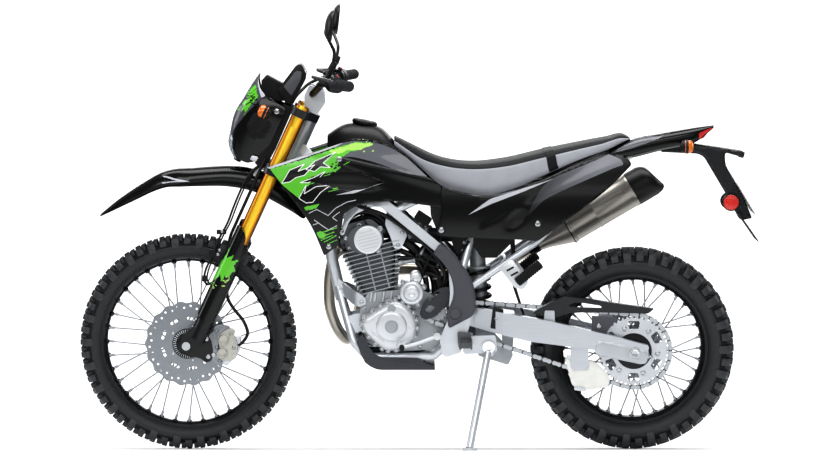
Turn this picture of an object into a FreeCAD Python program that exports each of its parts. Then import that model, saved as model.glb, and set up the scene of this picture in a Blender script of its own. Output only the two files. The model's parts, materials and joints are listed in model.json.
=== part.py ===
import FreeCAD, Part
import math
import os
from FreeCAD import Placement, Rotation, Vector

# A dual sport motorcycle, parked on its side stand with its steering straight.
# It is drawn upright first: x runs rearwards from the front axle, y to the
# machine's right, z up from the floor. Pieces that steer are drawn in the fork
# frame: u rearwards and w up along the steering axis, v to the right. At the
# end everything leans to its left, onto the stand. All sizes are millimetres.

os.makedirs("parts", exist_ok=True)

# Driving dimensions
WHEELBASE = 1380.0
STEERING_RAKE = 24.6
STEERING_TRAIL = 96.0
LEAN_ANGLE = 8.0

FRONT_TYRE_DIAMETER = 674.0
FRONT_TYRE_WIDTH = 80.0
FRONT_CROWN = 20.0
FRONT_BEAD_DIAMETER = 536.0
FRONT_RIM_WIDTH = 41.0
FRONT_LUG_HEIGHT = 8.0
FRONT_LUG_PITCHES = 30
REAR_TYRE_DIAMETER = 634.0
REAR_TYRE_WIDTH = 112.0
REAR_CROWN = 10.0
REAR_BEAD_DIAMETER = 460.0
REAR_RIM_WIDTH = 55.0
REAR_LUG_HEIGHT = 11.0
REAR_LUG_PITCHES = 20
RIM_DEPTH = 16.0
SPOKE_DIAMETER = 4.0
SPOKES_PER_WHEEL = 36
FRONT_FLANGE_Y = 30.0
REAR_FLANGE_Y = 38.0
AXLE_DIAMETER = 16.0

FRONT_DISC_DIAMETER = 265.0
FRONT_DISC_Y = -60.0
REAR_DISC_DIAMETER = 220.0
REAR_DISC_Y = 74.0
DISC_THICKNESS = 4.0

CHAIN_PITCH = 15.875
CHAIN_LINE = -78.0
CHAIN_WIDTH = 16.0
CHAIN_INSIDE = 5.1
CHAIN_OUTSIDE = 7.5
FRONT_SPROCKET_TEETH = 14
REAR_SPROCKET_TEETH = 45
SPROCKET_THICKNESS = 6.0

FORK_SPACING = 200.0
FORK_CLAMP_OFFSET = 32.0
FORK_TUBE_DIAMETER = 43.0
FORK_SLIDER_DIAMETER = 54.0
STEM_DIAMETER = 30.0
HEAD_TUBE_DIAMETER = 54.0
LOWER_CLAMP = (935.0, 963.0)
UPPER_CLAMP = (1133.0, 1158.0)
FORK_TOP = 1176.0
SLIDER_TOP = 700.0
SLIDER_FOOT = 378.0
HANDLEBAR_DIAMETER = 22.2
HANDLEBAR_WIDTH = 820.0
BAR_CLAMP = (-21.0, 1213.0)
GRIP_DIAMETER = 33.0
MIRROR_FOOT = (184, -18, 40)

FRAME_TUBE = 28.0
SUBFRAME_TUBE = 22.0
SWINGARM_PIVOT = Vector(828, 0, 440)
COUNTERSHAFT = Vector(770, 0, 443)
SHOCK_FOOT = (912, 0, 372)
SHOCK_TOP = (893, 0, 688.7)
CYLINDER_LEAN = 14.0
CYLINDER_FOOT = Vector(592, 0, 490)
FIN_PITCH = 13.5
FIN_COUNT = 11
PORT_START = Vector(-50, 26, 172)
PORT_END = Vector(-76, 30, 160)
HEADER_DIAMETER = 34.0
MUFFLER_DIAMETER = 106.0
EXHAUST_JOINT = Vector(1092, 168, 624)
MUFFLER_LINE = Vector(376, 0, 222).normalize()
PANEL_THICKNESS = 4.0

PLATE_PLACE = Placement(Vector(1752, 0, 739), Rotation(Vector(0, 1, 0), -31))
PLATE_BOLT_SPACING = 146.0
PLATE_BOLT_HEIGHT = 100.0
PLATE_BOLT_HOLE = 7.0

STAND_PIVOT = Vector(931, -136, 335)
STAND_STOWED = Vector(328, -15, 14)
STAND_FOOT_PLACE = Vector(871, -262, 0)
STAND_TUBE_DIAMETER = 22.0
STAND_BOLT_DIAMETER = 12.0

# Clearances
FIT = 0.05
SEAT_GAP = 0.3
SPROCKET_GAP = 0.8
RUNNING_GAP = 5.0

# Places that follow from them
PARKED_TILT = Rotation(Vector(1, 0, 0), LEAN_ANGLE)
LEAN_SLOPE = math.tan(math.radians(LEAN_ANGLE))
FRONT_RADIUS = FRONT_TYRE_DIAMETER / 2
REAR_RADIUS = REAR_TYRE_DIAMETER / 2
FRONT_AXLE = Vector(0, 0, FRONT_RADIUS + FRONT_CROWN / 2 * LEAN_SLOPE)
REAR_AXLE = Vector(WHEELBASE, 0, REAR_RADIUS + REAR_CROWN / 2 * LEAN_SLOPE)
FORK_FRAME = Placement(Vector(-STEERING_TRAIL, 0, 0), Rotation(Vector(0, 1, 0), STEERING_RAKE))
AXLE_IN_FORK = FORK_FRAME.inverse().multVec(FRONT_AXLE)
LEG = FORK_SPACING / 2
HEAD_LOW = LOWER_CLAMP[1] + 2
HEAD_HIGH = UPPER_CLAMP[0] - 2
CYLINDER_PLACE = Placement(CYLINDER_FOOT, Rotation(Vector(0, 1, 0), -CYLINDER_LEAN))
STAND_SOLE = PARKED_TILT.inverted().multVec(STAND_FOOT_PLACE)
STAND_UP = PARKED_TILT.inverted().multVec(Vector(0, 0, 1))
STAND_AXIS = (STAND_SOLE - STAND_PIVOT).cross(STAND_STOWED).normalize()

NODES = {}


def node(name, *shapes):
    """Keeps the solids of one named piece."""
    solids = []
    for shape in shapes:
        solids += shape.Solids
    NODES.setdefault(name, []).extend(solids)


# Shape helpers


def runs(points, radii, closed):
    """Edges along straight runs joined by tangent arcs of the given radii; an arc
    that would outrun its neighbours is made smaller."""
    count = len(points)
    cuts = []
    for i, point in enumerate(points):
        if radii[i] == 0 or (not closed and i in (0, count - 1)):
            cuts.append((point, None, point))
            continue
        back, ahead = points[i - 1] - point, points[(i + 1) % count] - point
        room = 0.49 * min(back.Length, ahead.Length)
        back.normalize()
        ahead.normalize()
        half = back.getAngle(ahead) / 2
        if half > math.radians(89.5):
            cuts.append((point, None, point))
            continue
        reach = min(radii[i] / math.tan(half), room)
        radius = reach * math.tan(half)
        middle = point + (back + ahead).normalize() * (radius / math.sin(half) - radius)
        cuts.append((point + back * reach, middle, point + ahead * reach))
    edges = []
    for i in range(count):
        entry, middle, leave = cuts[i]
        if middle is not None:
            edges.append(Part.Arc(entry, middle, leave).toShape())
        if i == count - 1 and not closed:
            break
        following = cuts[(i + 1) % count][0]
        if leave.distanceToPoint(following) > 1e-4:
            edges.append(Part.LineSegment(leave, following).toShape())
    return edges


def outline(corners, y=0.0):
    """Closed wire in an upright plane; a corner is (x, z) or (x, z, radius)."""
    points = [Vector(c[0], y, c[1]) for c in corners]
    radii = [c[2] if len(c) > 2 else 0 for c in corners]
    return Part.Wire(runs(points, radii, True))


def slab(corners, y0, y1, holes=()):
    """Plate with that side view between two sides y0 and y1; holes are (x, z, radius)."""
    wires = [outline(corners, y0)]
    for x, z, radius in holes:
        wires.append(Part.Wire(Part.makeCircle(radius, Vector(x, y0, z), Vector(0, 1, 0))))
    return Part.Face(wires, "Part::FaceMakerBullseye").extrude(Vector(0, y1 - y0, 0))


def tube(points, diameter, bend):
    """Round tube along straight runs joined by bends."""
    points = [Vector(*p) for p in points]
    spine = Part.Wire(runs(points, [bend] * len(points), False))
    circle = Part.makeCircle(diameter / 2, points[0], points[1] - points[0])
    return spine.makePipeShell([Part.Wire(circle)], True, False)


def box_tube(points, width, height, bend):
    """Rectangular tube; its width lies along y, its height across the run."""
    points = [Vector(*p) for p in points]
    spine = Part.Wire(runs(points, [bend] * len(points), False))
    along = (points[1] - points[0]).normalize()
    side = (Vector(0, 1, 0) - along * along.y).normalize()
    up = along.cross(side)
    corners = [side * (a * width / 2) + up * (b * height / 2) + points[0]
               for a, b in ((1, 1), (1, -1), (-1, -1), (-1, 1))]
    profile = Part.makePolygon(corners + corners[:1])
    return spine.makePipeShell([profile], True, False)


def rod(start, end, diameter):
    """Straight round bar."""
    start, end = Vector(*start), Vector(*end)
    return Part.makeCylinder(diameter / 2, (end - start).Length, start, end - start)


def pin(x, z, y0, y1, diameter):
    """Round bar across the machine."""
    return rod((x, y0, z), (x, y1, z), diameter)


def block(x0, x1, y0, y1, z0, z1):
    return Part.makeBox(x1 - x0, y1 - y0, z1 - z0, Vector(x0, y0, z0))


def turned(profile):
    """Ring or disc about the wheel axis from a closed profile of (y, radius)."""
    points = [Vector(radius, y, 0) for y, radius in profile]
    face = Part.Face(Part.makePolygon(points + points[:1]))
    return face.revolve(Vector(0, 0, 0), Vector(0, 1, 0), 360)


def hoop(x, half_width, low, high, corner=2.6, flat=1.0):
    """Closed smooth section across the machine: a rounded box, flatter below."""
    points = []
    for step in range(16):
        angle = 2 * math.pi * (step + 0.5) / 16
        c, s = math.cos(angle), math.sin(angle)
        side = math.copysign(abs(c) ** (2 / corner), c)
        rise = math.copysign(abs(s) ** (2 / corner), s)
        if rise < 0:
            side = math.copysign(min(1.0, abs(side) * flat), side)
        points.append(Vector(x, half_width * side, (low + high) / 2 + (high - low) / 2 * rise))
    curve = Part.BSplineCurve()
    curve.interpolate(points, PeriodicFlag=True)
    return Part.Wire(curve.toShape())


def loft(wires, ruled=False):
    return Part.makeLoft(wires, True, ruled)


def mirrored(shape):
    return shape.mirror(Vector(0, 0, 0), Vector(0, 1, 0))


def moved(shape, place):
    """A copy of shape carried by a vector or a placement."""
    copy = shape.copy()
    if isinstance(place, Vector):
        copy.translate(place)
    else:
        copy.Placement = place.multiply(copy.Placement)
    return copy


def fused(*shapes):
    whole = shapes[0].multiFuse(list(shapes[1:]))
    return whole.removeSplitter()


def curve_through(points):
    curve = Part.BSplineCurve()
    curve.interpolate(points)
    return curve.toShape()


def panel_slice(z, stations, inset, thickness):
    """Level band of a side panel: stations are (x, y) along its outer face."""
    outer = [Vector(x, -(y - inset), z) for x, y in stations]
    inner = [Vector(x, -(y - inset - thickness), z) for x, y in stations]
    edges = [curve_through(outer), Part.LineSegment(outer[-1], inner[-1]).toShape(),
             curve_through(inner[::-1]), Part.LineSegment(inner[0], outer[0]).toShape()]
    return Part.Wire(edges)


def side_panel(corners, stations, levels, thickness=PANEL_THICKNESS):
    """Left panel: a curved sheet, bowed along x by stations and along z by levels
    of (z, inset), cut to its side view."""
    sheet = loft([panel_slice(z, stations, inset, thickness) for z, inset in levels])
    return sheet.common(slab(corners, -400, 0))


# Wheels


def lugged_tyre(profile, raised, pitches, height):
    """Tyre from a closed profile of (y, radius). Each pitch has two steps; raised
    names the profile's cells that stand up as lugs, and on which step."""
    steps = pitches * 2
    count = len(profile)

    def point(step, y, radius):
        angle = 2 * math.pi * step / steps
        return Vector(radius * math.cos(angle), y, radius * math.sin(angle))

    def face(*corners):
        return Part.Face(Part.makePolygon(list(corners) + [corners[0]]))

    faces = []
    for step in range(steps):
        for j in range(count):
            (ya, ra), (yb, rb) = profile[j], profile[(j + 1) % count]
            base = [point(step, ya, ra), point(step + 1, ya, ra),
                    point(step + 1, yb, rb), point(step, yb, rb)]
            if raised.get(j) != step % 2:
                faces.append(face(*base))
                continue
            length = math.hypot(yb - ya, rb - ra)
            lift_y, lift_r = -(rb - ra) / length * height, (yb - ya) / length * height
            top = [point(step, ya + lift_y, ra + lift_r), point(step + 1, ya + lift_y, ra + lift_r),
                   point(step + 1, yb + lift_y, rb + lift_r), point(step, yb + lift_y, rb + lift_r)]
            faces.append(face(*top))
            for k in range(4):
                m = (k + 1) % 4
                faces.append(face(base[k], base[m], top[m], top[k]))
    shell = Part.makeShell(faces)
    shell.sewShape()
    solid = Part.Solid(shell.Shells[0])
    if solid.Volume < 0:
        solid.reverse()
    return solid


def tyre_profile(radius, bead, width, height, crown, rim_width, shares):
    """Tread over bulged sidewalls, down between the rim's flanges, and the hollow inside."""
    base = radius - height
    half = width / 2 - height * 0.35
    seat = rim_width / 2 - SEAT_GAP
    left = [(-seat, bead), (-seat, bead + 14), (-half, bead + (base - bead) * 0.6)]
    tread = []
    for share in shares:
        y = half * share * 0.97
        drop = (base - bead) * 0.25 * max(0.0, (abs(y) - crown / 2) / (half - crown / 2)) ** 1.6
        tread.append((y, base - drop))
    tread = [p for p in tread if p[0] < -crown / 2 - 1] + [(-crown / 2, base), (crown / 2, base)] + \
            [p for p in tread if p[0] > crown / 2 + 1]
    inside = [(half * 0.72, bead + (base - bead) * 0.55), (-half * 0.72, bead + (base - bead) * 0.55)]
    return left + tread + [(-y, r) for y, r in reversed(left)] + [(seat - 7, bead)] + inside + [(7 - seat, bead)]


def wheel_rim(bead, width):
    """Rim with flanges outside the tyre's beads and a well between its seats."""
    w = width / 2
    seat = bead - SEAT_GAP
    return turned([(-w - 3.5, bead + 10), (-w - 2, bead + 13), (-w, bead + 12), (-w, seat), (-w + 9, seat),
                   (-w + 12, seat - 11), (w - 12, seat - 11), (w - 9, seat), (w, seat), (w, bead + 12),
                   (w + 2, bead + 13), (w + 3.5, bead + 10), (w + 2, bead - 4), (w - 7, bead - 7), (w - 10, bead - RIM_DEPTH),
                   (-w + 10, bead - RIM_DEPTH), (-w + 7, bead - 7), (-w - 2, bead - 4)])


def spoked_hub(hub_profile, flange_radius, flange_y, rim_radius, rim_y):
    """Hub with its laced spokes, joined at the flanges."""
    parts = []
    for k in range(SPOKES_PER_WHEEL):
        side = -1 if k % 2 else 1
        lace = 52 if (k // 2) % 2 else -52
        head = 2.2 if (k // 2) % 2 else -2.2
        at_rim = math.radians(360.0 * k / SPOKES_PER_WHEEL)
        at_hub = at_rim + math.radians(lace)
        start = (flange_radius * math.cos(at_hub), side * (flange_y + head), flange_radius * math.sin(at_hub))
        end = (rim_radius * math.cos(at_rim), side * rim_y, rim_radius * math.sin(at_rim))
        parts.append(rod(start, end, SPOKE_DIAMETER))
    hub = turned(hub_profile)
    return hub.multiFuse(parts)


def wave_disc(radius, bore, thickness, lobes, depth, slots, slot_ring, slot_size, hole_ring, hole_radius):
    """Brake disc with a waved rim, a ring of slots and a ring of round holes."""
    points = []
    for k in range(lobes * 2):
        angle = math.pi * k / lobes
        reach = radius if k % 2 == 0 else radius - depth
        points.append(Vector(reach * math.cos(angle), 0, reach * math.sin(angle)))
    curve = Part.BSplineCurve()
    curve.interpolate(points, PeriodicFlag=True)
    wires = [Part.Wire(curve.toShape()), Part.Wire(Part.makeCircle(bore, Vector(0, 0, 0), Vector(0, 1, 0)))]
    for k in range(slots):
        turn = 360.0 * k / slots
        length, width = slot_size
        slot = outline([(slot_ring - width / 2, -length / 2, width * 0.49), (slot_ring + width / 2, -length / 2, width * 0.49),
                        (slot_ring + width / 2, length / 2, width * 0.49), (slot_ring - width / 2, length / 2, width * 0.49)])
        slot.rotate(Vector(0, 0, 0), Vector(0, 1, 0), turn)
        wires.append(slot)
    for k in range(lobes * 2):
        angle = math.pi * (k + 0.5) / lobes
        ring = hole_ring - (6 if k % 2 else 0)
        centre = Vector(ring * math.cos(angle), 0, ring * math.sin(angle))
        wires.append(Part.Wire(Part.makeCircle(hole_radius, centre, Vector(0, 1, 0))))
    face = Part.Face(wires, "Part::FaceMakerBullseye")
    return face.extrude(Vector(0, thickness, 0))


def front_wheel():
    bead = FRONT_BEAD_DIAMETER / 2
    profile = tyre_profile(FRONT_RADIUS, bead / math.cos(math.pi / 2 / FRONT_LUG_PITCHES), FRONT_TYRE_WIDTH,
                           FRONT_LUG_HEIGHT, FRONT_CROWN, FRONT_RIM_WIDTH, (-1.0, -0.64, 0.64, 1.0))
    tyre = lugged_tyre(profile, {3: 1, 5: 0, 7: 1}, FRONT_LUG_PITCHES, FRONT_LUG_HEIGHT)
    node("front_tyre", moved(tyre, FRONT_AXLE))
    node("front_rim", moved(wheel_rim(bead, FRONT_RIM_WIDTH), FRONT_AXLE))
    bore = AXLE_DIAMETER / 2 + FIT
    inner = FRONT_DISC_Y + DISC_THICKNESS
    hub = [(inner, bore), (inner, 32), (inner + 6, 32), (inner + 6, 24), (-33, 22), (-33, 38), (-27, 38), (-27, 20),
           (27, 20), (27, 38), (33, 38), (33, 22), (44, 20), (44, bore)]
    node("front_hub", moved(spoked_hub(hub, 34, FRONT_FLANGE_Y, bead - RIM_DEPTH - 2 * SEAT_GAP, 5), FRONT_AXLE))
    disc = wave_disc(FRONT_DISC_DIAMETER / 2, 26, DISC_THICKNESS, 18, 6, 9, 78, (30, 9), 118, 3.5)
    node("front_disc", moved(disc, FRONT_AXLE + Vector(0, FRONT_DISC_Y, 0)))


def pitch_radius(teeth):
    return CHAIN_PITCH / 2 / math.sin(math.pi / teeth)


def sprocket(teeth, bore, thickness, carrier, windows):
    """Toothed wheel that ends just inside the chain's rollers."""
    tip = (pitch_radius(teeth) - CHAIN_INSIDE) * math.cos(math.pi / teeth) - SPROCKET_GAP
    root = tip - 6.0
    points = []
    for k in range(teeth):
        for share, reach in ((0.0, root), (0.25, root), (0.5, tip), (0.75, tip)):
            angle = 2 * math.pi * (k + share) / teeth
            points.append(Vector(reach * math.cos(angle), 0, reach * math.sin(angle)))
    wires = [Part.makePolygon(points + points[:1]),
             Part.Wire(Part.makeCircle(bore, Vector(0, 0, 0), Vector(0, 1, 0)))]
    low, high = carrier + 6, root - 8
    for k in range(windows):
        slot = outline([(low, -14, 5), (high, -20, 6), (high, 20, 6), (low, 14, 5)])
        slot.rotate(Vector(0, 0, 0), Vector(0, 1, 0), 360.0 * (k + 0.5) / windows)
        wires.append(slot)
    return Part.Face(wires, "Part::FaceMakerBullseye").extrude(Vector(0, thickness, 0))


def rear_wheel():
    bead = REAR_BEAD_DIAMETER / 2
    profile = tyre_profile(REAR_RADIUS, bead / math.cos(math.pi / 2 / REAR_LUG_PITCHES), REAR_TYRE_WIDTH,
                           REAR_LUG_HEIGHT, REAR_CROWN, REAR_RIM_WIDTH, (-1.0, -0.74, -0.5, 0.5, 0.74, 1.0))
    tyre = lugged_tyre(profile, {3: 0, 5: 1, 7: 1, 9: 0}, REAR_LUG_PITCHES, REAR_LUG_HEIGHT)
    node("rear_tyre", moved(tyre, REAR_AXLE))
    node("rear_rim", moved(wheel_rim(bead, REAR_RIM_WIDTH), REAR_AXLE))
    bore = AXLE_DIAMETER / 2 + FIT
    left = CHAIN_LINE + SPROCKET_THICKNESS / 2
    hub = [(left, bore), (left, 62), (left + 10, 62), (left + 14, 40), (-41, 38), (-41, 56), (-35, 56), (-35, 30),
           (35, 30), (35, 56), (41, 56), (41, 38), (66, 36), (66, 48), (REAR_DISC_Y, 48), (REAR_DISC_Y, bore)]
    node("rear_hub", moved(spoked_hub(hub, 51, REAR_FLANGE_Y, bead - RIM_DEPTH - 2 * SEAT_GAP, 7), REAR_AXLE))
    disc = wave_disc(REAR_DISC_DIAMETER / 2, 40, DISC_THICKNESS, 15, 5, 8, 66, (24, 8), 96, 3.5)
    node("rear_disc", moved(disc, REAR_AXLE + Vector(0, REAR_DISC_Y, 0)))
    wheel = sprocket(REAR_SPROCKET_TEETH, 40, SPROCKET_THICKNESS, 62, 6)
    node("rear_sprocket", moved(wheel, REAR_AXLE + Vector(0, left - SPROCKET_THICKNESS, 0)))


# Steering: drawn in the fork frame, u rearwards, v right, w up


def steering_node(name, *shapes):
    node(name, *[moved(shape, FORK_FRAME) for shape in shapes])


def triple_clamp(low, high, lug, waist):
    """Fork bridge: two split lugs and a waist round the steering stem."""
    leg_u = -FORK_CLAMP_OFFSET
    corners = [(leg_u - waist, -LEG + 8, 12), (leg_u - waist, LEG - 8, 12), (leg_u + waist - 4, LEG - 8, 10), (28, 28, 14),
               (28, -28, 14), (leg_u + waist - 4, -LEG + 8, 10)]
    points = [Vector(u, v, low) for u, v, _ in corners]
    bridge = Part.Face(Part.Wire(runs(points, [c[2] for c in corners], True))).extrude(Vector(0, 0, high - low))
    lugs = [rod((leg_u, side * LEG, low), (leg_u, side * LEG, high), lug * 2) for side in (-1, 1)]
    boss = rod((0, 0, low), (0, 0, high), HEAD_TUBE_DIAMETER)
    whole = bridge.multiFuse(lugs + [boss])
    hole = FORK_TUBE_DIAMETER / 2 + FIT
    holes = [rod((leg_u, side * LEG, low - 5), (leg_u, side * LEG, high + 5), hole * 2) for side in (-1, 1)]
    return whole.cut(Part.makeCompound(holes))


def fork():
    leg_u = -FORK_CLAMP_OFFSET
    stem = rod((0, 0, LOWER_CLAMP[1]), (0, 0, UPPER_CLAMP[0]), STEM_DIAMETER)
    steering_node("fork_clamps", fused(triple_clamp(*LOWER_CLAMP, 29, 20), stem))
    nut = rod((0, 0, UPPER_CLAMP[1]), (0, 0, UPPER_CLAMP[1] + 10), 32)
    steering_node("fork_clamps", fused(triple_clamp(*UPPER_CLAMP, 28, 18), nut))
    y_bracket = FRONT_DISC_Y + DISC_THICKNESS / 2 - 40 - SEAT_GAP
    for side in (-1, 1):
        leg = (leg_u, side * LEG)
        fork_tube = rod((*leg, SLIDER_TOP), (*leg, FORK_TOP - 6), FORK_TUBE_DIAMETER)
        cap = rod((*leg, FORK_TOP - 6), (*leg, FORK_TOP), FORK_TUBE_DIAMETER * 0.7)
        steering_node("fork_tubes", fused(fork_tube, cap))
        slider = rod((*leg, SLIDER_FOOT), (*leg, SLIDER_TOP), FORK_SLIDER_DIAMETER)
        seal = rod((*leg, SLIDER_TOP - 22), (*leg, SLIDER_TOP), FORK_SLIDER_DIAMETER + 3)
        u, w = AXLE_IN_FORK.x, AXLE_IN_FORK.z
        y0, y1 = sorted((side * (LEG - 25), side * (LEG + 19)))
        lug = slab([(u - 24, w - 22, 20), (u + 22, w - 24, 16), (leg_u + 26, w + 60, 8),
                    (leg_u - 26, w + 64, 8), (u - 24, w + 24, 16)], y0, y1)
        hole = pin(u, w, -200, 200, AXLE_DIAMETER + 2 * FIT)
        pieces = [slider, seal, lug]
        if side < 0:
            pieces.append(slab([(leg_u + 10, w + 76, 8), (u + 100, w + 92, 12), (u + 118, w + 60, 8), (u + 104, w - 2, 10),
                                (u + 66, w - 8, 10), (leg_u + 10, w + 22, 8)], y_bracket - 6, y_bracket))
        steering_node("fork_sliders", fused(*pieces).cut(hole))


def front_axle():
    u, w = AXLE_IN_FORK.x, AXLE_IN_FORK.z
    bar = pin(u, w, -LEG - 24, LEG + 24, AXLE_DIAMETER)
    heads = [pin(u, w, -LEG - 26, -LEG - 19 - SEAT_GAP, 26), pin(u, w, LEG + 19 + SEAT_GAP, LEG + 26, 26)]
    collars = [pin(u, w, -LEG + 25 + SEAT_GAP, FRONT_DISC_Y + DISC_THICKNESS - 1, 26), pin(u, w, 45, LEG - 25 - SEAT_GAP, 26)]
    steering_node("front_axle", fused(bar, *heads, *collars))


def fork_guards():
    """Plastic guards round the front and outside of the sliders."""
    leg_u = -FORK_CLAMP_OFFSET
    inner = FORK_SLIDER_DIAMETER / 2 + 2
    for side in (-1, 1):
        centre = Vector(leg_u, side * LEG, 440)
        ring = Part.makeCylinder(inner + 3, 320, centre, Vector(0, 0, 1))
        ring = ring.cut(Part.makeCylinder(inner, 320, centre, Vector(0, 0, 1)))
        y0, y1 = sorted((side * (LEG - 12), side * (LEG + 60)))
        face = slab([(leg_u - 60, 470), (leg_u + 22, 440, 10), (leg_u + 6, 650, 20), (leg_u - 12, 745, 6), (leg_u - 60, 720)], y0, y1)
        steering_node("fork_guards", ring.common(face))


def front_brake():
    """Two-piston caliper behind the left leg, open round the disc."""
    u, w = AXLE_IN_FORK.x, AXLE_IN_FORK.z
    y_disc = FRONT_DISC_Y + DISC_THICKNESS / 2
    half_slot = DISC_THICKNESS / 2 + RUNNING_GAP
    corners = [(u + 92, w + 8, 12), (u + 138, w - 12, 16), (u + 158, w + 40, 18), (u + 142, w + 92, 16), (u + 96, w + 76, 12)]
    body = slab(corners, y_disc - 34, y_disc + 26)
    lobes = [pin(u + 116, w + z, y_disc - 40, y_disc - 30, 34) for z in (20, 58)]
    slot = pin(u, w, y_disc - half_slot, y_disc + half_slot, FRONT_DISC_DIAMETER + 2 * RUNNING_GAP + 6)
    steering_node("front_brake", fused(body, *lobes).cut(slot))


def front_fender():
    """High fender under the lower clamp: an arched sheet with turned-down sides."""
    stations = [(-464, 600, 590, 24), (-437, 655, 622, 33), (-385, 742, 684, 44), (-346, 797, 731, 51), (-318, 820, 758, 54),
                (-272, 845, 783, 57), (-218, 875, 810, 60), (-144, 910, 843, 58), (-80, 926, 860, 55), (-30, 930, 864, 54),
                (60, 904, 848, 50), (116, 866, 838, 38)]
    thick = 3.5
    wires = []
    for u, top, low, half in stations:
        outer = [Vector(u, half * a, low + (top - low) * b)
                 for a, b in ((-1, 0), (-0.96, 0.45), (-0.66, 0.9), (0, 1), (0.66, 0.9), (0.96, 0.45), (1, 0))]
        inner = [Vector(u, p.y * (half - thick) / half, p.z - thick * (p.z - low) / (top - low)) for p in outer]
        edges = [curve_through(outer), Part.LineSegment(outer[-1], inner[-1]).toShape(),
                 curve_through(inner[::-1]), Part.LineSegment(inner[0], outer[0]).toShape()]
        wires.append(Part.Wire(edges))
    mount = block(-44, -8, -24, 24, 922, LOWER_CLAMP[0] - SEAT_GAP)
    steering_node("front_fender", fused(loft(wires), mount))


def bar_point(side, distance, across=0.0, above=0.0):
    """A place along the grip's slope, measured inwards from the bar's end."""
    u, w = BAR_CLAMP
    end = Vector(u + 92, HANDLEBAR_WIDTH / 2, w + 86)
    p = end - Vector(78, HANDLEBAR_WIDTH / 2 - 150, 40).normalize() * distance
    return p.x + across, side * p.y, p.z + above


def handlebar():
    u, w = BAR_CLAMP
    half = [(u, 84, w), (u + 14, 150, w + 46), bar_point(1, 0)]
    points = [(a, -b, c) for a, b, c in reversed(half)] + half
    steering_node("handlebar", tube(points, HANDLEBAR_DIAMETER, 60))
    for side in (-1, 1):
        y0, y1 = sorted((side * 38, side * 62))
        riser = slab([(u - 20, w + 22, 8), (u + 26, w + 22, 8), (u + 46, w - 14, 6), (18, UPPER_CLAMP[1] + SEAT_GAP, 4),
                      (-24, UPPER_CLAMP[1] + SEAT_GAP, 4), (u - 22, w - 14, 6)], y0, y1)
        steering_node("fork_clamps", riser.cut(pin(u, w, -100, 100, HANDLEBAR_DIAMETER + 2 * FIT)))
    for side in (-1, 1):
        def at(distance, across=0.0, above=0.0):
            return bar_point(side, distance, across, above)
        bore = HANDLEBAR_DIAMETER + 2 * FIT
        grip = fused(rod(at(-4), at(118), GRIP_DIAMETER), rod(at(118), at(124), GRIP_DIAMETER + 16))
        steering_node("grips", grip.cut(rod(at(0), at(200), bore)))
        housing = rod(at(126), at(168), 48)
        perch = rod(at(168), at(196), 32)
        mirror_foot = rod(at(184, -18, 8), at(*MIRROR_FOOT), 18)
        lever_root = rod(at(184), at(184, -38), 18)
        controls = fused(housing, perch, mirror_foot, lever_root).cut(rod(at(-10), at(200), bore))
        steering_node("hand_controls", controls)
        lever = tube([at(184, -38 - SEAT_GAP), at(184, -62, -2), at(70, -58, -6), at(2, -46, -8)], 11, 12)
        steering_node("levers", lever)


def mirrors():
    for side in (-1, 1):
        foot = bar_point(side, MIRROR_FOOT[0], MIRROR_FOOT[1], MIRROR_FOOT[2] + SEAT_GAP)
        stem = tube([(foot[0], foot[1], foot[2] + 6), (-10, side * 240, 1366), (-60, side * 330, 1410), (-62, side * 360, 1424)], 10, 20)
        boot = rod(foot, (foot[0], foot[1], foot[2] + 26), 22)
        sections = []
        for depth, size in ((0, 0.55), (9, 0.86), (20, 1.0), (24, 1.0)):
            points = []
            for k in range(12):
                angle = 2 * math.pi * k / 12
                c, s = math.cos(angle), math.sin(angle)
                points.append(Vector(depth, 70 * size * math.copysign(abs(c) ** 0.8, c), 50 * size * math.copysign(abs(s) ** 0.8, s)))
            curve = Part.BSplineCurve()
            curve.interpolate(points, PeriodicFlag=True)
            sections.append(Part.Wire(curve.toShape()))
        tilt = Placement(Vector(-70, side * 372, 1432), Rotation(Vector(0, 1, 0), -STEERING_RAKE + 6))
        steering_node("mirrors", fused(moved(loft(sections), tilt), stem, boot))


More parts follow.
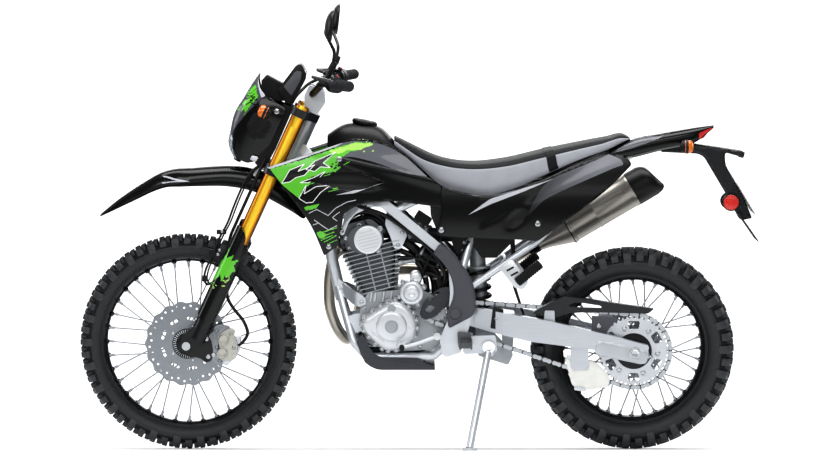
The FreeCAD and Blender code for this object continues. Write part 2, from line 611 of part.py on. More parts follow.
def headlight():
    """Number-plate style cowl with the lamp in its lower front."""
    side_view = [(-193, 1198, 8), (-212, 1060, 30), (-200, 1006, 10), (-160, 994), (-140, 932, 10), (-100, 936, 10),
                 (-80, 985, 6), (-86, 1142, 8), (-150, 1148, 6)]
    levels = [(925, 46, -166), (985, 66, -198), (1060, 84, -215), (1120, 92, -208), (1168, 74, -202), (1202, 44, -196)]
    wires = []
    for w, half, front in levels:
        points = [Vector(-76, half, w), Vector(-120, half, w), Vector(front + 30, half * 0.82, w), Vector(front, half * 0.45, w),
                  Vector(front, -half * 0.45, w), Vector(front + 30, -half * 0.82, w), Vector(-120, -half, w), Vector(-76, -half, w)]
        wires.append(Part.makePolygon(points + points[:1]))
    cowl = loft(wires, True).common(slab(side_view, -200, 200))
    hollow = loft(wires, True).common(slab([(-150, 1100), (-150, 1000), (-40, 1000), (-40, 1100)], -60, 60))
    cowl = cowl.cut(hollow)
    steering_node("headlight_cowl", cowl)
    lens_view = [(-203, 1056, 4), (-211, 1026, 10), (-196, 962, 10), (-160, 927, 6), (-143, 930, 2), (-164, 995, 2), (-201, 1007, 2)]
    steering_node("front_lamps", slab(lens_view, -44, 44).cut(cowl))
    front = -FORK_CLAMP_OFFSET - 18 - SEAT_GAP
    stay = slab([(-90, 1138, 2), (front, 1138), (front, 1154), (-84, 1154, 2)], -40, 40).cut(cowl)
    low_front = -FORK_CLAMP_OFFSET - 20 - SEAT_GAP
    foot = slab([(-109, 952), (-100, 962), (low_front, 960), (low_front, 944), (-98, 940)], -26, 26).cut(cowl)
    steering_node("headlight_cowl", stay, foot)
    meter_view = [(-124, 1180, 6), (-103, 1276, 8), (-90, 1284, 6), (-66, 1266, 6), (-58, 1242, 6), (-64, 1150, 3), (-84, 1150, 3)]
    meter = slab(meter_view, -62, 62).cut(stay)
    visor = slab([(-182, 1180), (-174, 1208, 4), (-110, 1204, 4), (-110, 1180)], -34, 34)
    steering_node("meter", fused(meter, visor.cut(cowl)))
    for side in (-1, 1):
        y0, y1 = sorted((side * 70, side * 150))
        stalk = pin(-128, 1108, y0, y1, 14).cut(cowl)
        pod = rod((-108, side * 168, 1108), (-150, side * 168, 1108), 44)
        steering_node("front_lamps", fused(stalk, pod))


def brake_hose():
    u, w = AXLE_IN_FORK.x, AXLE_IN_FORK.z
    front = -FORK_CLAMP_OFFSET - 37
    route = [(u + 124, -84, w + 86), (10, -66, 560), (front - 2, -60, 700), (front - 2, -86, 800), (front - 2, -84, 960),
             (front, 60, 1080), (front, 84, 1170), (-48, 150, 1226), bar_point(1, 224, -17, -2),
             bar_point(1, 196 + SEAT_GAP, -15.5, 0)]
    steering_node("front_brake", tube(route, 7, 24))


# Frame, swingarm and what hangs on them


def on_head(u, v, w):
    return tuple(FORK_FRAME.multVec(Vector(u, v, w)))


def main_frame():
    head = moved(rod((0, 0, HEAD_LOW), (0, 0, HEAD_HIGH), HEAD_TUBE_DIAMETER), FORK_FRAME)
    bore = moved(rod((0, 0, HEAD_LOW - 5), (0, 0, HEAD_HIGH + 5), STEM_DIAMETER + 2 * FIT), FORK_FRAME)
    down = tube([on_head(12, 0, HEAD_LOW + 62), (431, 0, 756), (446, 0, 600), (476, 0, 470)], 36, 120)
    members = [down]
    for side in (-1, 1):
        rail = box_tube([on_head(16, side * 10, HEAD_LOW + 80), (470, side * 62, 800), (604, side * 96, 781),
                         (775, side * 100, 640), (842, side * 100, 560)], 24, FRAME_TUBE, 40)
        cradle = tube([(466, side * 8, 510), (514, side * 70, 345), (556, side * 78, 300),
                       (760, side * 84, 300), (812, side * 96, 350)], 26, 34)
        plate = slab([(806, 600, 12), (862, 575, 12), (884, 480, 20), (872, 400, 14), (846, 318, 12), (790, 300, 14),
                      (780, 360, 14), (806, 420, 14), (812, 500, 20)], *sorted((side * 98, side * 116)))
        shock_stay = tube([(846, side * 103, 556), (884, side * 60, 694), (893, side * 20, 702)], 24, 20)
        mount = slab([(496, 424, 4), (548, 436, 4), (548, 380, 4), (508, 368, 4)], *sorted((side * 52, side * 60)))
        members += [rail, cradle, plate, shock_stay, mount]
    members.append(pin(893, 702, -60, 60, 26))
    members.append(pin(806, 352, -100, 100, 26))
    members.append(slab([(860, 368, 8), (952, 372, 8), (958, 318, 10), (850, 312, 10)], -116, -100))
    members.append(stand_lug())
    frame = head.multiFuse(members).cut(bore)
    frame = frame.cut(pin(SWINGARM_PIVOT.x, SWINGARM_PIVOT.z, -200, 200, 20 + 2 * FIT))
    node("main_frame", frame.cut(every("crankcase", "cylinder_head", "exhaust_header")))


def every(*names):
    """The named pieces as one shape to cut with."""
    return Part.makeCompound([solid for name in names for solid in NODES[name]])


def subframe():
    rails = []
    for side in (-1, 1):
        lower = tube([(866, side * 103, 512), (1075, side * 94, 656), (1290, side * 70, 866), (1390, side * 50, 938)],
                     SUBFRAME_TUBE, 160)
        upper = tube([(640, side * 97, 752), (720, side * 86, 790), (960, side * 84, 803), (1200, side * 75, 850),
                      (1290, side * 70, 868)], SUBFRAME_TUBE, 160)
        rails.append(lower.fuse(upper))
    cross = [pin(1290, 866, -76, 76, SUBFRAME_TUBE), pin(980, 594, -98, 98, SUBFRAME_TUBE), pin(960, 803, -84, 84, SUBFRAME_TUBE)]
    node("subframe", rails[0].multiFuse([rails[1]] + cross).cut(every("main_frame")))


def frame_covers():
    for side in (-1, 1):
        y0, y1 = sorted((side * (116 + SEAT_GAP), side * 130))
        cover = slab([(780, 655, 6), (818, 632, 14), (860, 577, 40), (882, 538, 30), (893, 483, 40), (886, 434, 16),
                      (808, 393, 10), (800, 439, 20), (824, 490, 30), (821, 538, 30), (799, 587, 30), (760, 626, 6)], y0, y1)
        boss = pin(SWINGARM_PIVOT.x, SWINGARM_PIVOT.z, *sorted((side * 130, side * 134)), 44)
        relief = pin(SWINGARM_PIVOT.x, SWINGARM_PIVOT.z, *sorted((side * 100, side * 126)), 34)
        node("frame_covers", fused(cover, boss).cut(relief))


def swingarm():
    pivot, axle = SWINGARM_PIVOT, REAR_AXLE
    arms = []
    for side in (-1, 1):
        arm = slab([(pivot.x - 4, pivot.z - 28, 20), (pivot.x + 90, pivot.z - 54, 8), (pivot.x + 232, pivot.z - 88, 20),
                    (axle.x - 130, axle.z + 10, 20), (axle.x + 35, axle.z - 36, 8), (axle.x + 45, axle.z + 22, 8),
                    (axle.x - 75, axle.z + 54, 20), (axle.x - 262, pivot.z - 24, 30), (pivot.x + 84, pivot.z + 12, 20),
                    (pivot.x - 10, pivot.z + 26, 20)], *sorted((side * 40, side * 140)))
        plan = [(790, 62), (880, 62), (980, 92), (1440, 92), (1440, 122), (976, 122), (884, 95), (790, 95)]
        points = [Vector(x, side * y, 200) for x, y in plan]
        prism = Part.Face(Part.makePolygon(points + points[:1])).extrude(Vector(0, 0, 400))
        arms.append(arm.common(prism))
    cross = slab([(966, pivot.z - 6, 8), (966, pivot.z - 62, 8), (1018, pivot.z - 70, 8), (1018, pivot.z - 14, 8)], -98, 98)
    barrel = pin(pivot.x, pivot.z, -94, 94, 46)
    guide_lug = slab([(1186, 262, 8), (1240, 262, 8), (1238, 360, 4), (1184, 366, 4)], -100, CHAIN_LINE - 14 - SEAT_GAP)
    guard_lug = slab([(1100, 400, 2), (1136, 396, 2), (1134, 446, 4), (1104, 446, 4)], -100, CHAIN_LINE - 16 - SEAT_GAP)
    arm = arms[0].multiFuse([arms[1], cross, barrel, guide_lug, guard_lug])
    arm = arm.cut(pin(pivot.x, pivot.z, -200, 200, 20 + 2 * FIT))
    node("swingarm", arm.cut(pin(axle.x, axle.z, -200, 200, AXLE_DIAMETER + 2 * FIT)))
    bolt = pin(pivot.x, pivot.z, -119, 119, 20)
    heads = [pin(pivot.x, pivot.z, -125, -116 - SEAT_GAP, 30), pin(pivot.x, pivot.z, 116 + SEAT_GAP, 125, 30)]
    node("axle_bolts", fused(bolt, *heads))
    bar = pin(axle.x, axle.z, -130, 130, AXLE_DIAMETER)
    ends = [pin(axle.x, axle.z, -134, -122 - SEAT_GAP, 28), pin(axle.x, axle.z, 122 + SEAT_GAP, 134, 28),
            pin(axle.x, axle.z, -92 + SEAT_GAP, CHAIN_LINE + SPROCKET_THICKNESS / 2 - 1, 26),
            pin(axle.x, axle.z, REAR_DISC_Y + 1, 92 - SEAT_GAP, 26)]
    node("axle_bolts", fused(bar, *ends))


def rear_brake():
    """Caliper over the top of the right-hand disc, hung from the swingarm."""
    x, z = REAR_AXLE.x, REAR_AXLE.z
    y_disc = REAR_DISC_Y + DISC_THICKNESS / 2
    half_slot = DISC_THICKNESS / 2 + RUNNING_GAP
    body = slab([(x - 108, z + 66, 10), (x - 78, z + 44, 8), (x - 40, z + 80, 8), (x - 58, z + 116, 14), (x - 96, z + 106, 14)],
                y_disc - 20, 92 - SEAT_GAP)
    slot = pin(x, z, y_disc - half_slot, y_disc + half_slot, REAR_DISC_DIAMETER + 2 * RUNNING_GAP)
    hanger = slab([(x - 108, z + 70, 4), (x - 70, z + 40, 4), (x - 56, z + 28, 4), (x - 100, z + 24, 4)], y_disc + half_slot, 92 - SEAT_GAP)
    node("rear_caliper", fused(body, hanger).cut(slot))


def shock():
    line = (Vector(*SHOCK_TOP) - Vector(*SHOCK_FOOT)).normalize()

    def part_of(low, high, diameter):
        return rod(Vector(*SHOCK_FOOT) + line * low, Vector(*SHOCK_FOOT) + line * high, diameter)

    length = (Vector(*SHOCK_TOP) - Vector(*SHOCK_FOOT)).Length
    low, high = 22, 196
    node("shock_absorber", fused(part_of(0, 110, 18), part_of(100, length - 30, 50), part_of(length - 40, length, 30),
                                 part_of(low - 7, low, 78), part_of(high, high + 7, 78)))
    wire = 11.0
    rise = high - low - wire - 2 * SEAT_GAP
    helix = Part.makeHelix(rise / 6, rise, 33)
    coil = Part.Wire(helix.Edges).makePipeShell([Part.Wire(Part.makeCircle(wire / 2, Vector(33, 0, 0), Vector(0, 1, 0)))], True, True)
    place = Placement(Vector(*SHOCK_FOOT) + line * (low + wire / 2 + SEAT_GAP), Rotation(Vector(0, 0, 1), line))
    node("shock_spring", moved(coil, place))
    rocker = slab([(892, 384, 8), (932, 384, 8), (1010, 300, 8), (994, 266, 8), (900, 296, 10)], -22, 22)
    rocker = rocker.cut(slab([(880, 420), (880, 330), (950, 330), (950, 420)], -12, 12))
    hinge = slab([(972, 384, 4), (1012, 376, 4), (1006, 300, 8), (978, 296, 8)], -34, -22 - SEAT_GAP)
    link = slab([(806, 352 - 18, 8), (900, 296, 8), (914, 318, 8), (816, 366, 8)], 22 + SEAT_GAP, 34)
    node("shock_absorber", rocker.cut(part_of(-5, 110, 18)), hinge.cut(every("swingarm")), link.cut(every("main_frame")))


def header_route():
    start = CYLINDER_PLACE.multVec(PORT_END)
    before = EXHAUST_JOINT - MUFFLER_LINE * 150
    return tube([start, (450, 44, 604), (436, 46, 530), (436, 46, 440), (462, 54, 366), (496, 98, 322), (528, 124, 420),
                 (545, 128, 500), (610, 128, 545), (700, 126, 552), (790, 154, 530), before, EXHAUST_JOINT], HEADER_DIAMETER, 46)


def chain_loop():
    """One fixed loop of links: plates scalloped outside the pitch line, straight inside."""
    front, rear = pitch_radius(FRONT_SPROCKET_TEETH), pitch_radius(REAR_SPROCKET_TEETH)
    a, b = COUNTERSHAFT, REAR_AXLE
    span = math.hypot(b.x - a.x, b.z - a.z)
    slope = math.atan2(b.z - a.z, b.x - a.x)
    spread = math.asin((rear - front) / span)
    upper = slope + math.pi / 2 + spread
    lower = slope - math.pi / 2 - spread
    line = []

    def arc(centre, radius, start, stop):
        steps = max(2, int(round(abs(stop - start) * radius / CHAIN_PITCH)))
        for k in range(steps + 1):
            angle = start + (stop - start) * k / steps
            line.append((centre.x + radius * math.cos(angle), centre.z + radius * math.sin(angle),
                         math.cos(angle), math.sin(angle)))

    def straight(start, stop, normal):
        steps = int(round(math.hypot(stop[0] - start[0], stop[1] - start[1]) / CHAIN_PITCH))
        for k in range(1, steps):
            line.append((start[0] + (stop[0] - start[0]) * k / steps, start[1] + (stop[1] - start[1]) * k / steps, *normal))

    def rim_point(centre, radius, angle):
        return centre.x + radius * math.cos(angle), centre.z + radius * math.sin(angle)

    arc(b, rear, upper, lower)
    straight(rim_point(b, rear, lower), rim_point(a, front, lower), (math.cos(lower), math.sin(lower)))
    arc(a, front, lower, upper - 2 * math.pi)
    straight(rim_point(a, front, upper), rim_point(b, rear, upper), (math.cos(upper), math.sin(upper)))
    y = CHAIN_LINE - CHAIN_WIDTH / 2
    outer, inner = [], []
    for k, (x, z, nx, nz) in enumerate(line):
        x2, z2, mx, mz = line[(k + 1) % len(line)]
        outer.append(Vector(x + nx * CHAIN_OUTSIDE, y, z + nz * CHAIN_OUTSIDE))
        outer.append(Vector((x + x2) / 2 + (nx + mx) / 2 * 5.4, y, (z + z2) / 2 + (nz + mz) / 2 * 5.4))
        inner.append(Vector(x - nx * CHAIN_INSIDE, y, z - nz * CHAIN_INSIDE))
    wires = [Part.makePolygon(points + points[:1]) for points in (outer, inner)]
    return Part.Face(wires, "Part::FaceMakerBullseye").extrude(Vector(0, CHAIN_WIDTH, 0))


def drive():
    node("chain", chain_loop())
    y = CHAIN_LINE
    gear = sprocket(FRONT_SPROCKET_TEETH, 10, SPROCKET_THICKNESS, 20, 0)
    shaft = pin(COUNTERSHAFT.x, COUNTERSHAFT.z, y - 6, -66 - SEAT_GAP, 20)
    gear = moved(gear, COUNTERSHAFT + Vector(0, y - SPROCKET_THICKNESS / 2, 0)).fuse(shaft)
    node("chain", gear.cut(every("crankcase")))
    guard = slab([(1067, 440, 6), (1164, 492, 10), (1300, 472, 60), (1440, 452, 4), (1423, 436, 6), (1240, 462, 60),
                  (1180, 456, 10), (1125, 424, 8)], y - 16, y + 12)
    room = slab([(1050, 380), (1050, 600), (1140, 600), (1140, 474, 2), (1166, 486, 8), (1300, 466, 60), (1450, 446),
                 (1450, 380)], y - 13, y + 13)
    node("chain_guards", guard.cut(room))
    guide = slab([(1167, 298, 8), (1260, 286, 12), (1306, 240, 12), (1300, 206, 10), (1240, 197, 12), (1190, 210, 12)], y - 14, y + 14)
    node("chain_guards", guide.cut(slab([(1140, 300), (1140, 200), (1340, 150), (1340, 250)], y - 10, y + 10)).cut(every("swingarm")))


# Engine and exhaust


def engine():
    case = slab([(536, 460, 20), (532, 400, 30), (560, 338, 20), (640, 314, 20), (770, 322, 30), (806, 380, 30),
                 (796, 470, 30), (716, 512, 16), (560, 498, 16)], -66, 96)
    node("crankcase", case)
    left = slab([(548, 440, 30), (556, 356, 40), (632, 318, 50), (706, 352, 40), (712, 440, 40), (650, 486, 40), (590, 474, 30)], -118, -66)
    cover = fused(left, pin(632, 404, -132, -118, 96), pin(632, 404, -135, -130, 40), pin(632, 457, -121, -116, 26))
    starter = fused(pin(694, 502, -118, -50, 72), pin(694, 502, -124, -116, 44), pin(706, 548, -104, -50, 34))
    right = slab([(560, 440, 30), (566, 360, 40), (650, 316, 50), (756, 340, 40), (770, 430, 40), (700, 486, 40), (600, 480, 30)], 96, 116)
    clutch = fused(right, pin(690, 404, 114, 138, 120))
    node("engine_covers", cover, starter.cut(Part.makeCompound([case, cover])), clutch)
    barrel = rod((0, 0, 8), (0, 0, 152), 100)
    fins = []
    for k in range(FIN_COUNT):
        t = 14 + FIN_PITCH * k
        front, back = 60 + 2.4 * k, 66 + 4.6 * k
        wire = [Vector(-front, -70, t), Vector(back, -70, t), Vector(back, 70, t), Vector(-front, 70, t)]
        fins.append(Part.Face(Part.Wire(runs(wire, [22] * 4, True))).extrude(Vector(0, 0, 3.2)))
    ribs = [block(-30 + 22 * k, -26 + 22 * k, -66, 66, 10, 150) for k in range(4)]
    head_view = [(-62, 153, 10), (56, 153, 10), (60, 200, 16), (34, 236, 24), (-40, 236, 24), (-64, 200, 16)]
    head = slab(head_view, -58, 58)
    port = rod(PORT_START, PORT_END, 46)
    head = moved(fused(head, pin(-8, 180, -76, -56, 88), port), CYLINDER_PLACE)
    node("cylinder_head", head)
    cylinder = moved(barrel.multiFuse(fins + ribs), CYLINDER_PLACE)
    node("cylinder", cylinder.cut(Part.makeCompound([case, head, header_route()] + NODES["engine_covers"])))
    node("engine_covers", sprocket_cover())
    inlet = CYLINDER_PLACE.multVec(Vector(61, 0, 182))
    intake = tube([inlet, (700, -16, 678), (790, -54, 676), (859, -54, 676)], 42, 60)
    node("airbox", intake.cut(head).cut(every("cylinder")))


def sprocket_cover():
    """Slotted guard over the countershaft sprocket."""
    cover = slab([(722, 479, 10), (762, 512, 10), (803, 512, 8), (803, 425, 8), (750, 415, 10), (726, 424, 10)], -96.5, -90)
    slots = [slab([(738 + 14 * k, 434 + 3 * k, 2.4), (743 + 14 * k, 434 + 3 * k, 2.4), (743 + 14 * k, 486 + 4 * k, 2.4),
                   (738 + 14 * k, 484 + 4 * k, 2.4)], -100, -80) for k in range(4)]
    posts = [pin(x, 503, -90, -66 - SEAT_GAP, 10) for x in (744, 793)]
    return fused(cover, *posts).cut(Part.makeCompound(slots))


def exhaust():
    node("exhaust_header", header_route().cut(every("cylinder_head", "engine_covers")))
    cone = Part.makeCone(21, MUFFLER_DIAMETER / 2, 112, EXHAUST_JOINT, MUFFLER_LINE)
    can = Part.makeCylinder(MUFFLER_DIAMETER / 2, 232, EXHAUST_JOINT + MUFFLER_LINE * 112, MUFFLER_LINE)
    ring = Part.makeCylinder(MUFFLER_DIAMETER / 2 + 3, 10, EXHAUST_JOINT + MUFFLER_LINE * 108, MUFFLER_LINE)
    cap_start = EXHAUST_JOINT + MUFFLER_LINE * (344 + SEAT_GAP)
    cap = Part.makeCone(MUFFLER_DIAMETER / 2 + 2, 40, 72, cap_start, MUFFLER_LINE)
    cap = cap.cut(Part.makeCylinder(18, 70, cap_start + MUFFLER_LINE * 20, MUFFLER_LINE))
    node("muffler", fused(cone, can, ring), cap)


# Bodywork and seat


def bodywork():
    shroud_view = [(249, 891, 3), (483, 966, 40), (515, 978, 20), (576, 973, 40), (660, 942, 30), (739, 865, 20), (783, 836, 4),
                   (783, 767, 4), (625, 789, 60), (538, 781, 40), (484, 750, 20), (474, 686, 40), (469, 653, 6), (426, 620, 4),
                   (385, 724, 60), (292, 844, 20)]
    stations = [(230, 150), (330, 159), (430, 160), (530, 150), (640, 130), (800, 121)]
    levels = [(600, 18), (700, 6), (800, 0), (880, 4), (930, 18), (985, 44)]
    shroud = side_panel(shroud_view, stations, levels)
    tank = loft([hoop(434, 48, 900, 984), hoop(480, 72, 850, 1012), hoop(530, 88, 826, 1018), hoop(600, 92, 790, 1004),
                 hoop(650, 90, 780, 950), hoop(700, 84, 790, 900), hoop(770, 70, 806, 838)])
    tank = tank.cut(every("main_frame", "subframe"))
    vent = slab([(372, 852, 3), (412, 862, 30), (465, 875, 30), (518, 877, 30), (556, 866, 20), (607, 845, 2), (548, 824, 20),
                 (514, 822, 10), (465, 831, 40), (413, 842, 30)], -200, -100)
    shroud = shroud.cut(vent)
    stays = Part.makeCompound([pin(500, 904, -150, -60, 18), pin(628, 856, -140, -60, 18), pin(476, 720, -156, -10, 16)])
    stays = stays.cut(tank).cut(every("main_frame"))
    keep = slab([(380, 600), (380, 1000), (800, 1000), (800, 600)], -158, -30)
    shroud = shroud.multiFuse(stays.common(keep).Solids)
    shroud = shroud.cut(tank).cut(moved(tank, Placement(Vector(0, -SEAT_GAP, 0), Rotation())))
    node("shrouds", shroud, mirrored(shroud))
    node("fuel_tank", tank)
    node("fuel_tank", slab([(500, 1019 + SEAT_GAP, 2), (506, 1032, 4), (590, 1014, 4), (592, 1010, 2)], -34, 34).cut(tank))
    seat = loft([hoop(640, 56, 948, 978), hoop(700, 70, 900, 952), hoop(756, 82, 853, 926), hoop(817, 98, 828, 906),
                 hoop(894, 112, 812, 899), hoop(976, 120, 818, 910), hoop(1103, 116, 866, 940), hoop(1215, 106, 914, 962),
                 hoop(1300, 92, 944, 978), hoop(1360, 74, 970, 988)])
    node("seat", seat.cut(every("fuel_tank", "subframe")))


def side_covers():
    view = [(786, 764, 4), (786, 830, 4), (860, 808, 40), (936, 796, 40), (1018, 822, 60), (1111, 858, 60), (1184, 894, 40),
            (1291, 932, 30), (1345, 928, 10), (1372, 898, 12), (1296, 821, 60), (1130, 699, 40), (1081, 664, 10), (1018, 669, 20),
            (854, 675, 20), (777, 680, 8)]
    left = side_panel(view, [(760, 121), (860, 130), (980, 138), (1100, 136), (1240, 124), (1390, 104)],
                      [(640, 8), (720, 0), (800, 2), (870, 12), (950, 30)])
    right = side_panel(view, [(760, 121), (860, 122), (980, 120), (1100, 116), (1240, 106), (1390, 98)],
                       [(640, 2), (720, 0), (800, 2), (870, 12), (950, 26)])
    stays = [pin(1000, 806, -150, -90, 16), pin(1230, 858, -150, -80, 16)]
    pieces = []
    for panel in (left, right):
        reach = [s.common(slab(view, -122 if panel is left else -102, 0)).cut(every("subframe")) for s in stays]
        pieces.append(panel.multiFuse(reach))
    node("side_covers", pieces[0], mirrored(pieces[1]))
    airbox = slab([(860, 770, 10), (860, 674, 10), (897, 625, 10), (909, 607, 10), (955, 607, 10), (974, 625, 10), (1016, 668, 10),
                   (1040, 785, 10), (1040, 800, 10), (940, 800, 10)], -78, 78)
    keep_out = slab([(840, 590), (840, 810), (950, 810), (950, 590)], -40, 40)
    airbox = airbox.cut(keep_out).cut(every("subframe", "main_frame"))
    node("airbox", airbox)
    flap = slab([(1000, 668, 2), (1012, 680, 2), (1018, 510, 20), (1046, 421, 2), (1040, 418, 2), (1008, 510, 20)], -60, 60)
    node("mud_flaps", flap.cut(every("airbox", "subframe", "swingarm")))


def tail():
    body = loft([hoop(1300, 86, 905, 940), hoop(1370, 88, 912, 972), hoop(1460, 80, 934, 990), hoop(1560, 64, 955, 1006),
                 hoop(1624, 40, 1004, 1014)])
    body = body.cut(every("seat", "side_covers", "subframe"))
    body = max(body.Solids, key=lambda solid: solid.Volume)
    node("rear_fender", body)
    lamp = slab([(1578, 998, 3), (1620, 1004, 3), (1596, 972, 4), (1574, 966, 3)], -40, 40).cut(body)
    lamp = lamp.cut(moved(body, Placement(Vector(SEAT_GAP, 0, -SEAT_GAP), Rotation())))
    node("rear_lamps", lamp)
    plate = Part.makeBox(3, 178, 118, Vector(0, -89, 0))
    for y in (-PLATE_BOLT_SPACING / 2, PLATE_BOLT_SPACING / 2):
        plate = plate.cut(Part.makeCylinder(PLATE_BOLT_HOLE / 2, 5, Vector(-1, y, PLATE_BOLT_HEIGHT), Vector(1, 0, 0)))
    plate = moved(plate, PLATE_PLACE)
    flap = moved(Part.makeBox(3, 120, 108, Vector(0, -60, 0)), Placement(Vector(1763, 0, 655), Rotation(Vector(0, 1, 0), -35)))
    arm = slab([(1470, 944, 6), (1463, 929, 6), (1580, 924, 20), (1600, 912, 20), (1668, 800, 10), (1712, 716, 6),
                (1750, 724, 4), (1714, 812, 6), (1664, 890, 20), (1662, 930, 8), (1720, 912, 8), (1724, 934, 8), (1640, 946, 20),
                (1570, 956, 10), (1530, 962, 4)], -30, 30)
    arm = arm.cut(Part.makeCompound([body, lamp, plate, flap]))
    arm = max(arm.Solids, key=lambda solid: solid.Volume)
    node("plate_bracket", arm, plate)
    node("mud_flaps", flap)
    for side in (-1, 1):
        stalk = pin(1530, 956, *sorted((side * 50, side * 150)), 14).cut(every("rear_fender", "plate_bracket"))
        stalk = max(stalk.Solids, key=lambda solid: solid.Volume)
        pod = rod((1510, side * 168, 956), (1552, side * 168, 956), 42)
        reflector = pin(1681, 775, *sorted((side * (30 + SEAT_GAP), side * 40)), 54)
        node("rear_lamps", fused(stalk, pod), reflector)


def pegs_and_pedals():
    for side in (-1, 1):
        hanger = slab([(846, 372, 8), (900, 372, 8), (906, 330, 8), (852, 326, 8)], *sorted((side * (116 + SEAT_GAP), side * 134)))
        if side < 0:
            hanger = slab([(834, 384, 8), (876, 380, 8), (880, 336, 8), (838, 332, 8)], -134, -116 - SEAT_GAP)
        x = 846 if side < 0 else 862
        peg = block(x - 8, x + 34, *sorted((side * 134, side * 222)), 338, 366)
        node("foot_controls", fused(hanger, peg))
        hook = slab([(960, 578, 6), (1004, 612, 6), (1050, 545, 8), (1040, 512, 8), (1010, 516, 8)], *sorted((side * 100, side * 125)))
        rubber = box_tube([(1016, side * 134, 536), (1090, side * 134, 596)], 18, 34, 0)
        node("foot_controls", fused(hook.cut(every("subframe")), rubber))
    shaft = pin(772, 372, -152, -66 - SEAT_GAP, 14)
    lever = fused(tube([(772, -146, 372), (700, -152, 346), (664, -160, 340)], 12, 30), pin(664, 340, -190, -154, 16), shaft)
    node("foot_controls", lever.cut(every("crankcase")))
    pedal = fused(tube([(868, 146, 346), (800, 152, 306), (680, 150, 318)], 12, 30), pin(680, 318, 130, 170, 18),
                  pin(868, 346, 134 + SEAT_GAP, 152, 18))
    node("foot_controls", pedal.cut(every("foot_controls")))
    skid = slab([(532, 350, 6), (548, 284, 20), (586, 262, 20), (766, 262, 6), (766, 270, 4), (590, 270, 20), (556, 292, 16),
                 (542, 352, 4)], -92, 92)
    straps = [block(600 + 120 * k, 616 + 120 * k, -92, 92, 268, 300) for k in range(2)]
    node("skid_plate", fused(skid, *straps).cut(every("main_frame", "crankcase", "exhaust_header")))


# Side stand


def stand_lug():
    """Lug and bolt that the side stand turns on, square to its inclined axis."""
    lug = rod(STAND_PIVOT - STAND_AXIS * 32, STAND_PIVOT - STAND_AXIS * 7, 38)
    bolt = rod(STAND_PIVOT - STAND_AXIS * 8, STAND_PIVOT + STAND_AXIS * 8, STAND_BOLT_DIAMETER)
    head = rod(STAND_PIVOT + STAND_AXIS * 7, STAND_PIVOT + STAND_AXIS * 13, 20)
    return fused(lug, bolt, head)


def side_stand():
    """Leg, foot and pivot ear; its sole is level once the machine leans."""
    ear = rod(STAND_PIVOT - STAND_AXIS * 6, STAND_PIVOT + STAND_AXIS * 6, 38)
    along = (STAND_SOLE - STAND_PIVOT).normalize()
    leg = rod(STAND_PIVOT + along * 12, STAND_SOLE + STAND_UP * 8 + along, STAND_TUBE_DIAMETER)
    leg = leg.cut(rod(STAND_PIVOT - STAND_AXIS * 40, STAND_PIVOT - STAND_AXIS * 6, 38 + 2 * RUNNING_GAP))
    leg = leg.cut(rod(STAND_PIVOT + STAND_AXIS * 6, STAND_PIVOT + STAND_AXIS * 40, 20 + 2 * RUNNING_GAP))
    foot = rod(STAND_SOLE, STAND_SOLE + STAND_UP * 8, 44)
    hole = rod(STAND_PIVOT - STAND_AXIS * 20, STAND_PIVOT + STAND_AXIS * 20, STAND_BOLT_DIAMETER + 2 * FIT)
    node("side_stand", fused(ear, leg, foot).cut(hole))


def build():
    front_wheel()
    rear_wheel()
    fork()
    front_axle()
    fork_guards()
    front_brake()
    front_fender()
    handlebar()
    mirrors()
    headlight()
    brake_hose()
    engine()
    exhaust()
    main_frame()
    subframe()
    frame_covers()
    swingarm()
    rear_brake()
    shock()
    drive()
    bodywork()
    side_covers()
    tail()
    pegs_and_pedals()
    side_stand()


def parked_place():
    """Leans the machine onto its stand and centres the space that it takes up."""
    lean = Placement(Vector(0, 0, 0), PARKED_TILT)
    ends = moved(every("front_tyre", "mud_flaps", "mirrors", "grips", "levers", "exhaust_header"), lean).optimalBoundingBox(False, False)
    return Placement(Vector(-ends.Center.x, -ends.Center.y, 0), Rotation()).multiply(lean)


def export(place):
    for name, solids in NODES.items():
        placed = [moved(solid, place) for solid in solids]
        shape = placed[0] if len(placed) == 1 else Part.makeCompound(placed)
        shape.exportStep("parts/" + name + ".step")


build()
PARKED = parked_place()
export(PARKED)
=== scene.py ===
"""A dual sport motorcycle that leans on its side stand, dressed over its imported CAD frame.

The machine is drawn upright in millimetres: x runs back from the front axle, y to its right and z
up from the floor. What steers is drawn on the fork: u behind the steering axis, v to the right, w
up along it."""

import json
import math

import bmesh
import bpy
import numpy as np
from mathutils import Matrix, Vector
from mathutils.geometry import delaunay_2d_cdt


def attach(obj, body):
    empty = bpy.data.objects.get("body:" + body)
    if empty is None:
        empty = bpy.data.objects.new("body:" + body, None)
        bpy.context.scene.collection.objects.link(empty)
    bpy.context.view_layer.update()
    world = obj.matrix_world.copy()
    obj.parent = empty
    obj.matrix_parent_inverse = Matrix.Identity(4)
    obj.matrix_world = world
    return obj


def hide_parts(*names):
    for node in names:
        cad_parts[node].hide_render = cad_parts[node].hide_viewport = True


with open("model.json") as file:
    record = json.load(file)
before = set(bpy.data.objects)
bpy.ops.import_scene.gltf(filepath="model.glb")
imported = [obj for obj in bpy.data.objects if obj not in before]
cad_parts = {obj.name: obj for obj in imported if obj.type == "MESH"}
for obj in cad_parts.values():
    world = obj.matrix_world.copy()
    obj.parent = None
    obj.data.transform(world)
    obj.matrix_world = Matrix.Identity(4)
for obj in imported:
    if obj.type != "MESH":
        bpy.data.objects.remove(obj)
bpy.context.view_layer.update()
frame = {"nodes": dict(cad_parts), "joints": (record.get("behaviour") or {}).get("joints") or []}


# Studio. A pale painted floor, a soft box overhead, one at each side and a strip along the left
# side of the machine, which draws the long highlights on its gloss panels.


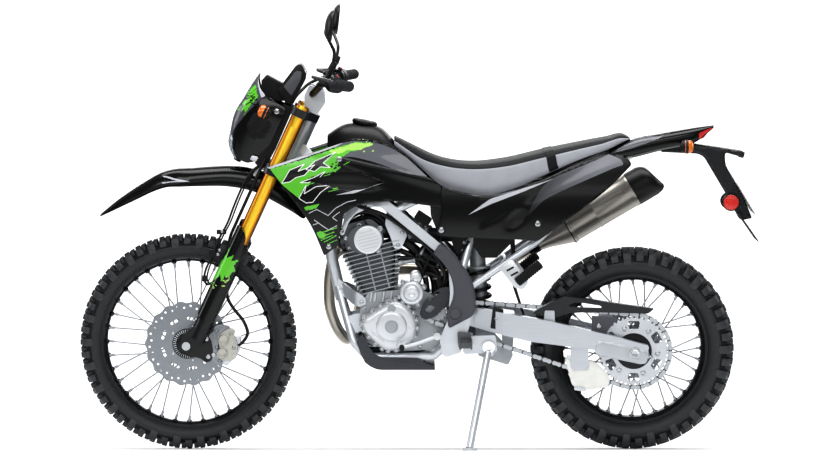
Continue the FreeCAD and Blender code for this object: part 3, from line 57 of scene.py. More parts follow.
def linear(colour):
    """Linear RGBA of an sRGB hex colour: x/12.92 below 0.04045, else ((x + 0.055)/1.055)^2.4."""
    values = np.array([int(colour[k:k + 2], 16) / 255 for k in (1, 3, 5)])
    bent = np.where(values <= 0.04045, values / 12.92, ((values + 0.055) / 1.055) ** 2.4)
    return (*bent.tolist(), 1.0)


def add(tree, kind, links=None, **settings):
    """Adds a node. A setting is a property or an input of that name; a link joins an input to an
    output, or to the first output that a node has open."""
    node = tree.nodes.new("ShaderNode" + kind)
    for name, value in settings.items():
        if hasattr(node, name):
            setattr(node, name, value)
        else:
            node.inputs[name.replace("_", " ")].default_value = value
    for name, source in (links or {}).items():
        if isinstance(source, bpy.types.Node):
            source = next(output for output in source.outputs if output.enabled)
        tree.links.new(node.inputs[name.replace("_", " ") if isinstance(name, str) else name],
                       source)
    return node


def new_finish(name):
    """An empty material with its output, and the tree's Object coordinates."""
    made = bpy.data.materials.new(name)
    made.use_nodes = True
    made.node_tree.nodes.clear()
    place = add(made.node_tree, "TexCoord").outputs["Object"]
    return made, made.node_tree, place


# Matt emulsion on board: flat white with faint roller marks about 8 mm apart. Three metres out it
# rises to the brightness of the air, as a studio's cove does, so that no horizon shows.
AIR_LIGHT, AIR_SEEN = 0.2, 1.25
floor_paint, tree, place = new_finish("floor_emulsion")
marks = add(tree, "TexNoise", {"Vector": place}, Scale=120.0, Detail=3.0)
relief = add(tree, "Bump", {"Height": marks}, Strength=0.08, Distance=0.0005)
shader = add(tree, "BsdfPrincipled", {"Normal": relief}, Base_Color=linear("#F4F5F6"),
             Roughness=0.75, Specular_IOR_Level=0.25)
ray = add(tree, "LightPath")
level = add(tree, "MapRange", {"Value": ray}, To_Min=AIR_LIGHT, To_Max=AIR_SEEN)
cove = add(tree, "Emission", {"Strength": level})
out = add(tree, "VectorMath", {0: place}, operation="LENGTH")
rise = add(tree, "MapRange", {"Value": out}, From_Min=1.3, From_Max=3.2,
           interpolation_type="SMOOTHSTEP")
joined = add(tree, "MixShader", {0: rise, 1: shader, 2: cove})
add(tree, "OutputMaterial", {"Surface": joined})
corner = np.array([[-40, -40, 0], [40, -40, 0], [40, 40, 0], [-40, 40, 0]], float)
floor_mesh = bpy.data.meshes.new("studio_floor")
floor_mesh.from_pydata(corner.tolist(), [], [(0, 1, 2, 3)])
floor_mesh.materials.append(floor_paint)
studio_floor = bpy.data.objects.new("studio_floor", floor_mesh)
bpy.context.scene.collection.objects.link(studio_floor)


def soft_box(name, at, towards, size, power):
    """A flat lamp of that size in metres, turned from its place towards a point."""
    lamp = bpy.data.lights.new(name, "AREA")
    lamp.shape, lamp.size, lamp.size_y, lamp.energy = "RECTANGLE", size[0], size[1], power
    held = bpy.data.objects.new(name, lamp)
    turn = (Vector(towards) - Vector(at)).to_track_quat("-Z", "Y").to_matrix().to_4x4()
    held.matrix_world = Matrix.Translation(at) @ turn
    bpy.context.scene.collection.objects.link(held)


soft_box("box_over", (0, -0.2, 4.2), (0, 0, 0), (5.0, 2.6), 190)
soft_box("box_left", (-0.3, -5.0, 3.0), (0, 0, 0.7), (6.0, 1.6), 125)
soft_box("strip_low", (0.0, -4.5, 0.9), (0, 0, 0.6), (7.0, 0.5), 16)
soft_box("box_front", (-5.0, 0.5, 2.4), (0, 0, 0.7), (2.5, 2.5), 70)
soft_box("box_rear", (5.0, 1.0, 2.6), (0, 0, 0.7), (2.5, 2.5), 70)
soft_box("box_right", (0.2, 5.0, 3.0), (0, 0, 0.6), (5.0, 2.0), 90)

sky = bpy.data.worlds.new("studio_air")
bpy.context.scene.world = sky
sky.use_nodes = True
sky.node_tree.nodes.clear()
ray = add(sky.node_tree, "LightPath")
level = add(sky.node_tree, "MapRange", {"Value": ray}, To_Min=AIR_LIGHT, To_Max=AIR_SEEN)
air = add(sky.node_tree, "Background", {"Strength": level}, Color=(1, 1, 1, 1))
add(sky.node_tree, "OutputWorld", {"Surface": air})


# Camera. It stands 10 m to the left with a long lens, as in the photograph, but low, because the
# machine leans towards it. The picture spans VIEW_WIDTH metres where the machine stands.
SENSOR, LENS_DISTANCE, LENS_HEIGHT, VIEW_WIDTH = 36.0, 10.0, 0.22, 2.574
camera_data = bpy.data.cameras.new("camera")
camera_data.sensor_width = SENSOR
camera_data.lens = SENSOR * LENS_DISTANCE / VIEW_WIDTH
camera = bpy.data.objects.new("camera", camera_data)
aim = Vector((-0.010, 0.090, 0.667))
stand_at = Vector((aim.x, aim.y - LENS_DISTANCE, LENS_HEIGHT))
turn = (aim - stand_at).to_track_quat("-Z", "Y").to_matrix().to_4x4()
camera.matrix_world = Matrix.Translation(stand_at) @ turn
bpy.context.scene.collection.objects.link(camera)
bpy.context.scene.camera = camera
bpy.context.scene.view_settings.view_transform = "Standard"
bpy.context.scene.view_settings.look = "Medium High Contrast"


# Tyres. Knobbly tubed tyres of black rubber, 21 inch in front and 18 inch behind: a smooth moulded
# carcass with blocks in rows across the crown and longer and shorter blocks by turns at the
# shoulders.

# The parked lean to the left, and the two axles' middles in upright millimetres.
LEAN = math.radians(8.0)
FRONT_AXLE, REAR_AXLE = np.array([0, 0, 338.405]), np.array([1380.0, 0, 317.703])
axle_place = next(joint["pos_m"] for joint in frame["joints"]
                  if joint["name"] == "front_wheel_spin")


def leaned(points):
    """Upright millimetres turned by the lean about x, in metres."""
    p = np.asarray(points, float) / 1000
    y, z = p[..., 1], p[..., 2]
    return np.stack([p[..., 0], y * math.cos(LEAN) - z * math.sin(LEAN),
                     y * math.sin(LEAN) + z * math.cos(LEAN)], -1)


def parked(points):
    """Row-frame metres of upright millimetres: leaned, then moved so that the front axle is on its
    joint."""
    return leaned(points) + (np.array(axle_place) - leaned(FRONT_AXLE))


def skin(points, round_u=False, round_v=False):
    """A grid of points (u, v, 3) with a quad on each cell, joined end to start round u or v where
    asked."""
    p = np.asarray(points, float)
    index = np.arange(p.shape[0] * p.shape[1]).reshape(p.shape[:2])
    index = np.concatenate([index, index[:1]], 0) if round_u else index
    index = np.concatenate([index, index[:, :1]], 1) if round_v else index
    quads = np.stack([index[:-1, :-1], index[1:, :-1], index[1:, 1:], index[:-1, 1:]],
                     -1).reshape(-1, 4)
    return p.reshape(-1, 3), quads


def through(knots, count):
    """A smooth line of count points through knots: on each span a cubic whose end slopes join the
    knots beside it."""
    k = np.asarray(knots, float)
    t = np.linspace(0, len(k) - 1, count)
    i = np.minimum(t.astype(int), len(k) - 2)
    s = (t - i)[:, None]
    a, b, c, d = (k[np.clip(i + n, 0, len(k) - 1)] for n in (-1, 0, 1, 2))
    return (b + s * (c - a) / 2 + s ** 2 * (2 * a - 5 * b + 4 * c - d) / 2
            + s ** 3 * (3 * b - a - 3 * c + d) / 2)


TURN = 2 * math.pi


def turned(profile, centre=(0, 0, 0), axis=(0, 1, 0), steps=48, closed=False):
    """A profile of (distance along the axis, radius) carried round the axis in equal steps."""
    profile, axis = np.asarray(profile, float), np.asarray(axis, float) / np.linalg.norm(axis)
    side = np.cross(axis, [0, 0, 1] if abs(axis[2]) < 0.9 else [1, 0, 0])
    side /= np.linalg.norm(side)
    angle = np.linspace(0, TURN, steps, endpoint=False)[:, None, None]
    spoke = np.cos(angle) * side + np.sin(angle) * np.cross(axis, side)
    return skin(np.asarray(centre) + profile[None, :, :1] * axis + profile[None, :, 1:] * spoke,
                True, closed)


def piece(name, parts, finishes, body, stands_for=(), slot=None, place=parked, wall=0.0, edge=0.0,
          crease=35):
    """One object of several (points, faces, finish number) parts. It can get a wall inwards and
    rounded edges in mm."""
    shift, places, corners, sizes, numbers = 0, [], [], [], []
    for part in parts:
        points, faces = np.asarray(part[0], float), np.asarray(part[1])
        places.append(points)
        corners.append((faces + shift).ravel())
        sizes.append(np.full(len(faces), faces.shape[1]))
        number = part[2] if len(part) > 2 else 0
        numbers.append(np.broadcast_to(number, (len(faces),)))
        shift += len(points)
    sizes = np.concatenate(sizes)
    mesh = bpy.data.meshes.new(name)
    mesh.vertices.add(shift)
    mesh.vertices.foreach_set("co", place(np.concatenate(places)).ravel())
    mesh.loops.add(int(sizes.sum()))
    mesh.loops.foreach_set("vertex_index", np.concatenate(corners))
    mesh.polygons.add(len(sizes))
    mesh.polygons.foreach_set("loop_start", np.concatenate([[0], np.cumsum(sizes)[:-1]]))
    mesh.polygons.foreach_set("material_index", np.concatenate(numbers))
    mesh.update(calc_edges=True)
    mesh.validate()
    for finish in finishes:
        mesh.materials.append(finish)
    loose = bmesh.new()
    loose.from_mesh(mesh)
    bmesh.ops.remove_doubles(loose, verts=loose.verts, dist=2e-6)
    bmesh.ops.recalc_face_normals(loose, faces=loose.faces)
    loose.to_mesh(mesh)
    loose.free()
    made = bpy.data.objects.new(name, mesh)
    bpy.context.scene.collection.objects.link(made)
    if wall:
        modifier = made.modifiers.new("wall", "SOLIDIFY")
        modifier.thickness, modifier.offset, modifier.use_even_offset = wall / 1000, -1, False
    if edge:
        modifier = made.modifiers.new("edge", "BEVEL")
        modifier.width, modifier.segments, modifier.limit_method = edge / 1000, 2, "ANGLE"
        modifier.angle_limit = math.radians(50)
    if wall or edge:
        bpy.context.view_layer.update()
        finished = bpy.data.meshes.new_from_object(
            made.evaluated_get(bpy.context.evaluated_depsgraph_get()))
        made.modifiers.clear()
        made.data = finished
        mesh = finished
    mesh.polygons.foreach_set("use_smooth", np.ones(len(mesh.polygons), bool))
    mesh.set_sharp_from_angle(angle=math.radians(crease))
    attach(made, body)
    if stands_for:
        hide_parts(*stands_for)
    return made


def blocks(section, half_length, angles, radius, slant=0.0, draft=1.2):
    """Tread blocks: a section of (y, r) points drawn out both ways round the wheel at each angle.
    The outer points stop short by the draft, and slant shifts a point round the wheel by that share
    of its y."""
    section = np.asarray(section, float)
    inner = section[:, 1] < section[:, 1].max() - 6
    reach = np.where(inner, half_length, half_length - draft)
    angle = (np.asarray(angles)[:, None, None]
             + (np.array([-1, 1])[None, :, None] * reach + slant * section[:, 0]) / radius)
    y, r = np.broadcast_to(section[:, 0], angle.shape), np.broadcast_to(section[:, 1], angle.shape)
    points = np.stack([r * np.cos(angle), y, r * np.sin(angle)], -1)
    n = len(section)
    ring = np.arange(n)
    sides = np.stack([ring, np.roll(ring, -1), np.roll(ring, -1) + n, ring + n], -1)
    caps = np.stack([ring[::-1], ring + n])
    base = (np.arange(len(angles)) * 2 * n)[:, None, None]
    return points.reshape(-1, 3), (sides + base).reshape(-1, 4), (caps + base).reshape(-1, n)


def tyre_finish(name, dark, light, smooth, rough):
    """Carbon-black rubber: near black, matt, dusty in clouds; the moulded grain is drawn 1 mm
    coarse so that it shows."""
    made, tree, place = new_finish(name)
    grain = add(tree, "TexNoise", {"Vector": place}, Scale=900.0, Detail=4.0, Roughness=0.6)
    cloud = add(tree, "TexNoise", {"Vector": place}, Scale=28.0, Detail=3.0)
    tone = add(tree, "Mix", {"Factor": cloud}, data_type="RGBA", A=linear(dark), B=linear(light))
    sheen = add(tree, "MapRange", {"Value": cloud}, To_Min=smooth, To_Max=rough)
    relief = add(tree, "Bump", {"Height": grain}, Strength=0.3, Distance=0.0004)
    shader = add(tree, "BsdfPrincipled", {"Base_Color": tone, "Roughness": sheen, "Normal": relief},
                 IOR=1.5)
    add(tree, "OutputMaterial", {"Surface": shader})
    return made


# Block faces are painted greyer than the wall, as painted highlight; the tread's floor between the
# blocks is painted near black, as painted shade.
TYRE_FINISHES = [tyre_finish("painted_highlight_block_rubber", "#232528", "#303337", 0.42, 0.58),
                 tyre_finish("tyre_wall_rubber", "#15171A", "#1E2023", 0.45, 0.6),
                 tyre_finish("painted_shade_tread_floor_rubber", "#060708", "#0B0C0D", 0.75, 0.9)]


def knobbly_tyre(name, body, axle, carcass, rows, radius, shade_radius):
    """The carcass's half section turned round the axle, with rows of blocks set on it. Carcass
    faces farther from the axle than the last argument, the tread's floor between the blocks, take
    the painted shade."""
    half = through(carcass, 26)
    line = np.concatenate([half, half[-2::-1] * [-1, 1]])
    wall, quads = turned(line, steps=180)
    height = np.linalg.norm(wall[quads].mean(1)[:, [0, 2]], axis=1)
    # Carcass faces farther out than the given radius lie between the blocks and take finish 2, the
    # painted shade.
    parts = [(wall, quads, np.where(height > shade_radius, 2, 1))]
    for section, half_length, angles, slant in rows:
        for side in (-1, 1):
            points, sides, caps = blocks(np.asarray(section) * [side, 1], half_length, angles,
                                         radius, slant * side)
            parts += [(points, sides, 0), (points, caps, 0)]
    parts = [(points + axle, faces, number) for points, faces, number in parts]
    return piece(name, parts, TYRE_FINISHES, body, (name,), edge=0.9, crease=30)


# Blocks in one row of each tyre, and spokes in each wheel.
FRONT_BLOCKS, REAR_BLOCKS, SPOKES = 52, 46, 36
pitch = TURN / FRONT_BLOCKS
steps = np.arange(FRONT_BLOCKS) * pitch
front_rows = [
    ([(1.5, 322), (1.5, 336.8), (10, 336.8), (13, 335.6), (13, 321)], 8.0, steps, 0.2),
    ([(11, 321), (11, 335.4), (22.5, 331.8), (22.5, 316)], 7.5, steps + pitch / 2, 0.2),
    ([(23, 312), (24.5, 331.0), (34, 326.2), (39.8, 315), (39.8, 302), (36, 295), (29, 300)],
      12.5, steps[::2], 0.0),
    ([(24, 312), (25.5, 330.6), (35.5, 325.0), (39.8, 317), (39.6, 309), (33, 304)],
      11.0, steps[1::2], 0.0)]
front_half = [(20.0, 268.5), (22, 271), (23.5, 272.5), (24.5, 271.8), (30, 277), (35, 288),
              (36.2, 298), (32.5, 307), (25, 314), (12, 321), (0, 323)]
knobbly_tyre("front_tyre", "front_wheel", FRONT_AXLE, front_half, front_rows, 330, 302)
pitch = TURN / REAR_BLOCKS
steps = np.arange(REAR_BLOCKS) * pitch
rear_rows = [
    ([(2, 298), (2, 316.9), (5, 316.9), (17, 314.8), (18.5, 297)], 11.5, steps, 0.15),
    ([(17, 297), (18, 314.4), (31, 309.8), (32.5, 290)], 10.0, steps + pitch / 2, 0.15),
    ([(32, 286), (34.5, 309), (48, 300.6), (55, 287), (55, 271), (51, 263), (43, 270)],
      13.0, steps[::2], 0.0),
    ([(33, 286), (36, 308.2), (50, 298.5), (55, 288), (54.6, 278), (46, 275)], 12.0, steps[1::2],
      0.0)]
rear_half = [(27.0, 230.5), (29, 233.5), (31, 235), (32.5, 234), (41, 240), (49, 254), (51, 268),
             (46, 281), (35, 291), (18, 297.5), (0, 299)]
knobbly_tyre("rear_tyre", "rear_wheel", REAR_AXLE, rear_half, rear_rows, 310, 274)


# Rims. Rolled aluminium, black anodised, with a drop centre and a small bulge punched out for each
# nipple. Seen between tyre and spokes as a dark satin ring with a bright edge.

# Black hard anodising: a metal with a dark oxide skin, satin, with fine rolling lines round it.
black_anodised, tree, place = new_finish("black_anodised_aluminium")
lines = add(tree, "TexNoise", {"Vector": place}, Scale=350.0, Detail=4.0)
smear = add(tree, "MapRange", {"Value": lines}, To_Min=0.28, To_Max=0.42)
relief = add(tree, "Bump", {"Height": lines}, Strength=0.1, Distance=0.0003)
shader = add(tree, "BsdfPrincipled", {"Roughness": smear, "Normal": relief},
             Base_Color=linear("#1D1E21"), Metallic=0.75, Coat_Weight=0.25, Coat_Roughness=0.25)
add(tree, "OutputMaterial", {"Surface": shader})


def rim(name, body, axle, bead, half):
    """A rolled section turned round the axle: flange, bead seat, well, and the wall that the spokes
    pull on."""
    inner = [(half + 2, bead + 12), (half + 3.4, bead + 9.5), (half + 2.6, bead + 3),
             (half + 1, bead - 4), (half - 4, bead - 7), (half - 8.5, bead - 10),
             (half - 11.5, bead - 14.5), (half - 15, bead - 15.8)]
    outer = [(half - 14, bead - 12), (half - 9, bead - 4), (half - 1.5, bead - 1),
             (half - 0.5, bead + 8)]
    line = [*inner, *[(-y, r) for y, r in inner[::-1]], *[(-y, r) for y, r in outer[::-1]], *outer]
    points, faces = turned(line, axle, steps=144, closed=True)
    bulge_at = np.arange(SPOKES) * TURN / SPOKES
    dome = [(-1.5, 9), (2.5, 8), (5.0, 5.2), (5.4, 0)]
    bulges = [turned(dome, axle + np.array([math.cos(a), 0, math.sin(a)]) * (bead - 15.5)
                     + [0, (-1) ** k * -5, 0], (-math.cos(a), 0, -math.sin(a)), 12)
              for k, a in enumerate(bulge_at)]
    return piece(name, [(points, faces), *bulges], [black_anodised], body, (name,), crease=32)


rim("front_rim", "front_wheel", FRONT_AXLE, 268.0, 20.5)
rim("rear_rim", "rear_wheel", REAR_AXLE, 230.0, 27.5)


# Hubs with their spokes. A cast and machined aluminium hub whose flanges carry 36 butted steel
# spokes in two crossing sets; each ends in a brass-cored nipple in the rim.

# Cast aluminium, bead blasted: light grey, satin, a fine even grain about 0.6 mm, drawn 1 mm
# coarse.
cast_aluminium, tree, place = new_finish("blasted_cast_aluminium")
grain = add(tree, "TexNoise", {"Vector": place}, Scale=1000.0, Detail=4.0, Roughness=0.65)
cloud = add(tree, "TexNoise", {"Vector": place}, Scale=18.0, Detail=3.0)
tone = add(tree, "Mix", {"Factor": cloud}, data_type="RGBA", A=linear("#B9BCC1"),
           B=linear("#D2D5D9"))
rough = add(tree, "MapRange", {"Value": grain}, To_Min=0.3, To_Max=0.5)
relief = add(tree, "Bump", {"Height": grain}, Strength=0.25, Distance=0.0003)
shader = add(tree, "BsdfPrincipled", {"Base_Color": tone, "Roughness": rough, "Normal": relief},
             Metallic=0.85)
add(tree, "OutputMaterial", {"Surface": shader})

# Stainless and zinc-plated steel: mid grey, drawn or turned, so bright with fine lines.
bright_steel, tree, place = new_finish("plated_steel")
lines = add(tree, "TexNoise", {"Vector": place}, Scale=700.0, Detail=3.0)
rough = add(tree, "MapRange", {"Value": lines}, To_Min=0.18, To_Max=0.34)
relief = add(tree, "Bump", {"Height": lines}, Strength=0.12, Distance=0.0002)
shader = add(tree, "BsdfPrincipled", {"Roughness": rough, "Normal": relief},
             Base_Color=linear("#B4B7BB"), Metallic=1.0)
add(tree, "OutputMaterial", {"Surface": shader})

# Spokes are drawn steel wire gone grey with handling: a metal with a soft sheen along its length.
spoke_steel, tree, place = new_finish("drawn_spoke_wire")
lines = add(tree, "TexNoise", {"Vector": place}, Scale=300.0, Detail=3.0)
tone = add(tree, "Mix", {"Factor": lines}, data_type="RGBA", A=linear("#8E939A"),
           B=linear("#A9ADB3"))
shader = add(tree, "BsdfPrincipled", {"Base_Color": tone}, Metallic=0.6, Roughness=0.4)
add(tree, "OutputMaterial", {"Surface": shader})


def rods(starts, ends, profile, sides=10):
    """Straight round pieces from starts to ends. profile is (share of the length, radius) from end
    to end."""
    starts, ends, profile = (np.asarray(given, float) for given in (starts, ends, profile))
    along = ends - starts
    unit = along / np.linalg.norm(along, axis=1)[:, None]
    side = np.cross(unit, [0.13, 1.0, 0.07])
    side /= np.linalg.norm(side, axis=1)[:, None]
    angle = np.linspace(0, TURN, sides, endpoint=False)
    spoke = (np.cos(angle)[None, :, None] * side[:, None] + np.sin(angle)[None, :, None]
             * np.cross(unit, side)[:, None])
    points = (starts[:, None, None] + profile[None, :, None, :1] * along[:, None, None]
              + profile[None, :, None, 1:] * spoke[:, None])
    _, quads = skin(points[0], round_v=True)
    size, n, m = points.shape[1] * sides, len(starts), points.shape[1]
    base = (np.arange(n) * size)[:, None, None]
    ring = np.arange(sides)
    caps = np.stack([ring[::-1], ring + (m - 1) * sides])
    points = points.reshape(-1, 3)
    return [(points, (quads + base).reshape(-1, 4)), (points, (caps + base).reshape(-1, sides))]


def laced_hub(name, body, axle, barrel, flange_radius, flange_y, rim_radius):
    """The hub's turned barrel, and 36 spokes that leave its flanges 52 degrees before or after
    their nipple."""
    k = np.arange(SPOKES)
    side = np.where(k % 2, -1, 1)
    outer = np.where((k // 2) % 2, 1, -1)
    at_rim = k * TURN / SPOKES
    at_hub = at_rim + outer * math.radians(52)
    y = side * (flange_y + outer * 2.2)
    starts = np.stack([flange_radius * np.cos(at_hub), y, flange_radius * np.sin(at_hub)],
                      -1) + axle
    ends = np.stack([rim_radius * np.cos(at_rim), side * 5.0, rim_radius * np.sin(at_rim)],
                    -1) + axle
    spokes = rods(starts, ends, [(0, 2.1), (0.925, 2.1), (0.926, 3.8), (0.998, 4.2)], 10)
    heads = rods(starts - np.array([0, 1, 0]) * (outer * side * 2.6)[:, None],
                 starts + np.array([0, 1, 0]) * (outer * side * 2.2)[:, None],
                 [(0, 1.8), (0.7, 2.6), (1, 3.4)], 10)
    body_parts = [(*turned(barrel, axle, steps=72, closed=True), 0)]
    return piece(name, body_parts + [(p, f, 1) for p, f in spokes + heads],
                 [cast_aluminium, spoke_steel], body, (name,), crease=38)


laced_hub("front_hub", "front_wheel", FRONT_AXLE,
          [(-56, 8.4), (-56, 27), (-55, 31), (-50, 31.5), (-49, 24), (-36, 22), (-34, 24),
           (-33.5, 38), (-27, 38), (-26, 36), (-24, 22), (0, 20), (24, 22), (26, 36), (27, 38),
           (33, 38), (33.5, 25), (40, 21), (44, 19), (44, 8.4)], 34.0, 30.0, 251.0)
laced_hub("rear_hub", "rear_wheel", REAR_AXLE,
          [(-75, 8.4), (-75, 61), (-74, 62), (-66, 62), (-65, 60), (-61, 42), (-44, 39),
           (-41.5, 42), (-41, 55), (-40, 56), (-36, 56), (-35, 55), (-33, 38), (-24, 31), (0, 30),
           (24, 31), (33, 38), (35, 55), (36, 56), (40, 56), (41, 55), (42, 40), (52, 37), (65, 37),
           (67, 47), (74, 48), (74, 8.4)], 51.0, 38.0, 213.0)


# Brake discs and rear sprocket. Stainless discs with a waved rim, ground across their faces, and a
# punched steel sprocket; all three keep their CAD solids and are bolted to the hubs.

# Ground stainless: grey, with grinding marks about 0.4 mm apart, drawn 1.5 mm coarse, and a swept
# sheen.
ground_stainless, tree, place = new_finish("ground_stainless")
marks = add(tree, "TexNoise", {"Vector": add(tree, "Mapping", {"Vector": place},
    Scale=(1, 0.2, 6))}, Scale=220.0, Detail=5.0)
rough = add(tree, "MapRange", {"Value": marks}, To_Min=0.25, To_Max=0.42)
relief = add(tree, "Bump", {"Height": marks}, Strength=0.12, Distance=0.0002)
tone = add(tree, "Mix", {"Factor": marks}, data_type="RGBA", A=linear("#73777C"),
           B=linear("#999DA2"))
shader = add(tree, "BsdfPrincipled", {"Base_Color": tone, "Roughness": rough, "Normal": relief},
             Metallic=0.9)
add(tree, "OutputMaterial", {"Surface": shader})


def refinish(names, finish):
    """Gives CAD nodes that keep their own solids a finish."""
    for name in names:
        frame["nodes"][name].data.materials.clear()
        frame["nodes"][name].data.materials.append(finish)


refinish(["front_disc", "rear_disc"], ground_stainless)
refinish(["rear_sprocket"], cast_aluminium)
refinish(["front_axle", "axle_bolts"], bright_steel)

# A toothed ring on the front disc's carrier tells the brakes the wheel's speed; a black cap covers
# the hub's end.
RING_TEETH, RING_FACE = 40, -62.4
tooth = np.arange(RING_TEETH) * TURN / RING_TEETH
out = np.stack([np.cos(tooth), 0 * tooth, np.sin(tooth)], -1)
inner_end, outer_end = (FRONT_AXLE + out * r + [0, RING_FACE, 0] for r in (35, 44.5))
ring_teeth = rods(inner_end, outer_end, [(0, 1.5), (1, 1.9)], 6)
speed_ring = [(*turned([(-60.2, 32), (-61.4, 32), (-61.4, 47), (-60.2, 47)], FRONT_AXLE, steps=96,
                       closed=True), 1)]
speed_ring += [turned([(0, 5), (3.4, 5), (4.4, 4), (4.4, 0)],
                      FRONT_AXLE + out[k] * 54 + [0, -59.4, 0], (0, -1, 0), 6)
               for k in range(0, RING_TEETH, 8)]
piece("speed_ring", speed_ring + ring_teeth, [bright_steel, black_anodised], "front_wheel",
      slot="front_disc")

# A black cover hides the rear hub's rubber drive inside the sprocket, which six flanged screws
# hold.
piece("drive_cover", [turned([(-81.3, 24), (-83.4, 24), (-83.9, 27), (-83.4, 50), (-82.6, 55),
                              (-81.3, 56)], REAR_AXLE, steps=72, closed=True)], [black_anodised],
      "rear_wheel", slot="rear_sprocket")
around = np.radians(53 + 60 * np.arange(6))
sprocket_screws = [turned([(0, 9), (1.4, 9), (2, 7), (6, 7), (6.6, 6), (6.0, 3.6), (6.0, 0)],
                          REAR_AXLE + np.array([75 * math.cos(a), -81.2, 75 * math.sin(a)]),
                          (0, -1, 0), 24) for a in around]
piece("sprocket_screws", sprocket_screws, [bright_steel], "rear_wheel", slot="rear_sprocket")
piece("front_hub_cap", [turned([(-56.5, 34), (-62, 34), (-65, 31), (-65.6, 26), (-64, 23),
                                (-65.6, 20), (-65.6, 9), (-56.5, 9)], FRONT_AXLE, steps=60,
                               closed=True)], [black_anodised], "front_wheel", slot="front_hub")


# Tank shrouds. Injection-moulded panels, black with a dark silver band that runs back under the
# seat. Each has a long vent with a light blade below it, and a printed film of green brush marks in
# front.


def outline(corners, step=7.0, bend=6):
    """A closed line of (x, z, radius) corners, each rounded by a parabola, with a point at least
    every step."""
    c = np.asarray(corners, float)
    at = c[:, :2]
    before, after = np.roll(at, 1, 0) - at, np.roll(at, -1, 0) - at
    lb, la = np.linalg.norm(before, axis=1)[:, None], np.linalg.norm(after, axis=1)[:, None]
    cut = np.minimum(np.maximum(c[:, 2:], 0.01), 0.48 * np.minimum(la, lb))
    t = np.linspace(0, 1, bend)[None, :, None]
    line = ((1 - t) ** 2 * (at + before / lb * cut)[:, None] + 2 * t * (1 - t) * at[:, None]
            + t ** 2 * (at + after / la * cut)[:, None]).reshape(-1, 2)
    line = np.concatenate([line, line[:1]])
    run = np.concatenate([[0], np.cumsum(np.linalg.norm(np.diff(line, axis=0), axis=1))])
    where = np.union1d(run, np.arange(0, run[-1], step))[:-1]
    where = where[np.concatenate([[True], np.diff(where) > 0.02])]
    return np.stack([np.interp(where, run, line[:, 0]), np.interp(where, run, line[:, 1])], -1)


def inside(points, loop):
    """Which points lie in a loop: its edges cross the line from such a point towards +x an odd
    number of times."""
    x, z = points[:, None, 0], points[:, None, 1]
    a, b = loop, np.roll(loop, -1, 0)
    crossed = (a[:, 1] > z) != (b[:, 1] > z)
    where = a[:, 0] + (z - a[:, 1]) * (b[:, 0] - a[:, 0]) / (b[:, 1] - a[:, 1] + 1e-9)
    return (crossed & (x < where)).sum(1) % 2 == 1


def eased(at, knots):
    """A smooth graph through (x, y) knots: cubic pieces that take at each knot the slope round
    it."""
    x, y = np.asarray(knots, float).T
    slope = np.gradient(y, x)
    at = np.asarray(at, float)
    i = np.clip(np.searchsorted(x, at) - 1, 0, len(x) - 2)
    h = x[i + 1] - x[i]
    s = np.clip((at - x[i]) / h, 0, 1)
    return ((1 + 2 * s) * (1 - s) ** 2 * y[i] + s * (1 - s) ** 2 * h * slope[i]
            + s ** 2 * (3 - 2 * s) * y[i + 1] + s ** 2 * (s - 1) * h * slope[i + 1])


def panel(edge, depth, holes=(), areas=(), lattice=9.0, number=0):
    """A sheet inside an outline seen from the side: triangles over a lattice of points that have
    the outline, the holes and each painted area's edge among their sides, every point set out to y
    = depth(x, z)."""
    loops = [edge, *holes, *[loop for loop, _ in areas]]
    low, high = edge.min(0), edge.max(0)
    x, z = np.meshgrid(np.arange(low[0], high[0], lattice),
                       np.arange(low[1], high[1], lattice * 0.87))
    x = x + (np.arange(len(x)) % 2)[:, None] * lattice / 2
    fill = np.stack([x.ravel(), z.ravel()], -1)
    fill = fill[inside(fill, edge)]
    drawn = np.concatenate(loops)
    gap = np.min(np.linalg.norm(fill[:, None] - drawn[None], axis=2), axis=1)
    fill = fill[gap > lattice * 0.4]
    starts = np.cumsum([0] + [len(loop) for loop in loops])
    sides = np.concatenate([np.stack([np.arange(n), np.roll(np.arange(n), -1)], -1) + s
                            for s, n in zip(starts, [len(loop) for loop in loops])])
    flat = np.concatenate([drawn, fill])
    found = delaunay_2d_cdt([Vector(p) for p in flat.tolist()], sides.tolist(), [], 0, 1e-5)
    flat, faces = np.array([tuple(p) for p in found[0]]), np.array(found[2])
    middle = flat[faces].mean(1)
    kept = inside(middle, edge)
    for hole in holes:
        kept &= ~inside(middle, hole)
    faces, middle = faces[kept], middle[kept]
    numbers = np.full(len(faces), number)
    for loop, colour in areas:
        numbers[inside(middle, loop)] = colour
    return np.stack([flat[:, 0], depth(flat[:, 0], flat[:, 1]), flat[:, 1]], -1), faces, numbers


def moulded(name, hex_colour, roughness, coat, grain):
    """Injection-moulded plastic: a clear gloss skin over the colour, waved a little by the mould,
    with fine dust."""
    made, tree, place = new_finish(name)
    wave = add(tree, "TexNoise", {"Vector": place}, Scale=14.0, Detail=2.0)
    dust = add(tree, "TexNoise", {"Vector": place}, Scale=grain, Detail=5.0, Roughness=0.65)
    rough = add(tree, "MapRange", {"Value": dust}, To_Min=roughness - 0.06, To_Max=roughness + 0.08)
    height = add(tree, "Math", {0: wave, 1: dust}, operation="MULTIPLY")
    relief = add(tree, "Bump", {"Height": height}, Strength=0.12, Distance=0.0008)
    base = np.array(linear(hex_colour))
    tone = add(tree, "Mix", {"Factor": dust}, data_type="RGBA", A=(*(base[:3] * 0.85), 1),
               B=(*(base[:3] * 1.15), 1))
    shader = add(tree, "BsdfPrincipled", {"Base_Color": tone, "Roughness": rough, "Normal": relief},
                 IOR=1.36, Coat_Weight=coat, Coat_Roughness=0.06)
    add(tree, "OutputMaterial", {"Surface": shader})
    return made


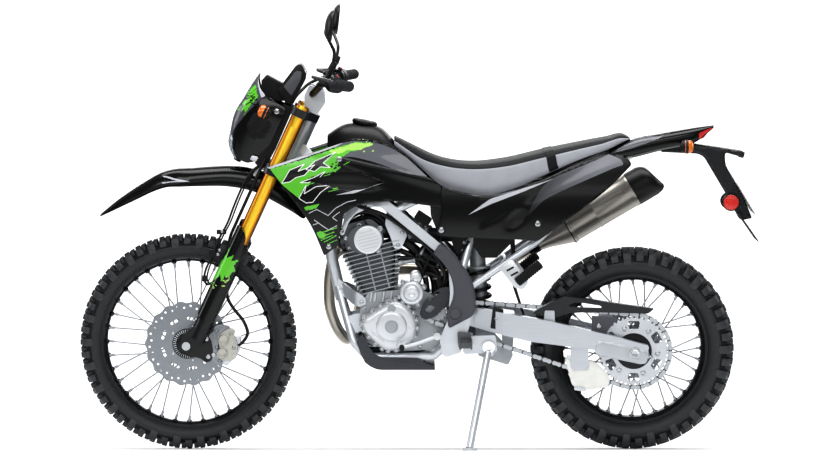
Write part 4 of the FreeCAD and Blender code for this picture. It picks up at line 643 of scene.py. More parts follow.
# ABS, polished in the mould: deep black with soft long highlights; the dark silver is metallic
# paint under lacquer, and the film's colours are printed inks under a clear layer.
black_abs = moulded("gloss_black_abs", "#050607", 0.2, 0.12, 260.0)
satin_black = moulded("satin_black_plastic", "#0C0D0F", 0.4, 0.0, 420.0)
silver_band = moulded("dark_silver_lacquer", "#5C5E64", 0.3, 0.4, 300.0)
# Light silver lacquer, which on the fender's lips and the side covers' thin line is painted
# highlight.
light_edge = moulded("light_silver_lacquer_and_painted_highlight", "#B9BAC1", 0.3, 0.5, 300.0)
green_ink = moulded("green_film", "#5DBB33", 0.3, 0.4, 240.0)
pale_green_ink = moulded("pale_green_film", "#A9D86A", 0.3, 0.4, 240.0)
white_ink = moulded("white_film", "#F1F2F2", 0.3, 0.4, 240.0)
PANEL_FINISHES = [black_abs, silver_band, light_edge, green_ink, pale_green_ink, white_ink,
                  satin_black]
BLACK, SILVER, LIGHT, GREEN, PALE_GREEN, WHITE, SATIN, ADDED = range(8)


def shroud_depth(x, z):
    """Half width by length, less the turn-in by height, with a hollow behind the vent and a flare
    above it."""
    half = eased(x, [(230, 150), (330, 159), (430, 160), (530, 150), (640, 130), (800, 121)])
    turn_in = eased(z, [(600, 18), (700, 6), (800, 0), (880, 4), (930, 18), (985, 46)])
    belt = 5 * np.exp(-((z - (925 - 0.27 * (x - 470))) / 16) ** 2) * (x > 300)
    hollow = 7 * np.exp(-((z - (846 - 0.05 * (x - 420))) / 15) ** 2 - ((x - 500) / 90) ** 2)
    return half - turn_in + belt - hollow


def ragged(loop, amount, seed, keep=None):
    """A loop whose points are pushed about by a seeded spread, as the edge of a dry brush mark, but
    for those kept."""
    spread = np.random.default_rng(seed).uniform(-amount, amount, loop.shape)
    return loop + (spread if keep is None else spread * ~keep(loop)[:, None])


def drops(centre, spread, sizes, count, seed):
    """Small uneven drops thrown round a place: each is a loop of nine points at uneven
    distances."""
    draw = np.random.default_rng(seed)
    at = np.asarray(centre) + draw.normal(0, 1, (count, 2)) * spread
    size = draw.uniform(*sizes, count)
    angle = np.linspace(0, TURN, 9, endpoint=False)
    reach = size[:, None] * draw.uniform(0.6, 1.3, (count, 9))
    return list(np.stack([at[:, :1] + reach * np.cos(angle) * 1.5,
                          at[:, 1:] + reach * np.sin(angle)], -1))


def stripe(points, width):
    """A line of even width drawn along points, as one closed loop."""
    p = np.asarray(points, float)
    along = np.gradient(p, axis=0)
    side = np.stack([-along[:, 1], along[:, 0]], -1) / np.linalg.norm(along, axis=1)[:, None]
    side = side * width / 2
    return np.concatenate([p + side, (p - side)[::-1]])


shroud_edge = outline([(249, 891, 3), (483, 966, 40), (515, 978, 20), (576, 973, 40),
                       (660, 942, 30), (739, 865, 20), (783, 836, 4), (783, 767, 4), (625, 789, 60),
                       (538, 781, 40), (484, 750, 20), (474, 686, 40), (469, 653, 8), (426, 620, 6),
                       (385, 724, 60), (292, 844, 20)], bend=9)
vent = outline([(372, 852, 3), (412, 862, 30), (465, 875, 30), (518, 877, 30), (556, 866, 20),
                (607, 845, 2), (548, 824, 20), (514, 822, 10), (465, 831, 40), (413, 842, 30)],
               bend=8)
silver = outline([(517, 972, 20), (580, 966, 40), (630, 951, 30), (676, 921, 20), (741, 863, 2),
                  (679, 871, 30), (630, 889, 40), (578, 908, 40), (514, 924, 30), (476, 924, 20),
                  (450, 962, 10), (486, 965, 20)])
top_edge = outline([(252, 891, 1), (462, 959, 20), (484, 965, 4), (466, 955, 10), (262, 887, 1)])
blade = outline([(462, 808, 1), (520, 822, 10), (606, 843, 1), (560, 828, 10), (520, 813, 10)])
brush = ragged(outline([(262, 886, 2), (380, 922, 10), (450, 947, 10), (520, 967, 10),
                        (578, 962, 4), (540, 946, 4), (505, 938, 4), (478, 920, 4), (470, 905, 4),
                        (478, 892, 4), (466, 880, 4), (414, 872, 6), (380, 860, 4), (384, 842, 4),
                        (358, 820, 4), (352, 796, 4), (300, 838, 2)], step=5.0), 2.2, 3,
               keep=lambda p: (p[:, 0] < 362) & (p[:, 1] - 886 < (p[:, 0] - 262) * -0.2))
sweep = ragged(outline([(440, 941, 4), (520, 965, 10), (578, 961, 2), (536, 944, 4), (500, 944, 4),
                        (470, 932, 4)], step=5.0), 1.5, 5)
foot_brush = ragged(outline([(403, 690, 3), (414, 698, 3), (426, 692, 3), (434, 686, 3),
                             (424, 674, 3), (414, 674, 3)], step=4.0), 1.6, 6)
mid_brush = ragged(outline([(366, 772, 4), (412, 782, 4), (404, 768, 4), (370, 760, 4)], step=4.0),
                   1.5, 8)
strokes = [ragged(stripe(np.array([(x0 + t * (x1 - x0), z0 + t * (z1 - z0))
                                   for t in np.linspace(0, 1, 12)]), width), 0.9, 40 + k)
           for k, (x0, z0, x1, z1, width) in enumerate([(392, 852, 446, 872, 3.2),
               (404, 850, 462, 868, 2.0), (384, 842, 420, 852, 2.4), (452, 826, 492, 838, 2.6),
               (440, 818, 470, 826, 2.0), (412, 690, 466, 708, 3.0), (418, 680, 458, 694, 3.4),
               (416, 668, 452, 684, 3.0), (426, 662, 464, 684, 2.6), (436, 656, 466, 670, 2.2),
               (352, 826, 376, 850, 2.6), (486, 900, 506, 910, 2.2)])]
shards = [
    [(298, 844), (322, 884), (366, 902), (347, 880), (398, 900), (366, 868), (342, 862),
      (322, 848)],
    [(372, 886), (400, 912), (462, 938), (424, 906), (446, 892), (416, 894), (398, 880)],
    [(354, 846), (396, 862), (430, 880), (414, 862), (380, 846)],
    [(350, 798), (372, 838), (366, 812), (402, 834), (446, 838), (416, 816), (392, 786),
      (372, 784)]]
lower_lines = [
    [(380, 752), (404, 764), (439, 745), (462, 768), (496, 786), (524, 792)],
    [(474, 756), (452, 739), (466, 728)],
    [(396, 732), (418, 716), (440, 701), (466, 714)],
    [(392, 716), (410, 722), (428, 708)]]
shard_rims, shard_loops = [], []
for shard in shards:
    loop = np.array(shard, float)
    shard_loops.append(outline(np.column_stack([loop, np.full(len(loop), 1.0)]), bend=2))
    rim_line = np.concatenate([loop, loop[:1]])
    shard_rims += [stripe(rim_line[k:k + 2], 2.2) for k in range(len(loop))]
areas = [(silver, SILVER), (brush, GREEN), (sweep, PALE_GREEN), (foot_brush, GREEN),
         (mid_brush, GREEN), (top_edge, LIGHT), (blade, LIGHT)]
areas += [(loop, GREEN) for loop in strokes]
areas += [(loop, BLACK) for loop in drops((466, 902), 9, (1.5, 4.0), 16, 11)]
areas += [(loop, PALE_GREEN) for loop in drops((556, 955), 12, (0.8, 2.4), 10, 12)]
areas += [(loop, BLACK) for loop in shard_loops] + [(loop, WHITE) for loop in shard_rims]
areas += [(stripe(line[k:k + 2], 2.4), LIGHT) for line in lower_lines for k in range(len(line) - 1)]


def shroud(side):
    """The left shroud, or its mirror image on the right."""
    return panel(shroud_edge, lambda x, z: side * shroud_depth(x, z), [vent], areas, 8.0)


sheet = dict(wall=3.4, edge=0.8, crease=40)
piece("left_shroud", [shroud(-1)], PANEL_FINISHES, "chassis", ("shrouds",), **sheet)
piece("right_shroud", [shroud(1)], PANEL_FINISHES, "chassis", slot="shrouds", **sheet)

# A blind duct closes each vent 16 mm in.
ducts = [panel(vent.mean(0) + (vent - vent.mean(0)) * 1.05,
               lambda x, z, s=s: s * (shroud_depth(x, z) - 16), (), (), 9.0) for s in (-1, 1)]
piece("vent_ducts", ducts, [satin_black], "chassis", slot="shrouds", wall=1.5, crease=40)


def bolts(places, axis, radius, height=4.0):
    """Button-head socket screws: a turned head with a six-sided hollow, along an axis, at each
    place."""
    head = [(0, 0), (0, radius), (height * 0.35, radius), (height * 0.85, radius * 0.78),
            (height, radius * 0.55), (height, radius * 0.42), (height * 0.4, radius * 0.4),
            (height * 0.4, 0)]
    return [turned(head, at, axis, 18) for at in places]


def on_shroud(x, z, side, out=0.0):
    """A place on a shroud's skin, or that far out from it."""
    return (x, side * (float(shroud_depth(np.array(x), np.array(z))) + out), z)


panel_bolts = []
for side in (-1, 1):
    panel_bolts += bolts([on_shroud(473, 917, side), on_shroud(440, 648, side, -1)], (0, side, 0),
                         8.0)
piece("shroud_screws", panel_bolts, [bright_steel], "chassis", slot="axle_bolts")


# Fuel tank. A pressed steel tank under a satin black moulded cover, which is held between the
# shrouds; the filler cap screws in on top.


def hoops(stations, power=2.6):
    """A closed body of hoops square to x. Each station is (x, half width, low, high), and the hoop
    is
    a superellipse: |y/half|^power + |z/half height|^power = 1."""
    around = 48
    s = through(stations, len(stations) * 6)
    angle = np.linspace(0, TURN, around, endpoint=False)
    c, d = np.cos(angle), np.sin(angle)
    y = np.sign(c) * np.abs(c) ** (2 / power)
    z = np.sign(d) * np.abs(d) ** (2 / power)
    points = np.stack([np.broadcast_to(s[:, :1], (len(s), around)), s[:, 1:2] * y,
                       (s[:, 2:3] + s[:, 3:4]) / 2 + (s[:, 3:4] - s[:, 2:3]) / 2 * z], -1)
    body, quads = skin(points, round_v=True)
    ring = np.arange(around)
    return [(body, quads), (body, np.stack([ring, ring[::-1] + (len(s) - 1) * around]))]


tank = hoops([(434, 48, 900, 984), (480, 72, 850, 1013), (530, 88, 826, 1018), (600, 92, 790, 1004),
              (650, 90, 780, 952), (700, 84, 790, 902), (770, 70, 806, 838)])
piece("tank_cover", tank, [satin_black], "chassis", ("fuel_tank",), crease=50)
cap_line = [(-4, 0), (-4, 37), (1, 39.5), (7, 39), (10.5, 36), (11, 33), (9.5, 30), (10, 25),
            (12, 20), (12.5, 0)]
piece("filler_cap", [turned(cap_line, (548, 0, 1017), (0.2, 0, 1), 60)], [satin_black], "chassis",
      slot="fuel_tank", crease=30)


# Seat. Foam on a plastic base under tight vinyl: a black grained top, silver-grey sides sewn to it
# with a welted seam, and a black strap for the passenger round its middle.


def vinyl(name, hex_colour, roughness):
    """Vinyl-coated cloth: soft, matt, a pebble grain about 1 mm across, a slight sheen at its
    edges."""
    made, tree, place = new_finish(name)
    pebble = add(tree, "TexVoronoi", {"Vector": place}, Scale=700.0)
    fold = add(tree, "TexNoise", {"Vector": place}, Scale=22.0, Detail=4.0)
    height = add(tree, "Math", {0: pebble, 1: fold}, operation="ADD")
    relief = add(tree, "Bump", {"Height": height}, Strength=0.3, Distance=0.0007)
    base = np.array(linear(hex_colour))
    tone = add(tree, "Mix", {"Factor": fold}, data_type="RGBA", A=(*(base[:3] * 0.86), 1),
               B=(*(base[:3] * 1.12), 1))
    rough = add(tree, "MapRange", {"Value": pebble}, To_Min=roughness, To_Max=roughness + 0.15)
    shader = add(tree, "BsdfPrincipled", {"Base_Color": tone, "Roughness": rough, "Normal": relief},
                 Sheen_Weight=0.04, Sheen_Roughness=0.4, IOR=1.3)
    add(tree, "OutputMaterial", {"Surface": shader})
    return made


black_vinyl = vinyl("black_grained_vinyl", "#131517", 0.52)
grey_vinyl = vinyl("silver_grey_vinyl", "#A3A5AC", 0.42)
seat_top = [(640, 980), (674, 964), (720, 941), (756, 924), (817, 906), (880, 900), (969, 908),
            (1103, 938), (1215, 961), (1300, 977), (1350, 985), (1366, 976)]
seat_seam = [(640, 968), (674, 945), (720, 915), (791, 892), (880, 883), (969, 890), (1103, 920),
             (1215, 946), (1278, 960), (1340, 976), (1366, 974)]
seat_low = [(640, 950), (674, 925), (720, 886), (784, 832), (850, 812), (925, 803), (990, 818),
            (1122, 874), (1215, 914), (1300, 944), (1366, 972)]
seat_half = [(640, 56), (700, 72), (756, 84), (817, 98), (894, 112), (976, 119), (1103, 116),
             (1215, 106), (1300, 90), (1366, 60)]


def seat_section(x, share):
    """(y, z) of the cover at a length x and a share from the left low edge, 0, over the crown, 0.5,
    to the right, 1."""
    top, seam, low, half = (eased(x, knots) for knots in (seat_top, seat_seam, seat_low, seat_half))
    up = 1 - np.abs(2 * share - 1)
    wide = eased(up, [(0, 0.90), (0.2, 0.985), (0.38, 0.98), (0.5, 0.93), (0.62, 0.82), (0.8, 0.47),
                      (1.0, 0.0)])
    rise = eased(up, [(0, 0.0), (0.25, 0.42), (0.5, 1.0), (0.5001, 1.0), (1.0, 1.0)])
    over = eased(up, [(0.5, 0.0), (0.62, 0.62), (0.8, 0.93), (1.0, 1.0)]) * (up > 0.5)
    groove = 1.6 * np.exp(-((up - 0.5) / 0.012) ** 2)
    z = low + (seam - low) * np.minimum(rise, 1) + (top - seam) * over
    return np.sign(share - 0.5) * (half * wide - groove), z


# The seat's two ends, and the points of its grid along and across.
SEAT_FRONT, SEAT_REAR, ALONG, ACROSS = 640, 1366, 150, 101
length, share = np.meshgrid(np.linspace(SEAT_FRONT, SEAT_REAR, ALONG), np.linspace(0, 1, ACROSS),
                            indexing="ij")
y, z = seat_section(length, share)
cover, quads = skin(np.stack([length, y, z], -1))
middle_share = share.ravel()[quads].mean(1)
numbers = (np.abs(2 * middle_share - 1) > 0.5).astype(int)
ring = np.arange(ACROSS)
seat_caps = np.stack([ring, ring[::-1] + (ALONG - 1) * ACROSS])
base = skin(cover.reshape(ALONG, ACROSS, 3)[:, [0, -1]])
seat_cover = piece("seat_cover", [(cover, quads, numbers), (cover, seat_caps, 0), (*base, 0)],
                   [black_vinyl, grey_vinyl], "chassis", ("seat",), crease=60)


def tube(path, radius, sides=12, capped=True):
    """A circle carried along a path, square to it. radius may be one size or one for each point."""
    p = np.asarray(path, float)
    along = np.gradient(p, axis=0)
    along /= np.linalg.norm(along, axis=1)[:, None]
    axes = np.eye(3)
    ref = axes[np.argmin(np.abs(along @ axes).max(0))]
    side = np.cross(along, ref)
    side /= np.linalg.norm(side, axis=1)[:, None]
    angle = np.linspace(0, TURN, sides, endpoint=False)[None, :, None]
    spoke = np.cos(angle) * side[:, None] + np.sin(angle) * np.cross(along, side)[:, None]
    points, quads = skin(p[:, None] + spoke * np.broadcast_to(radius, (len(p),))[:, None, None],
                         round_v=True)
    ring = np.arange(sides)
    ends = [(points, np.stack([ring[::-1], ring + (len(p) - 1) * sides]))] if capped else []
    return [(points, quads), *ends]


x = np.linspace(646, 1362, 160)
welts = []
for side in (0.25, 0.75):
    y, z = seat_section(x, np.full(x.shape, side))
    welts += tube(np.stack([x, y, z], -1), 1.7, 8)
piece("seat_welt", welts, [black_vinyl], "chassis", slot="seat", crease=60)

# The strap follows the cover 2 mm out, tucked down along both of its edges.
share = np.linspace(0.0, 1.0, 90)
side_share = np.abs(2 * share - 1)
strap = []
for offset, lift in ((-15, -1.0), (-13, 2.2), (13, 2.2), (15, -1.0)):
    x = 1108 + offset + 26 * 0.9 * side_share
    y, z = seat_section(x, share)
    strap.append(np.stack([x, y + np.sign(share - 0.5) * lift * np.minimum(1, side_share * 2),
                           z + lift], -1))
strap = np.stack(strap, 1)
piece("seat_strap", [skin(strap)], [black_vinyl], "chassis", slot="seat", crease=50)


# Side covers and tail. Black moulded panels over the subframe, clipped and screwed on, with a dark
# silver band along their top that fades in behind the scoop and carries on into the tail.


def side_depth(stations):
    """The depth of a side panel whose half width goes through those stations."""
    def depth(x, z):
        """Half width by length, less the turn-in by height, a soft step along the silver band and a
        scoop before it."""
        turn_in = eased(z, [(640, 8), (720, 0), (800, 2), (870, 12), (950, 30)])
        band = 4 / (1 + np.exp(-(z - (735 + 0.52 * (x - 960))) / 4)) * (x > 900)
        scoop = 8 * np.exp(-(((x - 1012) + (z - 734)) / 48) ** 2
                           - (((z - 734) - (x - 1012)) / 26) ** 2)
        return eased(x, stations) - turn_in - band * 0.6 - scoop
    return depth


cover_edge = outline([(786, 764, 4), (786, 830, 4), (860, 808, 40), (936, 796, 40), (1018, 822, 60),
                      (1111, 858, 60), (1184, 894, 40), (1291, 932, 30), (1345, 928, 10),
                      (1372, 898, 12), (1296, 821, 60), (1130, 699, 40), (1081, 664, 10),
                      (1018, 669, 20), (854, 675, 20), (777, 680, 8)], bend=9)
band = outline([(1024, 731, 4), (1052, 755, 20), (1078, 806, 20), (1100, 838, 20), (1130, 860, 30),
                (1242, 903, 30), (1300, 928, 4), (1338, 912, 6), (1345, 896, 6), (1313, 886, 20),
                (1147, 816, 40), (1096, 790, 30), (1060, 752, 20), (1030, 728, 4)])
recess = outline([(966, 702, 3), (1000, 738, 12), (1036, 764, 10), (1050, 758, 4), (1030, 724, 12),
                  (1004, 706, 8)])
# A thin light silver line along each cover is a painted highlight.
painted_highlight_line = outline([(866, 744, 1), (934, 794, 10), (1040, 828, 10), (1130, 856, 1),
                      (1040, 818, 10), (936, 778, 10)])
cover_areas = [(band, ADDED), (painted_highlight_line, LIGHT), (recess, SATIN)]
left_depth = side_depth([(760, 121), (860, 130), (980, 138), (1100, 136), (1240, 124), (1390, 104)])
right_depth = side_depth([(760, 121), (860, 122), (980, 120), (1100, 116), (1240, 106), (1390, 98)])

# The band's paint fades along its length, from black by the recess to dark silver at the tail.
faded_band, tree, place = new_finish("faded_silver_band")
along = add(tree, "SeparateXYZ", {"Vector": place})
fade = add(tree, "MapRange", {"Value": along.outputs["X"]}, From_Min=0.33, From_Max=0.56)
tone = add(tree, "Mix", {"Factor": fade}, data_type="RGBA", A=linear("#07080A"),
           B=linear("#74767D"))
shader = add(tree, "BsdfPrincipled", {"Base_Color": tone}, Roughness=0.26, IOR=1.4, Coat_Weight=0.3)
add(tree, "OutputMaterial", {"Surface": shader})
rubber = moulded("black_rubber", "#141516", 0.6, 0.0, 800.0)
COVER_FINISHES = PANEL_FINISHES + [faded_band]
piece("left_side_cover", [panel(cover_edge, lambda x, z: -left_depth(x, z), (), cover_areas)],
      COVER_FINISHES, "chassis", ("side_covers",), **sheet)
piece("right_side_cover", [panel(cover_edge, right_depth, (), cover_areas)], COVER_FINISHES,
      "chassis", slot="side_covers", **sheet)
side_bolts, cover_washers = [], []
for side, depth in ((-1, left_depth), (1, right_depth)):
    places = [(x, side * float(depth(np.array(x), np.array(z))), z)
              for x, z in ((1080, 718), (785, 697))]
    side_bolts += bolts(places, (0, side, 0), 9.0)
    cover_washers += [turned([(-1, 14), (1.5, 14), (2.4, 13), (1.2, 11), (1.0, 0)], at,
                             (0, side, 0), 36) for at in places]
inner_edge = outline([(750, 800, 4), (752, 742, 6), (768, 702, 6), (806, 690, 4), (806, 820, 4),
                      (770, 826, 6)])
inner_panels = [panel(inner_edge, lambda x, z, s=s: s * (shroud_depth(x, z) - 9), (), (), 9.0)
                for s in (-1, 1)]
piece("inner_panels", inner_panels, [satin_black], "chassis", slot="side_covers", wall=2.0,
      crease=40)
piece("side_cover_washers", cover_washers, [rubber], "chassis", slot="side_covers")
piece("side_cover_screws", side_bolts, [bright_steel], "chassis", slot="axle_bolts")


def coloured_lens(name, deep, pale):
    """Moulded acrylic with ribs inside: the tone swings over a few millimetres and the skin is
    glossy."""
    made, tree, place = new_finish(name)
    ribs = add(tree, "TexWave", {"Vector": place}, Scale=90.0, Distortion=0.6, bands_direction="Z")
    tone = add(tree, "Mix", {"Factor": ribs.outputs["Fac"]}, data_type="RGBA", A=linear(deep),
               B=linear(pale))
    relief = add(tree, "Bump", {"Height": ribs.outputs["Fac"]}, Strength=0.2, Distance=0.0004)
    shader = add(tree, "BsdfPrincipled", {"Base_Color": tone, "Normal": relief}, Roughness=0.08,
                 IOR=1.49, Coat_Weight=0.4)
    add(tree, "OutputMaterial", {"Surface": shader})
    return made


red_lens = coloured_lens("red_lens", "#B3140F", "#E4392F")
TAIL_POWER = 3.2
tail_stations = np.array([(1300, 86, 905, 940), (1370, 88, 912, 973), (1460, 80, 934, 991),
                          (1560, 64, 955, 1007), (1625, 40, 1004, 1015)], float)
piece("tail_cover", hoops(tail_stations, TAIL_POWER), [black_abs], "chassis", ("rear_fender",),
      crease=50)


def tail_depth(x, z):
    """Just outside the tail's own hoops."""
    half, low, high = (eased(x, tail_stations[:, [0, k]]) for k in (1, 2, 3))
    t = np.clip(np.abs(2 * (z - low) / (high - low) - 1), 0, 0.999)
    return half * (1 - t ** TAIL_POWER) ** (1 / TAIL_POWER) + 0.9


tail_band = outline([(1318, 934, 2), (1350, 967, 6), (1426, 985, 20), (1494, 996, 1),
                     (1455, 976, 20), (1366, 944, 20)])
tail_bands = [panel(tail_band, lambda x, z, s=s: s * tail_depth(x, z), (), (), 6.0, SILVER)
              for s in (-1, 1)]
lamp_field = outline([(1578, 991, 2), (1618, 1007, 2), (1621.5, 1003.5, 1), (1598, 985, 4),
                      (1578, 972, 2)], 4.0)
tail_bands += [panel(lamp_field, lambda x, z, s=s: s * tail_depth(x, z), (), (), 4.0, ADDED)
               for s in (-1, 1)]
piece("tail_strips", tail_bands, PANEL_FINISHES + [red_lens], "chassis", slot="rear_fender",
      wall=1.2, crease=40)


# Fork. Two gold anodised upper tubes in cast clamps, black lower legs that carry the axle in front
# of them, and moulded guards bolted round the legs' front and outside, with a printed film of brush
# marks.

RAKE, TRAIL = math.radians(24.6), 96.0


def on_fork(points):
    """Upright millimetres of (u, v, w): the steering axis starts TRAIL before the axle and leans
    back by RAKE."""
    p = np.asarray(points, float)
    u, w = p[..., 0], p[..., 2]
    return np.stack([u * math.cos(RAKE) + w * math.sin(RAKE) - TRAIL, p[..., 1],
                     w * math.cos(RAKE) - u * math.sin(RAKE)], -1)


def forked(points):
    """Row-frame metres of (u, v, w) on the fork."""
    return parked(on_fork(points))


# Gold anodised aluminium with painted shading: bright gold where the tube faces the eye, turning
# burnt orange and then dark brown towards its edges, as painted highlight and shade.
gold_anodised_painted_shading, tree, place = new_finish("gold_anodised_painted_shading")
facing = add(tree, "LayerWeight", Blend=0.35)
flank = add(tree, "MapRange", {"Value": facing.outputs["Facing"]}, From_Min=0.01, From_Max=0.12)
painted_edge_shade = add(tree, "MapRange", {"Value": facing.outputs["Facing"]}, From_Min=0.14,
                  From_Max=0.42)
middle = add(tree, "Mix", {"Factor": flank}, data_type="RGBA", A=linear("#FFD640"),
             B=linear("#D98E18"))
tone = add(tree, "Mix", {"Factor": painted_edge_shade, "A": middle}, data_type="RGBA", B=linear("#552704"))
shader = add(tree, "BsdfPrincipled", {"Base_Color": tone}, Roughness=0.34, Metallic=0.7)
add(tree, "OutputMaterial", {"Surface": shader})

# The legs stand 32 mm ahead of the steering axis and 100 mm to either side of it.
LEG_U, LEG_Y = -32.0, 100.0
tube_line = [(700, 20.5), (701, 21.5), (1098, 21.5), (1100, 21.2), (1101, 21.5), (1164, 21.5),
             (1168, 20.8), (1170, 18), (1170.2, 12), (1167, 11.5), (1167, 0)]
legs = [turned(tube_line, (LEG_U, side * LEG_Y, 0), (0, 0, 1), 64) for side in (-1, 1)]
piece("fork_tubes", legs, [gold_anodised_painted_shading], "steering", ("fork_tubes",), place=forked, crease=30)
seal_line = [(676, 27.2), (676, 29.0), (680, 30.0), (696, 30.0), (699, 28.5), (701, 25.5),
             (706, 23.2), (708, 21.6)]
seals = [turned(seal_line, (LEG_U, side * LEG_Y, 0), (0, 0, 1), 48) for side in (-1, 1)]
piece("fork_dust_seals", seals, [rubber], "steering", slot="fork_sliders", place=forked)
black_steel = moulded("black_powder_coat", "#0C0D0F", 0.34, 0.15, 500.0)
refinish(["fork_sliders"], black_steel)

# The clamps' casting is painted black up to the upper clamp's face; the bar's risers above it are
# bare cast metal.
clamp_metal, tree, place = new_finish("painted_and_bare_clamps")
fork_axis = leaned(on_fork((0, 0, 1000)) - on_fork((0, 0, 0)))
up = add(tree, "VectorMath", {0: place}, operation="DOT_PRODUCT")
up.inputs[1].default_value = tuple(fork_axis)
bare = add(tree, "Math", {0: up}, operation="GREATER_THAN")
bare.inputs[1].default_value = float(parked(on_fork((0, 0, 1159.5))) @ fork_axis)
tone = add(tree, "Mix", {"Factor": bare}, data_type="RGBA", A=linear("#17181A"),
           B=linear("#C4C7CB"))
metal = add(tree, "MapRange", {"Value": bare}, To_Min=0.0, To_Max=0.75)
shader = add(tree, "BsdfPrincipled", {"Base_Color": tone, "Metallic": metal}, Roughness=0.4)
add(tree, "OutputMaterial", {"Surface": shader})
refinish(["fork_clamps"], clamp_metal)


def leg_guard(side):
    """Unrolled as (distance round the leg, height w); 0 is straight ahead and plus is outwards.
    Then wrapped."""
    edge = outline([(-18, 470, 14), (-26, 560, 30), (-20, 700, 20), (-6, 752, 12), (30, 756, 12),
                    (60, 735, 20), (70, 650, 30), (84, 500, 30), (80, 448, 12), (40, 440, 16)], 6.0)
    marks = ragged(outline([(4, 540, 3), (-4, 600, 6), (2, 630, 4), (18, 640, 4), (24, 684, 3),
                            (30, 648, 3), (46, 668, 3), (48, 646, 3), (68, 660, 3), (60, 636, 3),
                            (76, 622, 3), (62, 612, 3), (67, 592, 3), (50, 600, 3), (45, 576, 3),
                            (34, 592, 3), (24, 576, 3), (16, 564, 3), (10, 544, 3)], 4.0), 2.4, 21)
    marks = [marks] + drops((56, 584), 8, (1.2, 3.0), 8, 23)
    marks += drops((26, 556), 7, (1.0, 2.4), 7, 24)
    flat, faces, numbers = panel(edge, lambda x, z: x * 0, [],
                                 [(loop, PALE_GREEN if k else GREEN)
                                  for k, loop in enumerate(marks)], 7.0)
    angle, radius = flat[:, 0] / 32.5, 32.2 + 1.5 * np.exp(-((flat[:, 0] - 30) / 14) ** 2)
    points = np.stack([LEG_U - radius * np.cos(angle), side * (LEG_Y + radius * np.sin(angle)),
                       flat[:, 2]], -1)
    return points, faces, numbers


piece("fork_guards", [leg_guard(-1), leg_guard(1)], PANEL_FINISHES, "steering", ("fork_guards",),
      place=forked, wall=2.6, edge=0.6, crease=40)


# Front fender. One moulded black sheet with a raised middle, kinked down into a beak, bolted under
# the lower clamp; each side has a long hollow whose lip carries a painted highlight in light
# silver.

ridge = [(-464, 600), (-437, 655), (-385, 742), (-346, 797), (-318, 820), (-272, 845), (-218, 875),
         (-144, 910), (-80, 925.5), (-30, 930), (60, 904), (116, 866)]
rim_low = [(-464, 590), (-437, 622), (-385, 684), (-346, 731), (-318, 758), (-272, 783),
           (-218, 810), (-144, 843), (-80, 860), (-30, 864), (60, 848), (116, 838)]
fender_half = [(-464, 24), (-437, 33), (-385, 44), (-346, 51), (-318, 54), (-272, 57), (-218, 60),
               (-144, 58), (-30, 54), (60, 50), (116, 38)]
arch = [(0, 1), (16, 0.992), (35, 0.945), (60, 0.80), (80, 0.52), (92, 0.26), (100, 0)]
spread = [(0, 0), (16, 0.17), (35, 0.44), (60, 0.77), (80, 0.945), (92, 0.99), (100, 1)]


def across(u, w):
    """The place across the sheet, 0 on the ridge and 100 on the rim, that has this height at this
    length."""
    share = (w - eased(u, rim_low)) / (eased(u, ridge) - eased(u, rim_low))
    return float(np.interp(-share, [-y for _, y in arch], [x for x, _ in arch]))


def from_picture(x, z):
    """(u, w) of an upright (x, z)."""
    return ((x + TRAIL) * math.cos(RAKE) - z * math.sin(RAKE), (x + TRAIL) * math.sin(RAKE)
            + z * math.cos(RAKE))


def fender_sheet():
    """A flat sheet of (length, place across), bent to the arch between rim and ridge, with a flute
    along each side."""
    edge = outline([(-464, -100, 5), (-464, 100, 5), (-300, 100, 1), (0, 100, 1), (116, 92, 14),
                    (116, -92, 14), (0, -100, 1), (-300, -100, 1)], 8.0)
    # A light silver strip along each hollow's lip is a painted highlight.
    painted_highlight_lip = []
    for x, z in [(-76, 857.5), (-40, 851), (-5, 844), (10, 841), (-20, 839.5), (-74, 834),
                 (-78, 837), (-30, 842.5), (-42, 846), (-72, 853)]:
        u, w = from_picture(x, z)
        painted_highlight_lip.append((u, across(u, w)))
    areas = [(np.array(painted_highlight_lip) * (1, side), LIGHT) for side in (-1, 1)]
    flat, faces, numbers = panel(edge, lambda x, z: x * 0, [], areas, 9.0)
    u, c = flat[:, 0], np.abs(flat[:, 2])
    y, h = eased(c, spread), eased(c, arch)
    flute = (2.2 * np.exp(-((c - 55) / 8) ** 2) * np.clip((-320 - u) / 60, 0, 1)
             + 3.0 * np.exp(-((c - 74) / 12) ** 2 - ((u + 318) / 46) ** 2))
    y = y * eased(u, fender_half) - flute
    w = eased(u, rim_low) + (eased(u, ridge) - eased(u, rim_low)) * h
    return np.stack([u, np.sign(flat[:, 2]) * y, w], -1), faces, numbers


piece("front_fender", [fender_sheet()], PANEL_FINISHES, "steering", ("front_fender",), place=forked,
      wall=3.2, edge=0.8, crease=40)
fender_bolts = bolts([(u, y, 928.5) for u in (-78, 12) for y in (-16, 16)], (0, 0, 1), 6.5, 3.0)
piece("fender_screws", fender_bolts, [bright_steel], "steering", slot="axle_bolts", place=forked,
      crease=38)


# Headlamp cowl. A grey nose printed with brush marks over black moulded cheeks, each with a
# six-sided hollow and a screw; the lamp's clear lens stands in its lower front with a bright bowl
# behind it.


def cowl_place(s, w, out=0.0):
    """The cowl's skin: s runs from -1, the left rear edge, over the nose, 0, to 1, the right rear
    edge; w is height."""
    half = eased(w, [(915, 44), (985, 66), (1060, 84), (1120, 92), (1168, 75), (1202, 46)])
    front = eased(w, [(915, -160), (985, -197), (1060, -214), (1120, -208), (1168, -202),
                      (1202, -195)])
    a = np.abs(s)
    y = half * eased(a, [(0, 0), (0.2, 0.34), (0.34, 0.56), (0.5, 0.80), (0.62, 0.93), (0.75, 1.0),
                         (1, 0.99)])
    u = front + (-76 - front) * eased(a, [(0, 0.0), (0.2, 0.012), (0.34, 0.05), (0.5, 0.2),
        (0.62, 0.36), (0.75, 0.58), (1, 1)])
    return np.stack([u - out * (1 - a), np.sign(s) * (y + out * np.minimum(1, a * 2)), w], -1)


